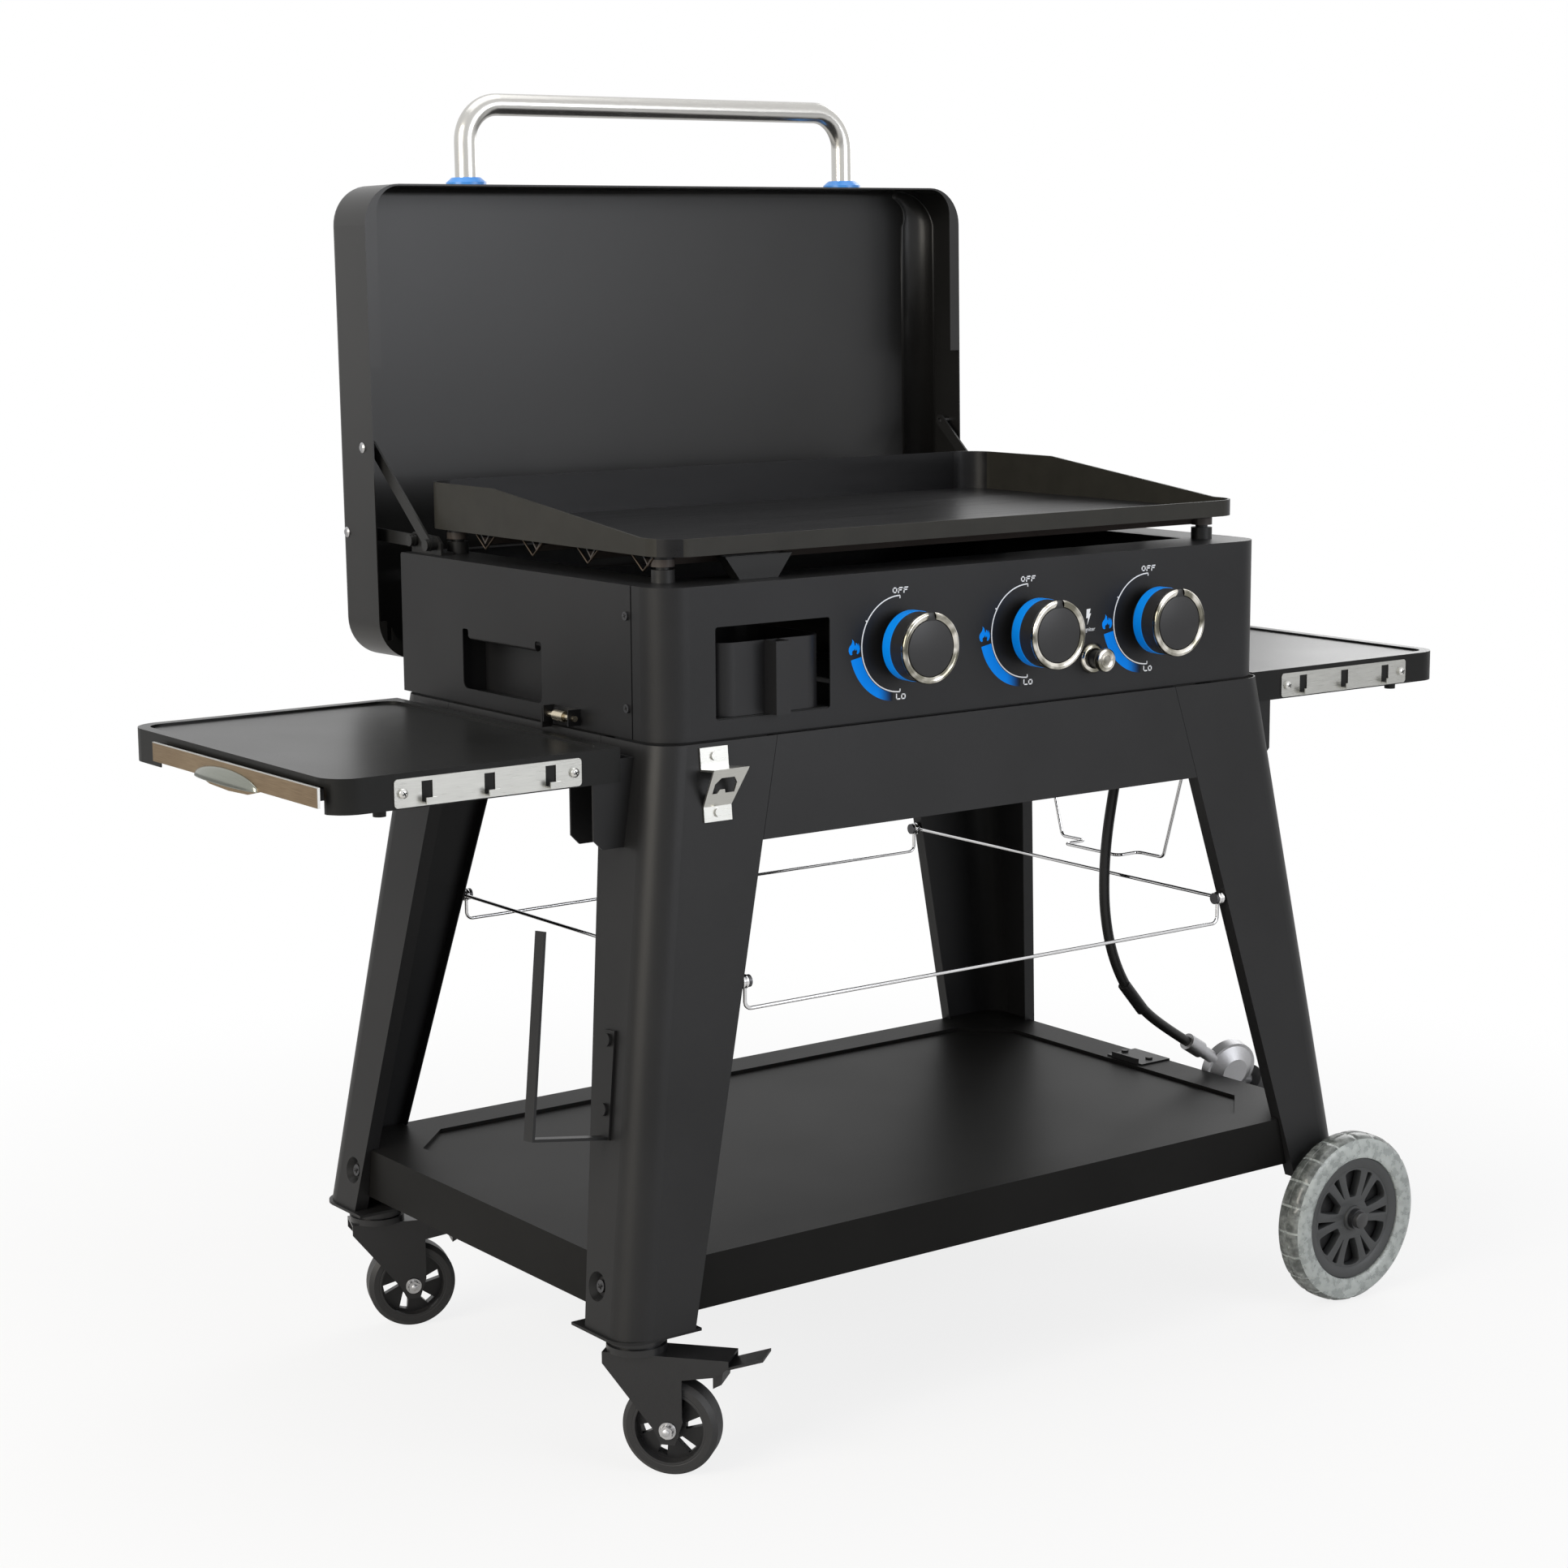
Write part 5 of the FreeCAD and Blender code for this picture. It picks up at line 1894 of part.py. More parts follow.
fitting = Part.makeCylinder(size.nut_radius * 0.75, fitting_long, hose_end, hose_ahead)
outlet = Part.makeCylinder(7, size.regulator_radius + 20, disc_centre, hose_ahead)
regulator = disc.fuse([dome_front, dome_back, barrel, fitting, outlet]).removeSplitter()
nut_start = disc_centre + hose_ahead * (size.regulator_radius + 6)
nut = Part.makeCylinder(size.nut_radius + 6, size.nut_long, nut_start, hose_ahead).cut(
    Part.makeCylinder(7 + size.running_gap, size.nut_long + 2, nut_start - hose_ahead, hose_ahead))
finish("regulator", shaped("regulator", regulator))
finish("coupling_nut", shaped("coupling_nut", nut))

# Small screws of the head and the cart.
screws = []
for index, (x, y, z) in enumerate([
        (hx, f"-{hy} + size.panel_return + 9", "862.2"), (hx, f"-{hy} + size.panel_return + 9", "768.7")]):
    screws.append(rod("side_screw_%d" % index, (x, y, z), "x", "size.screw_head", "size.screw_head_thick"))
for index, y in enumerate(("size.latch_back - 6", "size.latch_front + 7.5")):
    screws.append(rod("latch_screw_%d" % index, (f"{hx} + size.latch_sheet", y, "size.latch_high - 6"), "x",
                      "size.screw_head - 1", "size.screw_head_thick - 1"))
screw_half = group("screw_half", *screws)
wire_screws = []
for index, (sx, sy) in enumerate(((-1, -1), (1, -1), (-1, 1), (1, 1))):
    inward = V(-sx, 0, 0)
    start = V(sx * (lip_face - size.screw_radius * lip_lean - size.running_gap), sy * screw_y, size.wire_high)
    under_head = V(sx * (eye_two - size.wire - size.running_gap), sy * screw_y, size.wire_high)
    shank = Part.makeCylinder(size.screw_radius, (under_head - start).Length, start, inward)
    head = Part.makeCylinder(size.bolt_head, size.bolt_head_thick, under_head, inward)
    wire_screws.append(shank.fuse(head))
shelf_bolts = []
for sx in (-1, 1):
    for sy in (-1, 1):
        foot_y = value_at("flange_y", size.dimple_high) + size.dimple_inset
        outward = V(sx * math.cos(math.radians(side_lean)), 0, math.sin(math.radians(side_lean)))
        mouth = V(sx * value_at("x", size.dimple_high), sy * foot_y, size.dimple_high)
        start = mouth - outward * (evaluate(dimple_deep) - size.running_gap)
        shelf_bolts.append(Part.makeCylinder(size.bolt_head, size.bolt_head_thick, start, outward))
finish("screws", screw_half, mirror("screw_half_left", screw_half, V(1, 0, 0)), axle_bolt,
       mirror("axle_bolt_rear", axle_bolt, V(0, 1, 0)),
       shaped("frame_screws", Part.Compound(wire_screws + shelf_bolts)))


# The station's origin is the middle of its own extent, on the ground.
reach_left = size.side_outer + size.drawer_proud
reach_right = size.side_outer
lid_back = size.lid_rim_y + size.lid_deep * math.cos(math.radians(size.lid_lean)) + (
    (size.lid_long - size.lid_edge) * math.sin(math.radians(size.lid_lean)))
axle_reach = size.wheel_y + size.rim_width / 2 + size.seat_gap + size.axle_cap_thick
heading = math.radians(size.front_heading)
pedal_reach = size.caster_y - math.sin(heading) * (size.pedal_pivot_x + size.pedal_long) + (
    math.cos(heading) * (size.caster_width / 2 + size.fork_gap - size.seat_gap))
front_reach = max(axle_reach, pedal_reach)
station = FreeCAD.Placement(V((reach_left - reach_right) / 2, (front_reach - lid_back) / 2, 0), FreeCAD.Rotation())

doc.recompute()
for item in doc.Objects:
    if "Invalid" in item.State or "Error" in item.State:
        raise RuntimeError("failed: %s %s" % (item.Name, item.State))
for node, (item, own) in pieces.items():
    item.Placement = station.multiply(own).multiply(item.Placement)
doc.recompute()
for node, (item, own) in pieces.items():
    shape = item.Shape
    if shape.isNull() or not shape.isValid() or not shape.Solids:
        raise RuntimeError("bad shape: " + node)
    shape.exportStep("parts/%s.step" % node)
print(len(pieces), "nodes,", sum(len(item.Shape.Solids) for item, own in pieces.values()), "solids")
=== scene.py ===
import math

import bmesh
import bpy
from mathutils import Matrix, Vector


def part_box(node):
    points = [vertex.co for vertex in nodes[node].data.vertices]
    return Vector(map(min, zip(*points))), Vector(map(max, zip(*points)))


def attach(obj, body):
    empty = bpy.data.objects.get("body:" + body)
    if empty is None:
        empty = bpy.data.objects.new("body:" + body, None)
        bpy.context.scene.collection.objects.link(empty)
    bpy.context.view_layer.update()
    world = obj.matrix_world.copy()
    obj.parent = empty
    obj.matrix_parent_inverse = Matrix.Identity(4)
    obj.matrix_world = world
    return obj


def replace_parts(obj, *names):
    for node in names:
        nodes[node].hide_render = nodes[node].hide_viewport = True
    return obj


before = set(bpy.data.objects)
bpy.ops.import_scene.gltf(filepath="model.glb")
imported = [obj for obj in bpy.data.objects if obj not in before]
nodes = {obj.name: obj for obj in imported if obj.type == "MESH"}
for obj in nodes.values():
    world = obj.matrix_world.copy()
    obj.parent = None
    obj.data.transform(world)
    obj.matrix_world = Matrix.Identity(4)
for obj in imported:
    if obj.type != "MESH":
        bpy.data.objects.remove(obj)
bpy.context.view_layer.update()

# The camera stands where the photographer's stood: in front and to the left, a little above
# the cooking surface, with a long lens.

camera_place = (-2.1162, -2.77076, 1.2199)
camera_yaw = -36.40
camera_pitch = -9.74
camera_roll = -0.38
camera = bpy.data.objects.new("camera", bpy.data.cameras.new("camera"))
bpy.context.collection.objects.link(camera)
camera.data.sensor_width = 36.0
camera.data.sensor_fit = "HORIZONTAL"
camera.data.lens = 71.22
camera.data.clip_end = 60.0
camera.matrix_world = (
    Matrix.Translation(camera_place)
    @ Matrix.Rotation(math.radians(camera_yaw), 4, "Z")
    @ Matrix.Rotation(math.radians(90 + camera_pitch), 4, "X")
    @ Matrix.Rotation(math.radians(camera_roll), 4, "Z"))
bpy.context.scene.camera = camera


# Gas hose: smooth black rubber from the inlet to the regulator, in one hanging curve.
# It is pushed on a brass tail at each end; the regulator is a zinc casting.

class Signal:
    """A socket's value in a material. Arithmetic on it adds the Math nodes."""

    def __init__(self, tree, socket):
        self.tree = tree
        self.socket = socket

    def node(self, kind, settings=None, inputs=None, output=0):
        """Adds any node: its settings first, then the values or signals of its sockets."""
        made = self.tree.nodes.new("ShaderNode" + kind)
        for name, value in (settings or {}).items():
            if name == "stops":
                ramp = made.color_ramp
                while len(ramp.elements) < len(value):
                    ramp.elements.new(0.5)
                for element, (place, colour) in zip(ramp.elements, value):
                    element.position = place
                    element.color = colour
            else:
                setattr(made, name, value)
        for name, value in (inputs or {}).items():
            target = made.inputs[name]
            if isinstance(value, Signal):
                self.tree.links.new(value.socket, target)
            else:
                target.default_value = value
        return Signal(self.tree, made.outputs[output])

    def math(self, operation, *values):
        """Adds one Math node on any signals and numbers."""
        return self.node("Math", {"operation": operation}, dict(enumerate(values)))

    def __add__(self, other):
        return self.math("ADD", self, other)

    __radd__ = __add__

    def __sub__(self, other):
        return self.math("SUBTRACT", self, other)

    def __rsub__(self, other):
        return self.math("SUBTRACT", other, self)

    def __mul__(self, other):
        return self.math("MULTIPLY", self, other)

    __rmul__ = __mul__

    def __truediv__(self, other):
        return self.math("DIVIDE", self, other)

    def __gt__(self, other):
        return self.math("GREATER_THAN", self, other)

    def __lt__(self, other):
        return self.math("LESS_THAN", self, other)

    def soft_step(self, low, high):
        """Runs from 0 to 1 between two values."""
        return self.node("MapRange", {"interpolation_type": "SMOOTHSTEP"},
                         {"Value": self, "From Min": low, "From Max": high})

    def mix(self, first, second):
        """Blends two colours by this signal."""
        return self.node("Mix", {"data_type": "RGBA"}, {0: self, 6: first, 7: second}, output=2)


def start_material(name, **fixed):
    """A new material, with its shader's fixed values set; gives the shader and its place signal."""
    material = bpy.data.materials.new(name)
    material.use_nodes = True
    tree = material.node_tree
    shader = tree.nodes["Principled BSDF"]
    for socket, value in fixed.items():
        shader.inputs[socket.replace("_", " ")].default_value = value
    place = Signal(tree, None).node("TexCoord", output="Object")
    return material, shader, place


def join(signal, shader, socket):
    """Leads a signal into one of the shader's sockets."""
    signal.tree.links.new(signal.socket, shader.inputs[socket])


def noise(place, scale, detail=2.0, roughness=0.5):
    """A cloudy pattern between 0 and 1, finer as its scale grows."""
    return place.node("TexNoise", None, {"Vector": place, "Scale": scale, "Detail": detail,
                                         "Roughness": roughness})


def bump(height, shader, strength, distance):
    """Gives the shader a relief from a height signal."""
    relief = height.node("Bump", None, {"Height": height, "Strength": strength, "Distance": distance})
    join(relief, shader, "Normal")


def axis(place, name):
    """One coordinate of the place, in metres."""
    return place.node("SeparateXYZ", None, {"Vector": place}, output="XYZ".index(name))


def tone(colour, factor=1.0):
    """A colour made lighter or darker, with full cover."""
    return tuple(min(1.0, factor * value) for value in colour) + (1.0,)


def moulded(name, colour, gloss, level=0.4):
    """Moulded plastic or rubber: nearly even, with a faint flow pattern and a fine grain."""
    material, shader, place = start_material(name, Specular_IOR_Level=level)
    flow = noise(place, 14.0, 2.0)
    grain = noise(place, 1700.0, 1.0)
    join(flow.mix(tone(colour, 0.9), tone(colour, 1.1)), shader, "Base Color")
    join(gloss + (flow - 0.5) * 0.08 + (grain - 0.5) * 0.05, shader, "Roughness")
    bump(grain, shader, 0.05, 0.0004)
    return material


def bright_metal(name, colour, gloss, scale, streak=(1, 1, 1), depth=0.05):
    """Metal with a fine grain; streak says how much finer it is along each axis."""
    material, shader, place = start_material(name, Metallic=1.0)
    stretched = place.node("Mapping", None, {"Vector": place, "Scale": streak})
    grain = noise(stretched, scale, 2.0)
    cloud = noise(place, 20.0, 2.0)
    join(grain.mix(tone(colour, 0.88), tone(colour, 1.08)), shader, "Base Color")
    join(gloss + (grain - 0.5) * 0.16 + (cloud - 0.5) * 0.06, shader, "Roughness")
    bump(grain, shader, depth, 0.0003)
    return material


def dress(material, *names):
    """Gives CAD nodes a material in place of their plain one."""
    for name in names:
        slots = nodes[name].data.materials
        slots.clear()
        slots.append(material)


zinc = bright_metal("zinc_plate", (0.56, 0.56, 0.57), 0.36, 260.0)
cast_zinc = bright_metal("grey_casting", (0.42, 0.42, 0.43), 0.48, 420.0, depth=0.2)
rubber = moulded("hose_rubber", (0.014, 0.014, 0.014), 0.42)
dress(rubber, "hose_sleeve")
dress(cast_zinc, "regulator")
dress(moulded("coupling_plastic", (0.012, 0.012, 0.013), 0.40), "coupling_nut")

hose_route = [
    (0.3565, -0.09946, 0.716), (0.3565, -0.09946, 0.676), (0.3455, -0.09946, 0.632),
    (0.3345, -0.10046, 0.586), (0.3255, -0.10046, 0.539), (0.3215, -0.10046, 0.491),
    (0.3245, -0.09946, 0.443), (0.3355, -0.09946, 0.396), (0.3565, -0.09946, 0.353),
    (0.3875, -0.09946, 0.317), (0.4250, -0.09946, 0.289), (0.4620, -0.09946, 0.266)]
hose_thick = 0.0125
hose_curve = bpy.data.curves.new("gas_hose_line", "CURVE")
hose_curve.dimensions = "3D"
hose_curve.bevel_depth = hose_thick / 2
hose_curve.bevel_resolution = 5
hose_curve.resolution_u = 12
hose_spline = hose_curve.splines.new("NURBS")
hose_spline.points.add(len(hose_route) - 1)
for point, place in zip(hose_spline.points, hose_route):
    point.co = (*place, 1.0)
hose_spline.order_u = 3
hose_spline.use_endpoint_u = True
hose_curve.materials.append(rubber)
hose = bpy.data.objects.new("gas_hose_smooth", hose_curve)
bpy.context.collection.objects.link(hose)
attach(hose, "station")
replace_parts(hose, "gas_hose")


# Legs and aprons: bent sheet steel under black powder coat. The coat is sprayed dry and baked,
# which leaves a satin skin with a fine pebble grain.

def powder_coat(name, colour, gloss, grain=0.10, level=0.32):
    """Satin black skin with a pebble grain of about a millimetre."""
    material, shader, place = start_material(name, Specular_IOR_Level=level)
    cloud = noise(place, 7.0, 3.0)
    pebble = noise(place, 1150.0, 2.0, 0.55)
    speck = noise(place, 420.0, 3.0, 0.6)
    shade = cloud.soft_step(0.3, 0.7) * 0.6 + speck * 0.4
    join(shade.mix(tone(colour, 0.80), tone(colour, 1.20)), shader, "Base Color")
    join(gloss + (cloud - 0.5) * 0.07 + (pebble - 0.5) * 0.10, shader, "Roughness")
    bump(pebble + speck * 0.5, shader, grain, 0.0006)
    return material


coat = powder_coat("black_powder_coat", (0.0115, 0.0115, 0.0120), 0.40, level=0.24)
dress(coat, "front_legs", "rear_legs", "long_aprons", "side_aprons", "fold_brackets", "foot_fittings",
      "towel_bar", "tank_stop")


# Lower shelf: one pressed sheet with a turned-down skirt, in the same coat, a little browner
# and darker all over: the darker colour is painted shade, as the head above keeps the light off it.

dress(powder_coat("shelf_coat", (0.0075, 0.0073, 0.0070), 0.42, level=0.07), "lower_shelf")


# Casters: pressed forks painted black over a ball race, moulded wheels with a smooth tread, and
# a zinc nut on each axle.

fork_paint = powder_coat("black_fork_paint", (0.010, 0.010, 0.011), 0.30, grain=0.03, level=0.5)
dress(fork_paint, "caster_fork_front", "caster_fork_rear", "brake_pedal_front", "brake_pedal_rear")


def finish_mesh(form, name, body, slot, *materials, smooth=None):
    """Turns a bmesh into a piece that rides on a body; smooth is the angle that stays an edge."""
    bmesh.ops.recalc_face_normals(form, faces=form.faces)
    data = bpy.data.meshes.new(name)
    form.to_mesh(data)
    form.free()
    for material in materials:
        data.materials.append(material)
    if smooth is not None:
        data.shade_smooth()
        data.set_sharp_from_angle(angle=math.radians(smooth))
    piece = bpy.data.objects.new(name, data)
    bpy.context.collection.objects.link(piece)
    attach(piece, body)
    return piece


def middle_of(node):
    """The middle of a CAD node's box."""
    low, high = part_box(node)
    return (low + high) / 2


def aimed(centre, heading):
    """The transform that carries a shape to a point and turns its Z axis along a heading."""
    return Matrix.Translation(centre) @ Vector(heading).to_track_quat("Z", "Y").to_matrix().to_4x4()


def turned(form, outline, centre, heading, steps, material=0):
    """Spins an outline of (radius, height) points round an axis that points along a heading."""
    old_verts = set(form.verts)
    old_faces = set(form.faces)
    corners = [form.verts.new((radius, 0, height)) for radius, height in outline]
    edges = [form.edges.new(pair) for pair in zip(corners, corners[1:])]
    bmesh.ops.spin(form, geom=corners + edges, cent=(0, 0, 0), axis=(0, 0, 1), angle=math.tau,
                   steps=steps, use_merge=True)
    for face in form.faces:
        if face not in old_faces:
            face.material_index = material
    added = [corner for corner in form.verts if corner not in old_verts]
    bmesh.ops.remove_doubles(form, verts=added, dist=0.00001)
    added = [corner for corner in form.verts if corner not in old_verts]
    bmesh.ops.transform(form, verts=added, matrix=aimed(centre, heading))


tread_starts = 0.0352
tread_full = 0.0362
groove_radius = 0.0385
groove_half = 0.0009
fork_half = 0.0205
washer_thick = 0.0012
nut_tall = 0.0050


def caster_material(name, centre, heading):
    """Black wheel plastic that is dusty on its tread, with a ring groove beside the tread."""
    material, shader, place = start_material("caster_wheel_" + name, Specular_IOR_Level=0.35)
    along = ((axis(place, "X") - centre.x) * math.cos(heading)
             + (axis(place, "Y") - centre.y) * math.sin(heading))
    up = axis(place, "Z") - centre.z
    squared = along * along + up * up
    radius = squared.math("POWER", squared, 0.5)
    tread = radius.soft_step(tread_starts, tread_full)
    dust = noise(place, 160.0, 4.0, 0.65)
    rough = noise(place, 900.0, 2.0)
    shade = (tread * 0.75 + dust * 0.3).mix((0.008, 0.008, 0.009, 1.0), (0.026, 0.026, 0.027, 1.0))
    join(shade, shader, "Base Color")
    join(0.36 + tread * 0.12 + (dust - 0.5) * 0.2, shader, "Roughness")
    from_groove = radius - groove_radius
    groove = from_groove.math("ABSOLUTE", from_groove).soft_step(0.0, groove_half)
    bump(groove + rough * 0.06, shader, 0.5, 0.0006)
    return material


for name, degrees in (("front", -50), ("rear", -20)):
    heading = math.radians(degrees)
    centre = middle_of("caster_wheel_" + name)
    dress(caster_material(name, centre, heading), "caster_wheel_" + name)
    axle = Vector((math.sin(heading), -math.cos(heading), 0))
    nut = bmesh.new()
    for outward in (axle, -axle):
        seat = centre + outward * fork_half
        turned(nut, [(0.0042, 0.0), (0.0088, 0.0), (0.0092, 0.0004), (0.0088, washer_thick),
                     (0.0042, washer_thick)], seat, outward, 32)
        head = bmesh.ops.create_cone(nut, cap_ends=True, segments=6, radius1=0.0074, radius2=0.0070,
                                     depth=nut_tall)
        bmesh.ops.transform(nut, verts=head["verts"],
                            matrix=aimed(seat + outward * (washer_thick + nut_tall / 2), outward))
        turned(nut, [(0.0001, 0.0086), (0.0030, 0.0084), (0.0037, 0.0078), (0.0037, 0.0)],
               seat, outward, 20)
    finish_mesh(nut, "caster_nut_" + name, "caster_" + name, "zinc", zinc, smooth=40)


# Big wheels: a dark grey moulded hub with six wide and six narrow windows in front of a closed
# inner web. The steel axle ends in a grey cap that stands proud of the boss.

hub_radius = 0.072
plate_radius = 0.0640
plate_thick = 0.0110
plate_edge = 0.0008
plate_out = 0.0056
window_out = 0.0575


def rounded(points, corner, steps=4):
    """Rounds the corners of a flat outline."""
    result = []
    for index, here in enumerate(points):
        here = Vector(here)
        before = Vector(points[index - 1])
        after = Vector(points[(index + 1) % len(points)])
        start = here + (before - here).normalized() * corner
        end = here + (after - here).normalized() * corner
        for step in range(steps + 1):
            share = step / steps
            result.append(tuple(start.lerp(here, share).lerp(here.lerp(end, share), share)))
    return result


def flat_plate(outlines, thick, edge):
    """A plate as a bmesh: the first outline less the others, with its edges rounded."""
    sheet = bpy.data.curves.new("plate", "CURVE")
    sheet.dimensions = "2D"
    sheet.fill_mode = "BOTH"
    sheet.extrude = thick / 2 - edge
    sheet.bevel_depth = edge
    sheet.bevel_resolution = 1
    for outline in outlines:
        line = sheet.splines.new("POLY")
        line.points.add(len(outline) - 1)
        line.use_cyclic_u = True
        for point, (x, y) in zip(line.points, outline):
            point.co = (x, y, 0, 1)
    holder = bpy.data.objects.new("plate", sheet)
    form = bmesh.new()
    form.from_mesh(bpy.data.meshes.new_from_object(holder))
    bpy.data.objects.remove(holder)
    bmesh.ops.remove_doubles(form, verts=form.verts, dist=0.000001)
    return form


def turned_points(points, degrees):
    """A flat outline turned about the origin."""
    turn = Matrix.Rotation(math.radians(degrees), 2)
    return [tuple(turn @ Vector(point)) for point in points]


wide_window = rounded([(0.0245, -0.0052), (0.0400, -0.0108), (0.0545, -0.0140), (window_out, -0.0080),
                       (window_out + 0.0008, 0.0), (window_out, 0.0080), (0.0545, 0.0140), (0.0400, 0.0108),
                       (0.0245, 0.0052)], 0.0024)
slim_window = rounded([(0.0275, -0.0008), (0.0570, -0.0050), (0.0580, 0.0), (0.0570, 0.0050),
                       (0.0275, 0.0008)], 0.0005, 2)
plate_rim = [(plate_radius * math.cos(math.radians(angle)), plate_radius * math.sin(math.radians(angle)))
             for angle in range(0, 360, 4)]
hub_plastic = moulded("wheel_hub_plastic", (0.046, 0.048, 0.049), 0.48)
boss_black = moulded("wheel_axle_cap", (0.030, 0.030, 0.031), 0.36, 0.5)
web_black = moulded("wheel_inner_web", (0.010, 0.010, 0.0105), 0.55)
for name, side in (("front", -1), ("rear", 1)):
    centre = middle_of("wheel_hub_" + name)
    outward = (0, side, 0)
    outlines = [plate_rim]
    for index in range(6):
        outlines.append(turned_points(wide_window, 30 + 60 * index))
        outlines.append(turned_points(slim_window, 60 * index))
    hub = flat_plate(outlines, plate_thick, plate_edge)
    bmesh.ops.translate(hub, verts=hub.verts, vec=(0, 0, plate_out))
    bmesh.ops.transform(hub, verts=hub.verts, matrix=aimed(centre, outward))
    turned(hub, [(0.0592, 0.0100), (0.0596, 0.0112), (0.0606, 0.0120), (0.0690, 0.0138), (0.0712, 0.0136),
                 (hub_radius, 0.0126), (hub_radius, -0.0140), (0.0705, -0.0150), (plate_radius, -0.0150),
                 (plate_radius, 0.0), (0.0592, 0.0100)],
           centre, outward, 96)
    turned(hub, [(0.0090, 0.0142), (0.0125, 0.0146), (0.0141, 0.0142), (0.0147, 0.0132), (0.0150, 0.0112),
                 (0.0168, 0.0100)], centre, outward, 64)
    turned(hub, [(0.0065, -0.0150), (0.0150, -0.0150), (0.0160, -0.0140), (0.0165, -0.0010)],
           centre, outward, 48)
    turned(hub, [(0.0160, -0.0020), (0.0645, -0.0020)], centre, outward, 48, material=1)
    turned(hub, [(0.0, 0.0270), (0.0082, 0.0270), (0.0094, 0.0264), (0.0098, 0.0252), (0.0098, 0.0150)],
           centre, outward, 48, material=2)
    shell = finish_mesh(hub, "spoked_hub_" + name, "wheel_" + name, "hub_plastic", hub_plastic, web_black,
                        boss_black, smooth=30)
    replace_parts(shell, "wheel_hub_" + name)


# Tyres: a clear soft moulding gone slightly cloudy, with a tread of twenty blocks cut by cross
# grooves and one groove round the middle.

tyre_clear, tyre_shader, tyre_place = start_material(
    "cloudy_clear_tyre", Transmission_Weight=0.40, IOR=1.45, Specular_IOR_Level=0.6)
tyre_cloud = noise(tyre_place, 95.0, 3.0, 0.5)
tyre_tone = tyre_cloud.soft_step(0.36, 0.62).mix((0.40, 0.43, 0.42, 1.0), (0.60, 0.64, 0.62, 1.0))
join(tyre_tone, tyre_shader, "Base Color")
join(0.16 + tyre_cloud * 0.25, tyre_shader, "Roughness")
bump(noise(tyre_place, 220.0, 3.0), tyre_shader, 0.25, 0.001)
block_clear, block_shader, block_place = start_material(
    "clear_tread_block", Transmission_Weight=0.35, IOR=1.45, Specular_IOR_Level=0.6)
block_cloud = noise(block_place, 90.0, 4.0, 0.6)
block_tone = block_cloud.soft_step(0.35, 0.7).mix((0.10, 0.108, 0.103, 1.0), (0.34, 0.36, 0.345, 1.0))
join(block_tone, block_shader, "Base Color")
join(0.14 + block_cloud * 0.2, block_shader, "Roughness")
bump(block_cloud, block_shader, 0.3, 0.001)
tread_half = 0.018
tread_outline = [
    (0.0722, 0.0150), (0.0735, 0.0166), (0.0780, tread_half), (0.0870, tread_half), (0.0915, 0.0172),
    (0.0953, 0.0152), (0.0980, 0.0122), (0.0996, 0.0080), (0.1000, 0.0014), (0.0991, 0.0007),
    (0.0991, -0.0007), (0.1000, -0.0014), (0.0996, -0.0080), (0.0980, -0.0122), (0.0953, -0.0152),
    (0.0915, -0.0172), (0.0870, -tread_half), (0.0780, -tread_half), (0.0735, -0.0166),
    (0.0722, -0.0150), (0.0722, 0.0150)]
block_count = 20
steps_per_block = 12
steps_round = block_count * steps_per_block
tread_from = 0.0945
groove_from = 0.0955
groove_sunk = 0.987


def steps_to(point):
    """How many steps of the spin lie between the X axis and a point of the tyre."""
    return math.atan2(point.y, point.x) / math.tau * steps_round


for name, side in (("front", -1), ("rear", 1)):
    tyre = bmesh.new()
    turned(tyre, tread_outline, (0, 0, 0), (0, 0, 1), steps_round)
    for face in tyre.faces:
        middle = face.calc_center_median()
        in_block = round(steps_to(middle) - 0.5) % steps_per_block > 0
        face.material_index = 1 if in_block and middle.xy.length > tread_from else 0
    for corner in tyre.verts:
        if corner.co.xy.length > groove_from and round(steps_to(corner.co)) % steps_per_block < 2:
            corner.co.xy *= groove_sunk
    bmesh.ops.transform(tyre, verts=tyre.verts, matrix=aimed(middle_of("wheel_tyre_" + name), (0, side, 0)))
    band = finish_mesh(tyre, "treaded_tyre_" + name, "wheel_" + name, "tyre_clear", tyre_clear, block_clear,
                       smooth=35)
    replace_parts(band, "wheel_tyre_" + name)


# Wires: chromed steel rod, the two long ones dropped in the middle, and the frame that holds
# the gas cylinder.

chrome = bright_metal("bright_chrome", (0.72, 0.72, 0.73), 0.10, 90.0)
dress(chrome, "brace_wires", "tank_hanger")


# Screws: blackened steel pan heads with a cross recess on the head's side panels, and larger
# ones low on the legs. Each recess is shown as a dark cross a hair above the metal, painted shade for its
# hollow.

black_steel = bright_metal("blackened_steel", (0.10, 0.10, 0.105), 0.40, 500.0)
dress(black_steel, "screws")
recess_black = moulded("recess_shadow", (0.004, 0.004, 0.004), 0.6)


def cross_recess(form, centre, heading, size, material=0):
    """Two dark bars crossed on a screw's head."""
    turn = aimed(centre, heading) @ Matrix.Rotation(math.radians(25), 4, "Z")
    for angle in (0, 90):
        bar = bmesh.ops.create_cube(form, size=1.0)["verts"]
        shape = Matrix.Rotation(math.radians(angle), 4, "Z") @ Matrix.Diagonal((size, size * 0.22, 0.0003, 1))
        bmesh.ops.transform(form, verts=bar, matrix=turn @ shape)
        for corner in bar:
            for face in corner.link_faces:
                face.material_index = material


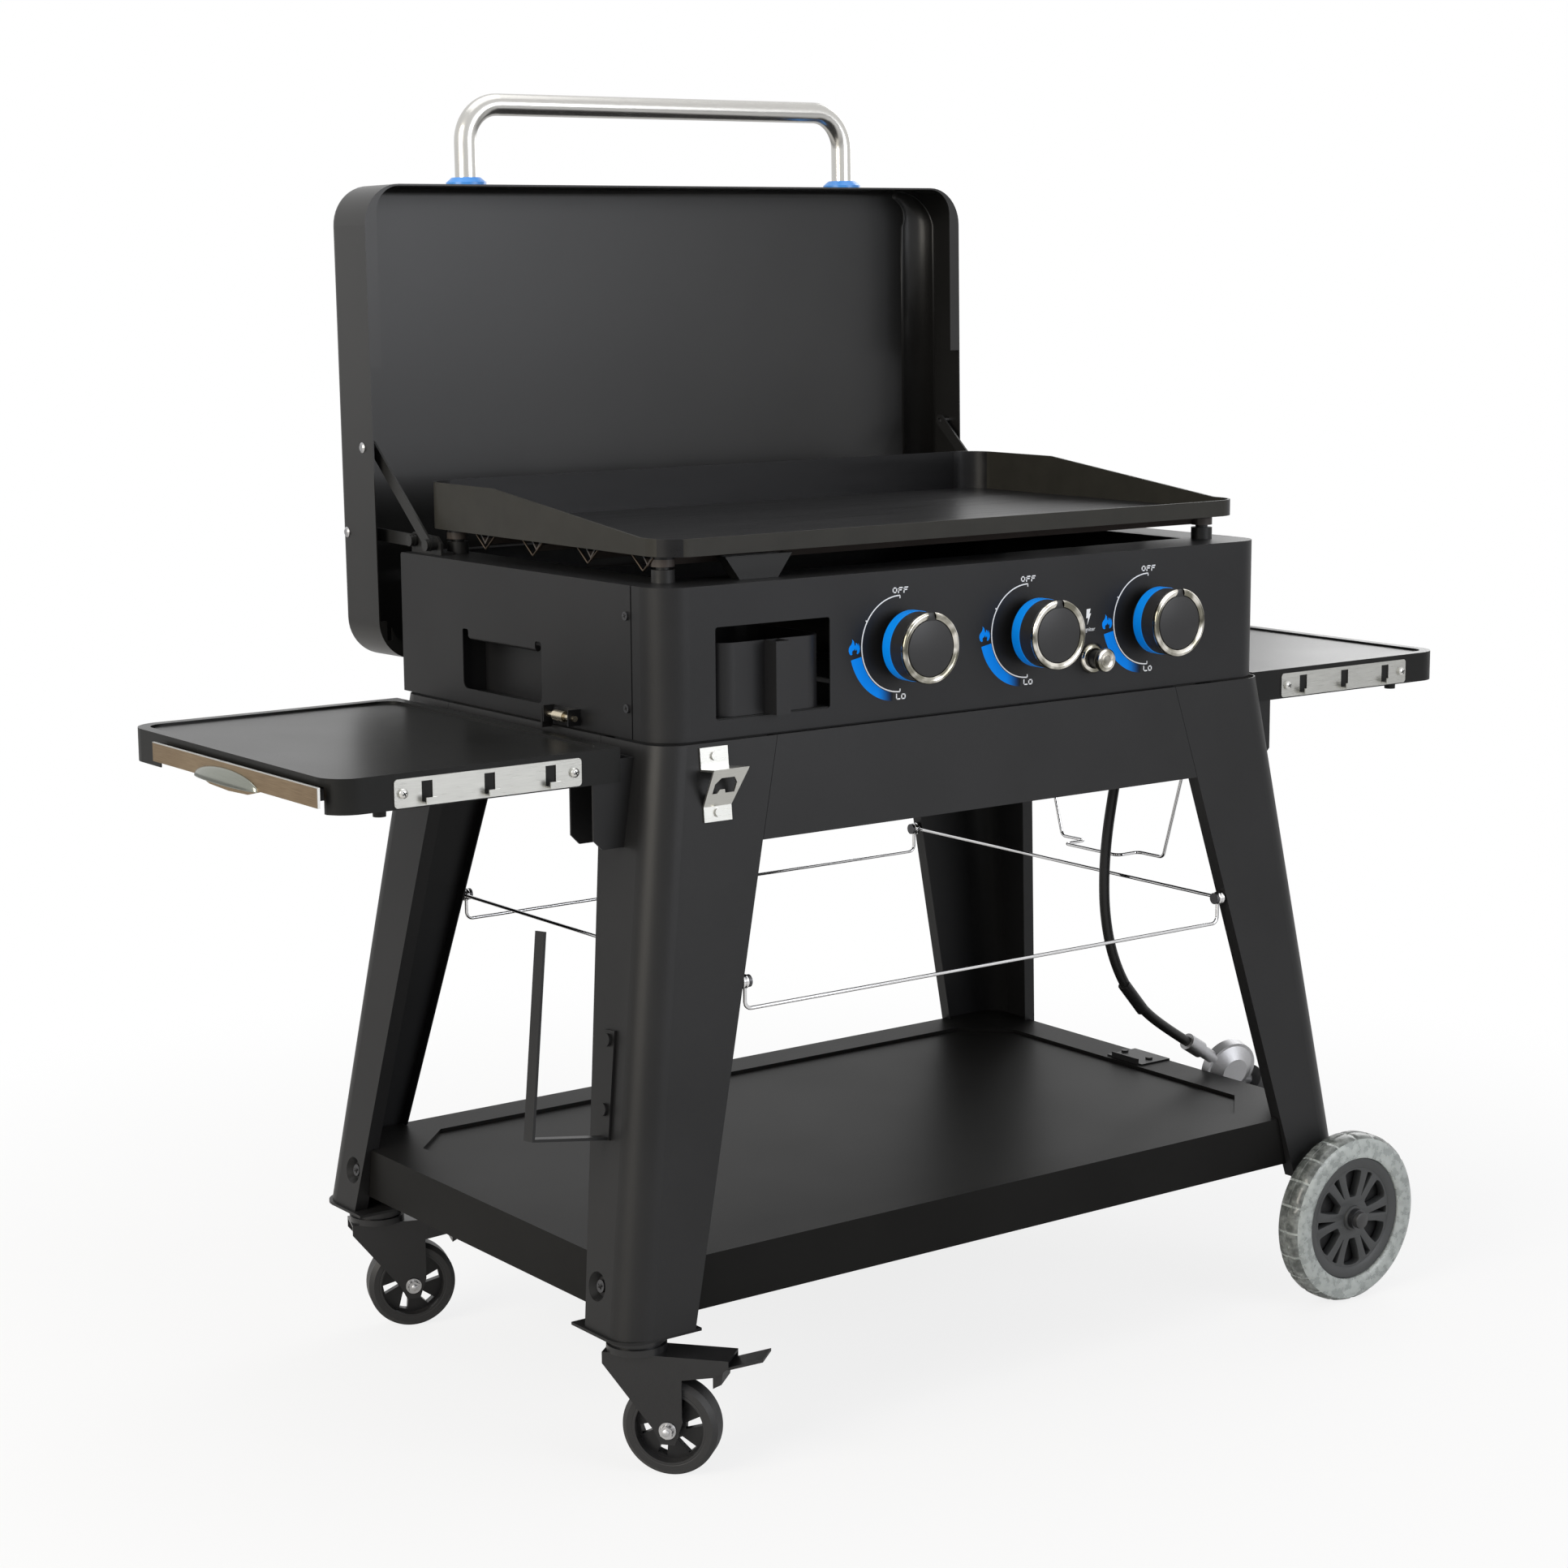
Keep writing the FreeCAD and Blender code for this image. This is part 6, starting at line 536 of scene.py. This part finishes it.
cart_middle = 0.0045
panel_screw_out = 0.41955
leg_screw_out = 0.49885
recesses = bmesh.new()
for side in (-1, 1):
    for height in (0.8622, 0.7687):
        cross_recess(recesses, (cart_middle + side * panel_screw_out, -0.1965, height), (side, 0, 0), 0.0048)
    for y in (-0.2526, 0.2536):
        cross_recess(recesses, (cart_middle + side * leg_screw_out, y, 0.1951), (side, 0, -0.15), 0.0064)
finish_mesh(recesses, "screw_recesses", "station", "black_smooth", recess_black)


# Side shelves: pressed steel decks with a deep skirt, in a slightly glossier coat. They fold down
# on pins in the legs' brackets, and the left one carries the drawer.

shelf_coat = powder_coat("side_shelf_coat", (0.0100, 0.0102, 0.0100), 0.30, level=0.19)
dress(shelf_coat, "side_shelf_right", "side_shelf_left")


# Drawer: black tray behind a face of brushed stainless with a bronze tint. Its pull is a
# polished half dome pressed out of the lower edge.

face_front = -0.7675
face_thick = 0.012
# Above this height, and in front of the next depth, the drawer face carries a painted highlight.
lip_highlight_top = 0.7262
lip_highlight_side = -0.2032
bronze, bronze_shader, bronze_place = start_material("bronze_tinted_stainless", Metallic=1.0)
bronze_streak = noise(bronze_place.node("Mapping", None, {"Vector": bronze_place, "Scale": (40, 1, 40)}),
                      40.0, 3.0)
bronze_cloud = noise(bronze_place, 9.0, 2.0)
on_face = axis(bronze_place, "X") < face_front + face_thick
face_tone = (bronze_streak * 0.5 + bronze_cloud * 0.5).soft_step(0.3, 0.7).mix(
    (0.250, 0.172, 0.100, 1.0), (0.40, 0.300, 0.190, 1.0))
# The top lip and the front end of the face turn pale silver: a painted highlight where the bent edges catch the
# light.
lip_highlight = axis(bronze_place, "Z") > lip_highlight_top
lip_highlight = lip_highlight.math("MAXIMUM", lip_highlight, axis(bronze_place, "Y") < lip_highlight_side)
face_with_lip_highlight = lip_highlight.mix(face_tone, (0.70, 0.70, 0.68, 1.0))
join(on_face.mix((0.014, 0.014, 0.015, 1.0), face_with_lip_highlight), bronze_shader, "Base Color")
join(0.44 - on_face * 0.08 + (bronze_streak - 0.5) * 0.15, bronze_shader, "Roughness")
join(on_face, bronze_shader, "Metallic")
dress(bronze, "drawer")

polished = bright_metal("polished_stainless", (0.26, 0.27, 0.235), 0.20, 60.0, (20, 1, 20))


def whole(form):
    """All corners, edges and faces of a bmesh, for a cut."""
    return form.verts[:] + form.edges[:] + form.faces[:]


pull_deep = 0.009
pull_half = 0.068
pull_tall = 0.0150
pull_sheet = 0.0008
pull_place = (face_front, -0.0123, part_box("drawer")[0].z + pull_tall / 2)
pull = bmesh.new()
bmesh.ops.create_uvsphere(pull, u_segments=48, v_segments=24, radius=1.0)
bmesh.ops.bisect_plane(pull, geom=whole(pull), plane_co=(0, 0, 0), plane_no=(0, 0, 1), clear_inner=True)
bmesh.ops.bisect_plane(pull, geom=whole(pull), plane_co=(0, 0, 0), plane_no=(1, 0, 0), clear_outer=True)
bmesh.ops.transform(pull, verts=pull.verts, matrix=Matrix.Translation(pull_place)
                    @ Matrix.Diagonal((pull_deep, pull_half, pull_tall, 1)))
pull_piece = finish_mesh(pull, "drawer_pull", "drawer", "stainless", polished, smooth=50)
wall = pull_piece.modifiers.new("wall", "SOLIDIFY")
wall.thickness = pull_sheet
wall.offset = -1.0


# Hook strips and the bottle opener: brushed stainless sheet. Each strip is fixed to its shelf's
# front skirt by two bright domed screws with a cross recess.

brushed = bright_metal("brushed_stainless", (0.60, 0.60, 0.57), 0.30, 60.0, (1, 30, 30))
dress(brushed, "hook_strip_right", "hook_strip_left", "bottle_opener")
screw_bright = bright_metal("bright_screw", (0.66, 0.66, 0.64), 0.22, 300.0)
strip_screws = (("left_shelf", -0.4915, -0.6845), ("right_shelf", 0.5005, 0.6935))
strip_face = -0.2204
strip_screw_high = 0.7145
dome_tall = 0.0020
recess_sunk = 0.00005
for body, *places in strip_screws:
    heads = bmesh.new()
    for x in places:
        turned(heads, [(0.0, dome_tall), (0.0022, 0.0018), (0.0040, 0.0010), (0.0048, 0.0)],
               (x, strip_face, strip_screw_high), (0, -1, 0), 24)
        cross_recess(heads, (x, strip_face - dome_tall + recess_sunk, strip_screw_high), (0, -1, 0),
                     0.0050, 1)
    finish_mesh(heads, body + "_strip_screw_heads", body, "stainless", screw_bright, recess_black, smooth=40)


# Control head: panels bent from sheet and screwed together, in a finer and slightly cooler coat.
# The sheets and tubes inside it are darker and duller. The sheets' darker colour is painted shade
# inside the head.

head_coat = powder_coat("head_coat", (0.0110, 0.0111, 0.0120), 0.38, level=0.28)
dress(head_coat, "control_panel", "side_panels", "rear_panel", "hand_cups", "latch_brackets")
dress(powder_coat("shaded_inner_coat", (0.006, 0.006, 0.006), 0.60), "firebox_floor", "inner_supports")
# The burner tubes are burnt; the gas manifold gets the same dark colour in place of bright zinc, as painted
# shade inside the head.
dress(powder_coat("burnt_and_shaded_tube", (0.020, 0.018, 0.016), 0.62, level=0.15), "burners", "gas_manifold")
dress(powder_coat("chute_coat", (0.008, 0.008, 0.008), 0.45), "grease_chute")
dress(powder_coat("cup_coat", (0.010, 0.010, 0.011), 0.38), "grease_cup")


# Marks printed on the control panel: at each knob an arc from OFF to LO, a flame and a fading
# heat band, and beside the igniter a bolt with its word. The ink lies a tenth of a millimetre
# proud of the coat.

panel_face = -0.25546
ink = 0.00012
knob_x = (-0.1080, 0.0675, 0.2430)
knob_gap = 0.1755
knob_z = 0.8155
arc_shift = 0.0022


def stamp(form, outline):
    """Adds one printed shape to a mesh; its outline is given as (x, z) on the panel."""
    corners = [form.verts.new((x, panel_face, z)) for x, z in outline]
    face = form.faces.new(corners)
    raised = bmesh.ops.extrude_face_region(form, geom=[face])
    moved = [item for item in raised["geom"] if isinstance(item, bmesh.types.BMVert)]
    bmesh.ops.translate(form, verts=moved, vec=(0, -ink, 0))


def arc_band(centre, inner, outer, start, end, steps):
    """Outline of a band between two radii that may change along it, angles in degrees."""

    def point(radii, share):
        radius = radii[0] + (radii[1] - radii[0]) * share
        angle = math.radians(start + (end - start) * share)
        return (centre[0] + radius * math.cos(angle), centre[1] + radius * math.sin(angle))

    shares = [step / steps for step in range(steps + 1)]
    return [point(outer, share) for share in shares] + [point(inner, share) for share in reversed(shares)]


def bars(form, left, base, strokes, width):
    """Adds letters made of straight strokes: each is (x0, z0, x1, z1) in millimetres."""
    for x0, z0, x1, z1 in strokes:
        start, end = Vector((x0, z0)), Vector((x1, z1))
        along = (end - start).normalized() * width / 2
        across = Vector((-along.y, along.x))
        ends = [start - along - across, end + along - across, end + along + across, start - along + across]
        stamp(form, [(left + place.x / 1000, base + place.y / 1000) for place in ends])


letter_strokes = {
    "O": [(0, 0, 4.6, 0), (4.6, 0, 4.6, 4.6), (4.6, 4.6, 0, 4.6), (0, 4.6, 0, 0)],
    "F": [(0, -0.4, 0, 4.6), (0, 4.6, 4.8, 4.6), (0, 2.3, 3.6, 2.3)],
    "L": [(0, 5.0, 0, 0), (0, 0, 4.4, 0)],
}
flame = [(-6.2, -6.4), (-7.4, -3.2), (-7.2, -0.2), (-5.6, 2.0), (-3.6, 4.0), (-2.6, 6.4), (-2.8, 8.8),
         (-0.8, 6.6), (0.0, 3.8), (0.6, 1.6), (1.8, 2.8), (2.0, 5.0), (3.8, 3.6), (5.0, 1.0), (5.2, 4.4),
         (6.6, 1.4), (7.2, -2.0), (6.4, -5.2), (4.4, -7.2), (3.0, -6.6), (3.6, -4.2), (3.0, -1.8),
         (1.6, -3.4), (0.6, -0.8), (-0.6, -2.6), (-2.6, -3.4), (-3.2, -5.2), (-2.6, -7.0), (-4.4, -7.6)]
bolt = [(-2.6, 8.4), (3.0, 8.8), (1.4, 3.4), (3.6, 3.6), (-1.6, -8.8), (-0.4, -1.2), (-3.2, -1.4)]
tick_corners = ((-0.0006, -0.0015), (0.0006, -0.0015), (0.0006, 0.0015), (-0.0006, 0.0015))
stroke = 1.3
white_marks = bmesh.new()
blue_marks = bmesh.new()
for x in knob_x:
    centre = (x - arc_shift, knob_z + 0.0005)
    stamp(white_marks, arc_band(centre, (0.0499, 0.0499), (0.0512, 0.0512), 90, 270, 60))
    for height in (0.0490, -0.0490):
        stamp(white_marks, [(centre[0] + u, centre[1] + height + v) for u, v in tick_corners])
    stamp(white_marks, arc_band(centre, (0.0511, 0.0511), (0.0528, 0.0528), 148.3, 149.7, 1))
    for index, letter in enumerate("OFF"):
        bars(white_marks, x - 0.0113 + index * 0.0072, knob_z + 0.0544, letter_strokes[letter], stroke)
    for index, letter in enumerate("LO"):
        bars(white_marks, x - 0.0069 + index * 0.0069, knob_z - 0.0577, letter_strokes[letter], stroke)
    stamp(blue_marks, arc_band(centre, (0.0520, 0.0520), (0.0660, 0.0606), 191, 260, 40))
    stamp(blue_marks, [(x - 0.0624 + u / 1000, knob_z + 0.0009 + v / 1000) for u, v in flame])
stamp(white_marks, [(0.1530 + u / 1000, 0.8244 + v / 1000) for u, v in bolt])
word = bpy.data.curves.new("igniter_word", "FONT")
word.body = "igniter"
word.size = 0.0062
word.align_x = "CENTER"
word_object = bpy.data.objects.new("igniter_word", word)
word_mesh = bpy.data.meshes.new_from_object(word_object)
bpy.data.objects.remove(word_object)
word_mesh.transform(Matrix.Translation((0.1549, panel_face - ink, 0.8086))
                    @ Matrix.Rotation(math.pi / 2, 4, "X"))
white_marks.from_mesh(word_mesh)
white_ink, white_shader, white_place = start_material("white_ink", Roughness=0.5)
white_tone = (0.95, 0.96, 0.97)
join(noise(white_place, 500.0, 2.0).mix(tone(white_tone, 0.9), tone(white_tone)), white_shader, "Base Color")
finish_mesh(white_marks, "panel_marks_white", "station", "chrome", white_ink)

# The blue ink fades into black towards LO: it is full blue from 32 mm left of the arc's middle.
blue_ink, blue_shader, blue_place = start_material("blue_ink", Roughness=0.6, Specular_IOR_Level=0.1)
across = (axis(blue_place, "X") - (knob_x[0] - arc_shift)) / knob_gap
across = across.math("FRACT", across + 0.5) - 0.5
fade = (across * -knob_gap).soft_step(0.010, 0.032)
join(fade.mix((0.012, 0.014, 0.018, 1.0), (0.0, 0.262, 0.95, 1.0)), blue_shader, "Base Color")
finish_mesh(blue_marks, "panel_marks_blue", "station", "blue_plastic", blue_ink)


# Knobs: a black moulded grip over a blue skirt band, closed by a polished ring with a pointer
# notch. Each turns on its valve stem.

knob_black = moulded("knob_black", (0.0165, 0.0165, 0.0175), 0.40)
blue_plastic = moulded("bright_blue_plastic", (0.0, 0.262, 0.92), 0.40, 0.2)
ring_metal, ring_shader, ring_place = start_material("polished_ring", Metallic=1.0)
# The ring's colour runs in patches from dark brown to pale: painted reflections that stand in for what the
# polished metal mirrors. The igniter's flange and cap share it.
ring_reflection_cloud = noise(ring_place, 48.0, 2.0, 0.4)
ring_painted_reflections = ring_reflection_cloud.soft_step(0.40, 0.62).mix((0.20, 0.19, 0.15, 1.0), (0.80, 0.77, 0.70, 1.0))
join(ring_painted_reflections, ring_shader, "Base Color")
join(0.10 + ring_reflection_cloud * 0.10, ring_shader, "Roughness")
dress(zinc, "valve_stem_1", "valve_stem_2", "valve_stem_3")
outward = Vector((0, -1, 0))
grip_radius = 0.0364
ring_inner = 0.0300
ring_outer = 0.0375
notch_outer = 0.0042
notch_inner = 0.0062
notch_below = 0.004
tab_gap = 0.0004
tab_out = 0.0469
tab_up = 0.0326
tab_thick = 0.0046
tab_tall = 0.0086
for number, x in enumerate(knob_x, 1):
    centre = (x, panel_face, knob_z)
    knob = bmesh.new()
    turned(knob, [(0.0, 0.0492), (0.0284, 0.0492), (0.0293, 0.0489), (0.0297, 0.0482), (0.0297, 0.0450),
                  (grip_radius - 0.0008, 0.0450), (grip_radius, 0.0442), (grip_radius, 0.0250)],
           centre, outward, 96)
    turned(knob, [(0.0355, 0.0145), (0.0352, 0.0136), (0.0340, 0.0130), (0.0300, 0.0128), (0.0300, 0.0052),
                  (0.0293, 0.0045), (0.0034, 0.0045), (0.0034, 0.0330)],
           centre, outward, 96)
    turned(knob, [(0.0355, 0.0265), (0.0366, 0.0265), (0.0370, 0.0261), (0.0370, 0.0144), (0.0366, 0.0140),
                  (0.0355, 0.0140)],
           centre, outward, 96, material=1)
    ring = bmesh.new()
    turned(ring, [(ring_inner, 0.0480), (0.0303, 0.0490), (0.0318, 0.0501), (0.0336, 0.0507),
                  (0.0350, 0.0509), (0.0362, 0.0505), (0.0371, 0.0496), (ring_outer, 0.0482),
                  (ring_outer, 0.0462), (0.0371, 0.0452), (0.0362, 0.0450), (ring_inner, 0.0450),
                  (ring_inner, 0.0480)],
           centre, outward, 120)
    lean = (notch_inner - notch_outer) / (ring_outer - ring_inner)
    for side in (-1, 1):
        bmesh.ops.bisect_plane(ring, geom=whole(ring), plane_no=(side, 0, lean),
                               plane_co=(x + side * notch_inner, 0, knob_z + ring_inner))
    in_notch = []
    for face in ring.faces:
        middle = face.calc_center_median()
        rise = middle.z - knob_z - ring_inner
        if rise > -notch_below and abs(middle.x - x) < notch_inner - lean * rise:
            in_notch.append(face)
    bmesh.ops.delete(ring, geom=in_notch, context="FACES")
    open_ends = [edge for edge in ring.edges if edge.is_boundary]
    bmesh.ops.holes_fill(ring, edges=open_ends, sides=0)
    for face in ring.faces:
        face.material_index = 2
    ring_data = bpy.data.meshes.new("ring")
    ring.to_mesh(ring_data)
    ring.free()
    knob.from_mesh(ring_data)
    tab = bmesh.ops.create_cube(knob, size=1.0)["verts"]
    for corner in tab:
        corner.co.x *= 2 * (notch_outer if corner.co.z > 0 else notch_inner) - 2 * tab_gap
    tab_place = Matrix.Translation((x, panel_face - tab_out, knob_z + tab_up))
    bmesh.ops.transform(knob, verts=tab, matrix=tab_place @ Matrix.Diagonal((1.0, tab_thick, tab_tall, 1)))
    edges = [edge for edge in knob.edges if edge.verts[0] in tab]
    bmesh.ops.bevel(knob, geom=edges, offset=0.0004, affect="EDGES", segments=2, profile=0.5, material=-1)
    piece = finish_mesh(knob, "control_knob_%d" % number, "knob_%d" % number, "knob_plastic", knob_black,
                        blue_plastic, ring_metal, smooth=32)
    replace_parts(piece, "knob_%d" % number)


# Igniter: a polished flange round a black moulded neck, and a polished cap that is pushed in.
# It sits in the control panel between the second and the third knob.

igniter = (0.1581, panel_face, 0.7787)
bezel = bmesh.new()
turned(bezel, [(0.0102, -0.0180), (0.0150, -0.0180), (0.0150, 0.0), (0.0165, 0.0003), (0.0170, 0.0014),
               (0.0166, 0.0034), (0.0152, 0.0052), (0.0132, 0.0060), (0.0112, 0.0060), (0.0105, 0.0052),
               (0.0102, 0.0036), (0.0102, -0.0180)],
       igniter, outward, 72)
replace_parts(finish_mesh(bezel, "igniter_flange", "station", "chrome", ring_metal, smooth=30), "igniter_bezel")
button = bmesh.new()
turned(button, [(0.0, 0.0255), (0.0050, 0.0255), (0.0058, 0.0250), (0.0066, 0.0256), (0.0094, 0.0260),
                (0.0112, 0.0258), (0.0124, 0.0250), (0.0130, 0.0236), (0.0130, 0.0200), (0.0126, 0.0190),
                (0.0116, 0.0184), (0.0100, 0.0182)],
       igniter, outward, 72, material=1)
turned(button, [(0.0100, 0.0186), (0.0099, 0.0182), (0.0099, -0.0060), (0.0, -0.0060)], igniter, outward, 72)
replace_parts(finish_mesh(button, "igniter_cap", "igniter", "knob_plastic", knob_black, ring_metal, smooth=30),
            "igniter_button")


# Latch pins: yellow-plated steel rods that hold the head on the cart. They slide in the latch
# brackets and are pulled out of the cart's catches.

yellow_zinc = bright_metal("yellow_zinc_plate", (0.62, 0.55, 0.42), 0.28, 300.0)
dress(yellow_zinc, "latch_pin_right", "latch_pin_left")


# Griddle plate: thick rolled steel with a burnt-on seasoning, darker and smoother on the
# cooking face, warm grey on the outer walls and bare on its feet.

plate_side = 0.3945
plate_front = -0.2365
foot_top = 0.9165
plate_material, plate_shader, plate_place = start_material("seasoned_plate", Specular_IOR_Level=0.22)
wipe = noise(plate_place.node("Mapping", None, {"Vector": plate_place, "Scale": (0.6, 5.0, 5.0)}),
             9.0, 4.0)
speck = noise(plate_place, 900.0, 2.0)
mill = noise(plate_place, 26.0, 4.0, 0.6)
sideways = axis(plate_place, "X") - cart_middle
side_wall = sideways.math("ABSOLUTE", sideways) > plate_side
outer_wall = side_wall.math("MAXIMUM", side_wall, axis(plate_place, "Y") < plate_front)
foot = axis(plate_place, "Z") < foot_top
cooking = wipe.mix((0.0055, 0.0055, 0.0062, 1.0), (0.0110, 0.0110, 0.0120, 1.0))
walls = mill.mix((0.015, 0.0145, 0.0120, 1.0), (0.028, 0.0265, 0.0220, 1.0))
bare = mill.mix((0.045, 0.038, 0.034, 1.0), (0.085, 0.072, 0.066, 1.0))
join(foot.mix(outer_wall.mix(cooking, walls), bare), plate_shader, "Base Color")
join(0.32 + outer_wall * 0.14 + (wipe - 0.5) * 0.18 + (speck - 0.5) * 0.1, plate_shader, "Roughness")
bump(speck + mill * 0.6, plate_shader, 0.10, 0.0007)
dress(plate_material, "griddle_plate")

# Below the plate's sides hang bent wires, four on each side.

wire_radius = 0.0012
wire_out = 0.385
zigzag = ((0.019, 0.9185), (0.0015, 0.9048), (0.0, 0.9040), (-0.0015, 0.9048), (-0.019, 0.9185))
wire_bronze = bright_metal("heat_stained_wire", (0.10, 0.078, 0.060), 0.46, 200.0)
for side, name in ((-1, "left"), (1, "right")):
    wires = bpy.data.curves.new("zigzag_" + name, "CURVE")
    wires.dimensions = "3D"
    wires.bevel_depth = wire_radius
    wires.bevel_resolution = 2
    for y in (0.1256, 0.0290, -0.0783, -0.1802):
        line = wires.splines.new("POLY")
        line.points.add(len(zigzag) - 1)
        for point, (along, height) in zip(line.points, zigzag):
            point.co = (cart_middle + side * wire_out, y + along, height, 1.0)
    holder = bpy.data.objects.new("zigzag_" + name, wires)
    bent = bpy.data.meshes.new_from_object(holder)
    bpy.data.objects.remove(holder)
    form = bmesh.new()
    form.from_mesh(bent)
    finish_mesh(form, "zigzag_wires_" + name, "station", "zinc", wire_bronze, smooth=60)


# Lid: a deep-drawn shell in smooth black, hung on black links. Its handle is brushed stainless
# tube between blue collars; the rivets are zinc.

lid_coat = powder_coat("lid_coat", (0.0120, 0.0118, 0.0116), 0.32, grain=0.05, level=0.36)
dress(lid_coat, "lid_shell")
link_coat = powder_coat("link_coat", (0.0155, 0.0155, 0.0155), 0.42)
dress(link_coat, "short_links", "long_links", "head_fittings")
dress(bright_metal("satin_handle", (0.56, 0.55, 0.525), 0.24, 70.0, (1, 40, 40)), "lid_handle")
collar_blue, collar_shader, collar_place = start_material("collars_and_rivets")
collar_grain = noise(collar_place, 60.0, 2.0)
collar_above = 1.2
on_collar = axis(collar_place, "Z") > collar_above
join(on_collar.mix((0.42, 0.42, 0.43, 1.0), (0.055, 0.29, 0.80, 1.0)), collar_shader, "Base Color")
join(1.0 - on_collar, collar_shader, "Metallic")
join(0.30 + (collar_grain - 0.5) * 0.12, collar_shader, "Roughness")
dress(collar_blue, "lid_fittings")

# Inside, the face bends into each side wall in a deep cove that narrows round the upper corner.
# It lies a hair inside the sheet and ends above the links.

cove_radius = 0.030
corner_bend = 0.0084
cove_corner = 0.0434
cove_half_wide = 0.4234
cove_high = 0.5284
cove_deep = 0.0784
cove_long = 0.295
cove_sheet = 0.0006
bend_steps = 12
corner_steps = 10
lid_foot = (cart_middle, 0.29454, 0.767)
lid_lean = 0.9
cove = bmesh.new()
for side in (-1, 1):
    sections = []
    corner = [(0, 90 / corner_steps * step) for step in range(corner_steps + 1)]
    for lower, degrees in [(cove_long, 0)] + corner:
        radius = cove_radius + (corner_bend - cove_radius) * degrees / 90
        turn = math.radians(degrees)
        chain = []
        for step in range(bend_steps + 1):
            bend = math.radians(90 / bend_steps * step)
            reach = cove_corner - radius * (1 - math.sin(bend))
            chain.append(cove.verts.new((side * (cove_half_wide - cove_corner + reach * math.cos(turn)),
                                         cove_deep - radius * (1 - math.cos(bend)),
                                         cove_high - cove_corner - lower + reach * math.sin(turn))))
        sections.append([cove.edges.new(pair) for pair in zip(chain, chain[1:])])
    for first, second in zip(sections, sections[1:]):
        bmesh.ops.bridge_loops(cove, edges=first + second)
bmesh.ops.transform(cove, verts=cove.verts, matrix=Matrix.Translation(lid_foot)
                    @ Matrix.Rotation(math.radians(-lid_lean), 4, "X"))
cove_piece = finish_mesh(cove, "lid_side_bends", "lid", "black_smooth", lid_coat, smooth=60)
cove_wall = cove_piece.modifiers.new("wall", "SOLIDIFY")
cove_wall.thickness = cove_sheet
cove_wall.offset = 0.0


# Studio: a pale floor that runs out to a white background, and large soft lamps. The camera and
# glossy rays see the world white, and as light on the object it is dimmer.

near_share = 0.82
white_from = 0.8
white_at = 1.8
world_light = 0.42
floor_mesh = bmesh.new()
bmesh.ops.create_grid(floor_mesh, x_segments=1, y_segments=1, size=14.0)
floor_data = bpy.data.meshes.new("floor")
floor_mesh.to_mesh(floor_data)
floor_mesh.free()
floor = bpy.data.objects.new("floor", floor_data)
bpy.context.collection.objects.link(floor)
floor_material, floor_shader, floor_place = start_material(
    "pale_floor", Roughness=0.9, Specular_IOR_Level=0.2)
floor_cloud = noise(floor_place, 2.0, 2.0)
join(floor_cloud.mix((0.78, 0.78, 0.78, 1.0), (0.80, 0.80, 0.80, 1.0)), floor_shader, "Base Color")
away = floor_place.node("VectorMath", {"operation": "LENGTH"}, {0: floor_place}, output="Value")
seen = floor_place.node("LightPath", output="Is Camera Ray")
white = floor_place.node("Emission", None, {"Color": (1, 1, 1, 1), "Strength": 1.0})
share = seen * (near_share + (1 - near_share) * away.soft_step(white_from, white_at))
blended = floor_place.node("MixShader", None, {0: share, 1: Signal(floor_place.tree, floor_shader.outputs[0]),
                                               2: white})
floor_place.tree.links.new(blended.socket, floor_place.tree.nodes["Material Output"].inputs["Surface"])
floor_data.materials.append(floor_material)

world = bpy.data.worlds.new("studio")
bpy.context.scene.world = world
world.use_nodes = True
world_back = world.node_tree.nodes["Background"]
world_back.inputs["Color"].default_value = (1, 1, 1, 1)
path = Signal(world.node_tree, None)
seen_rays = path.node("LightPath", output="Is Camera Ray")
glossy_rays = path.node("LightPath", output="Is Glossy Ray")
background = seen_rays.math("MAXIMUM", seen_rays, glossy_rays)
join(world_light + background * (1 - world_light), world_back, "Strength")


def lamp(name, place, target, width, height, power, colour=(1, 1, 1)):
    """A rectangular soft lamp aimed at a point."""
    light = bpy.data.lights.new(name, "AREA")
    light.shape = "RECTANGLE"
    light.size, light.size_y = width, height
    light.energy = power
    light.color = colour
    holder = bpy.data.objects.new(name, light)
    bpy.context.collection.objects.link(holder)
    aim = (Vector(target) - Vector(place)).to_track_quat("-Z", "Y").to_matrix().to_4x4()
    holder.matrix_world = Matrix.Translation(place) @ aim


lamp("key_left", (-4.2, -0.6, 2.3), (0, 0, 0.7), 2.4, 2.4, 130, (1.0, 0.94, 0.83))
lamp("fill_front", (1.5, -4.4, 2.0), (0, 0, 0.7), 2.6, 2.0, 75, (0.93, 0.95, 1.0))
lamp("top", (0, 0.3, 4.0), (0, 0, 0.9), 3.0, 3.0, 32)
lamp("right_rear", (3.4, 1.5, 2.4), (0, 0, 0.8), 2.0, 2.4, 40)

bpy.context.scene.view_settings.view_transform = "Standard"
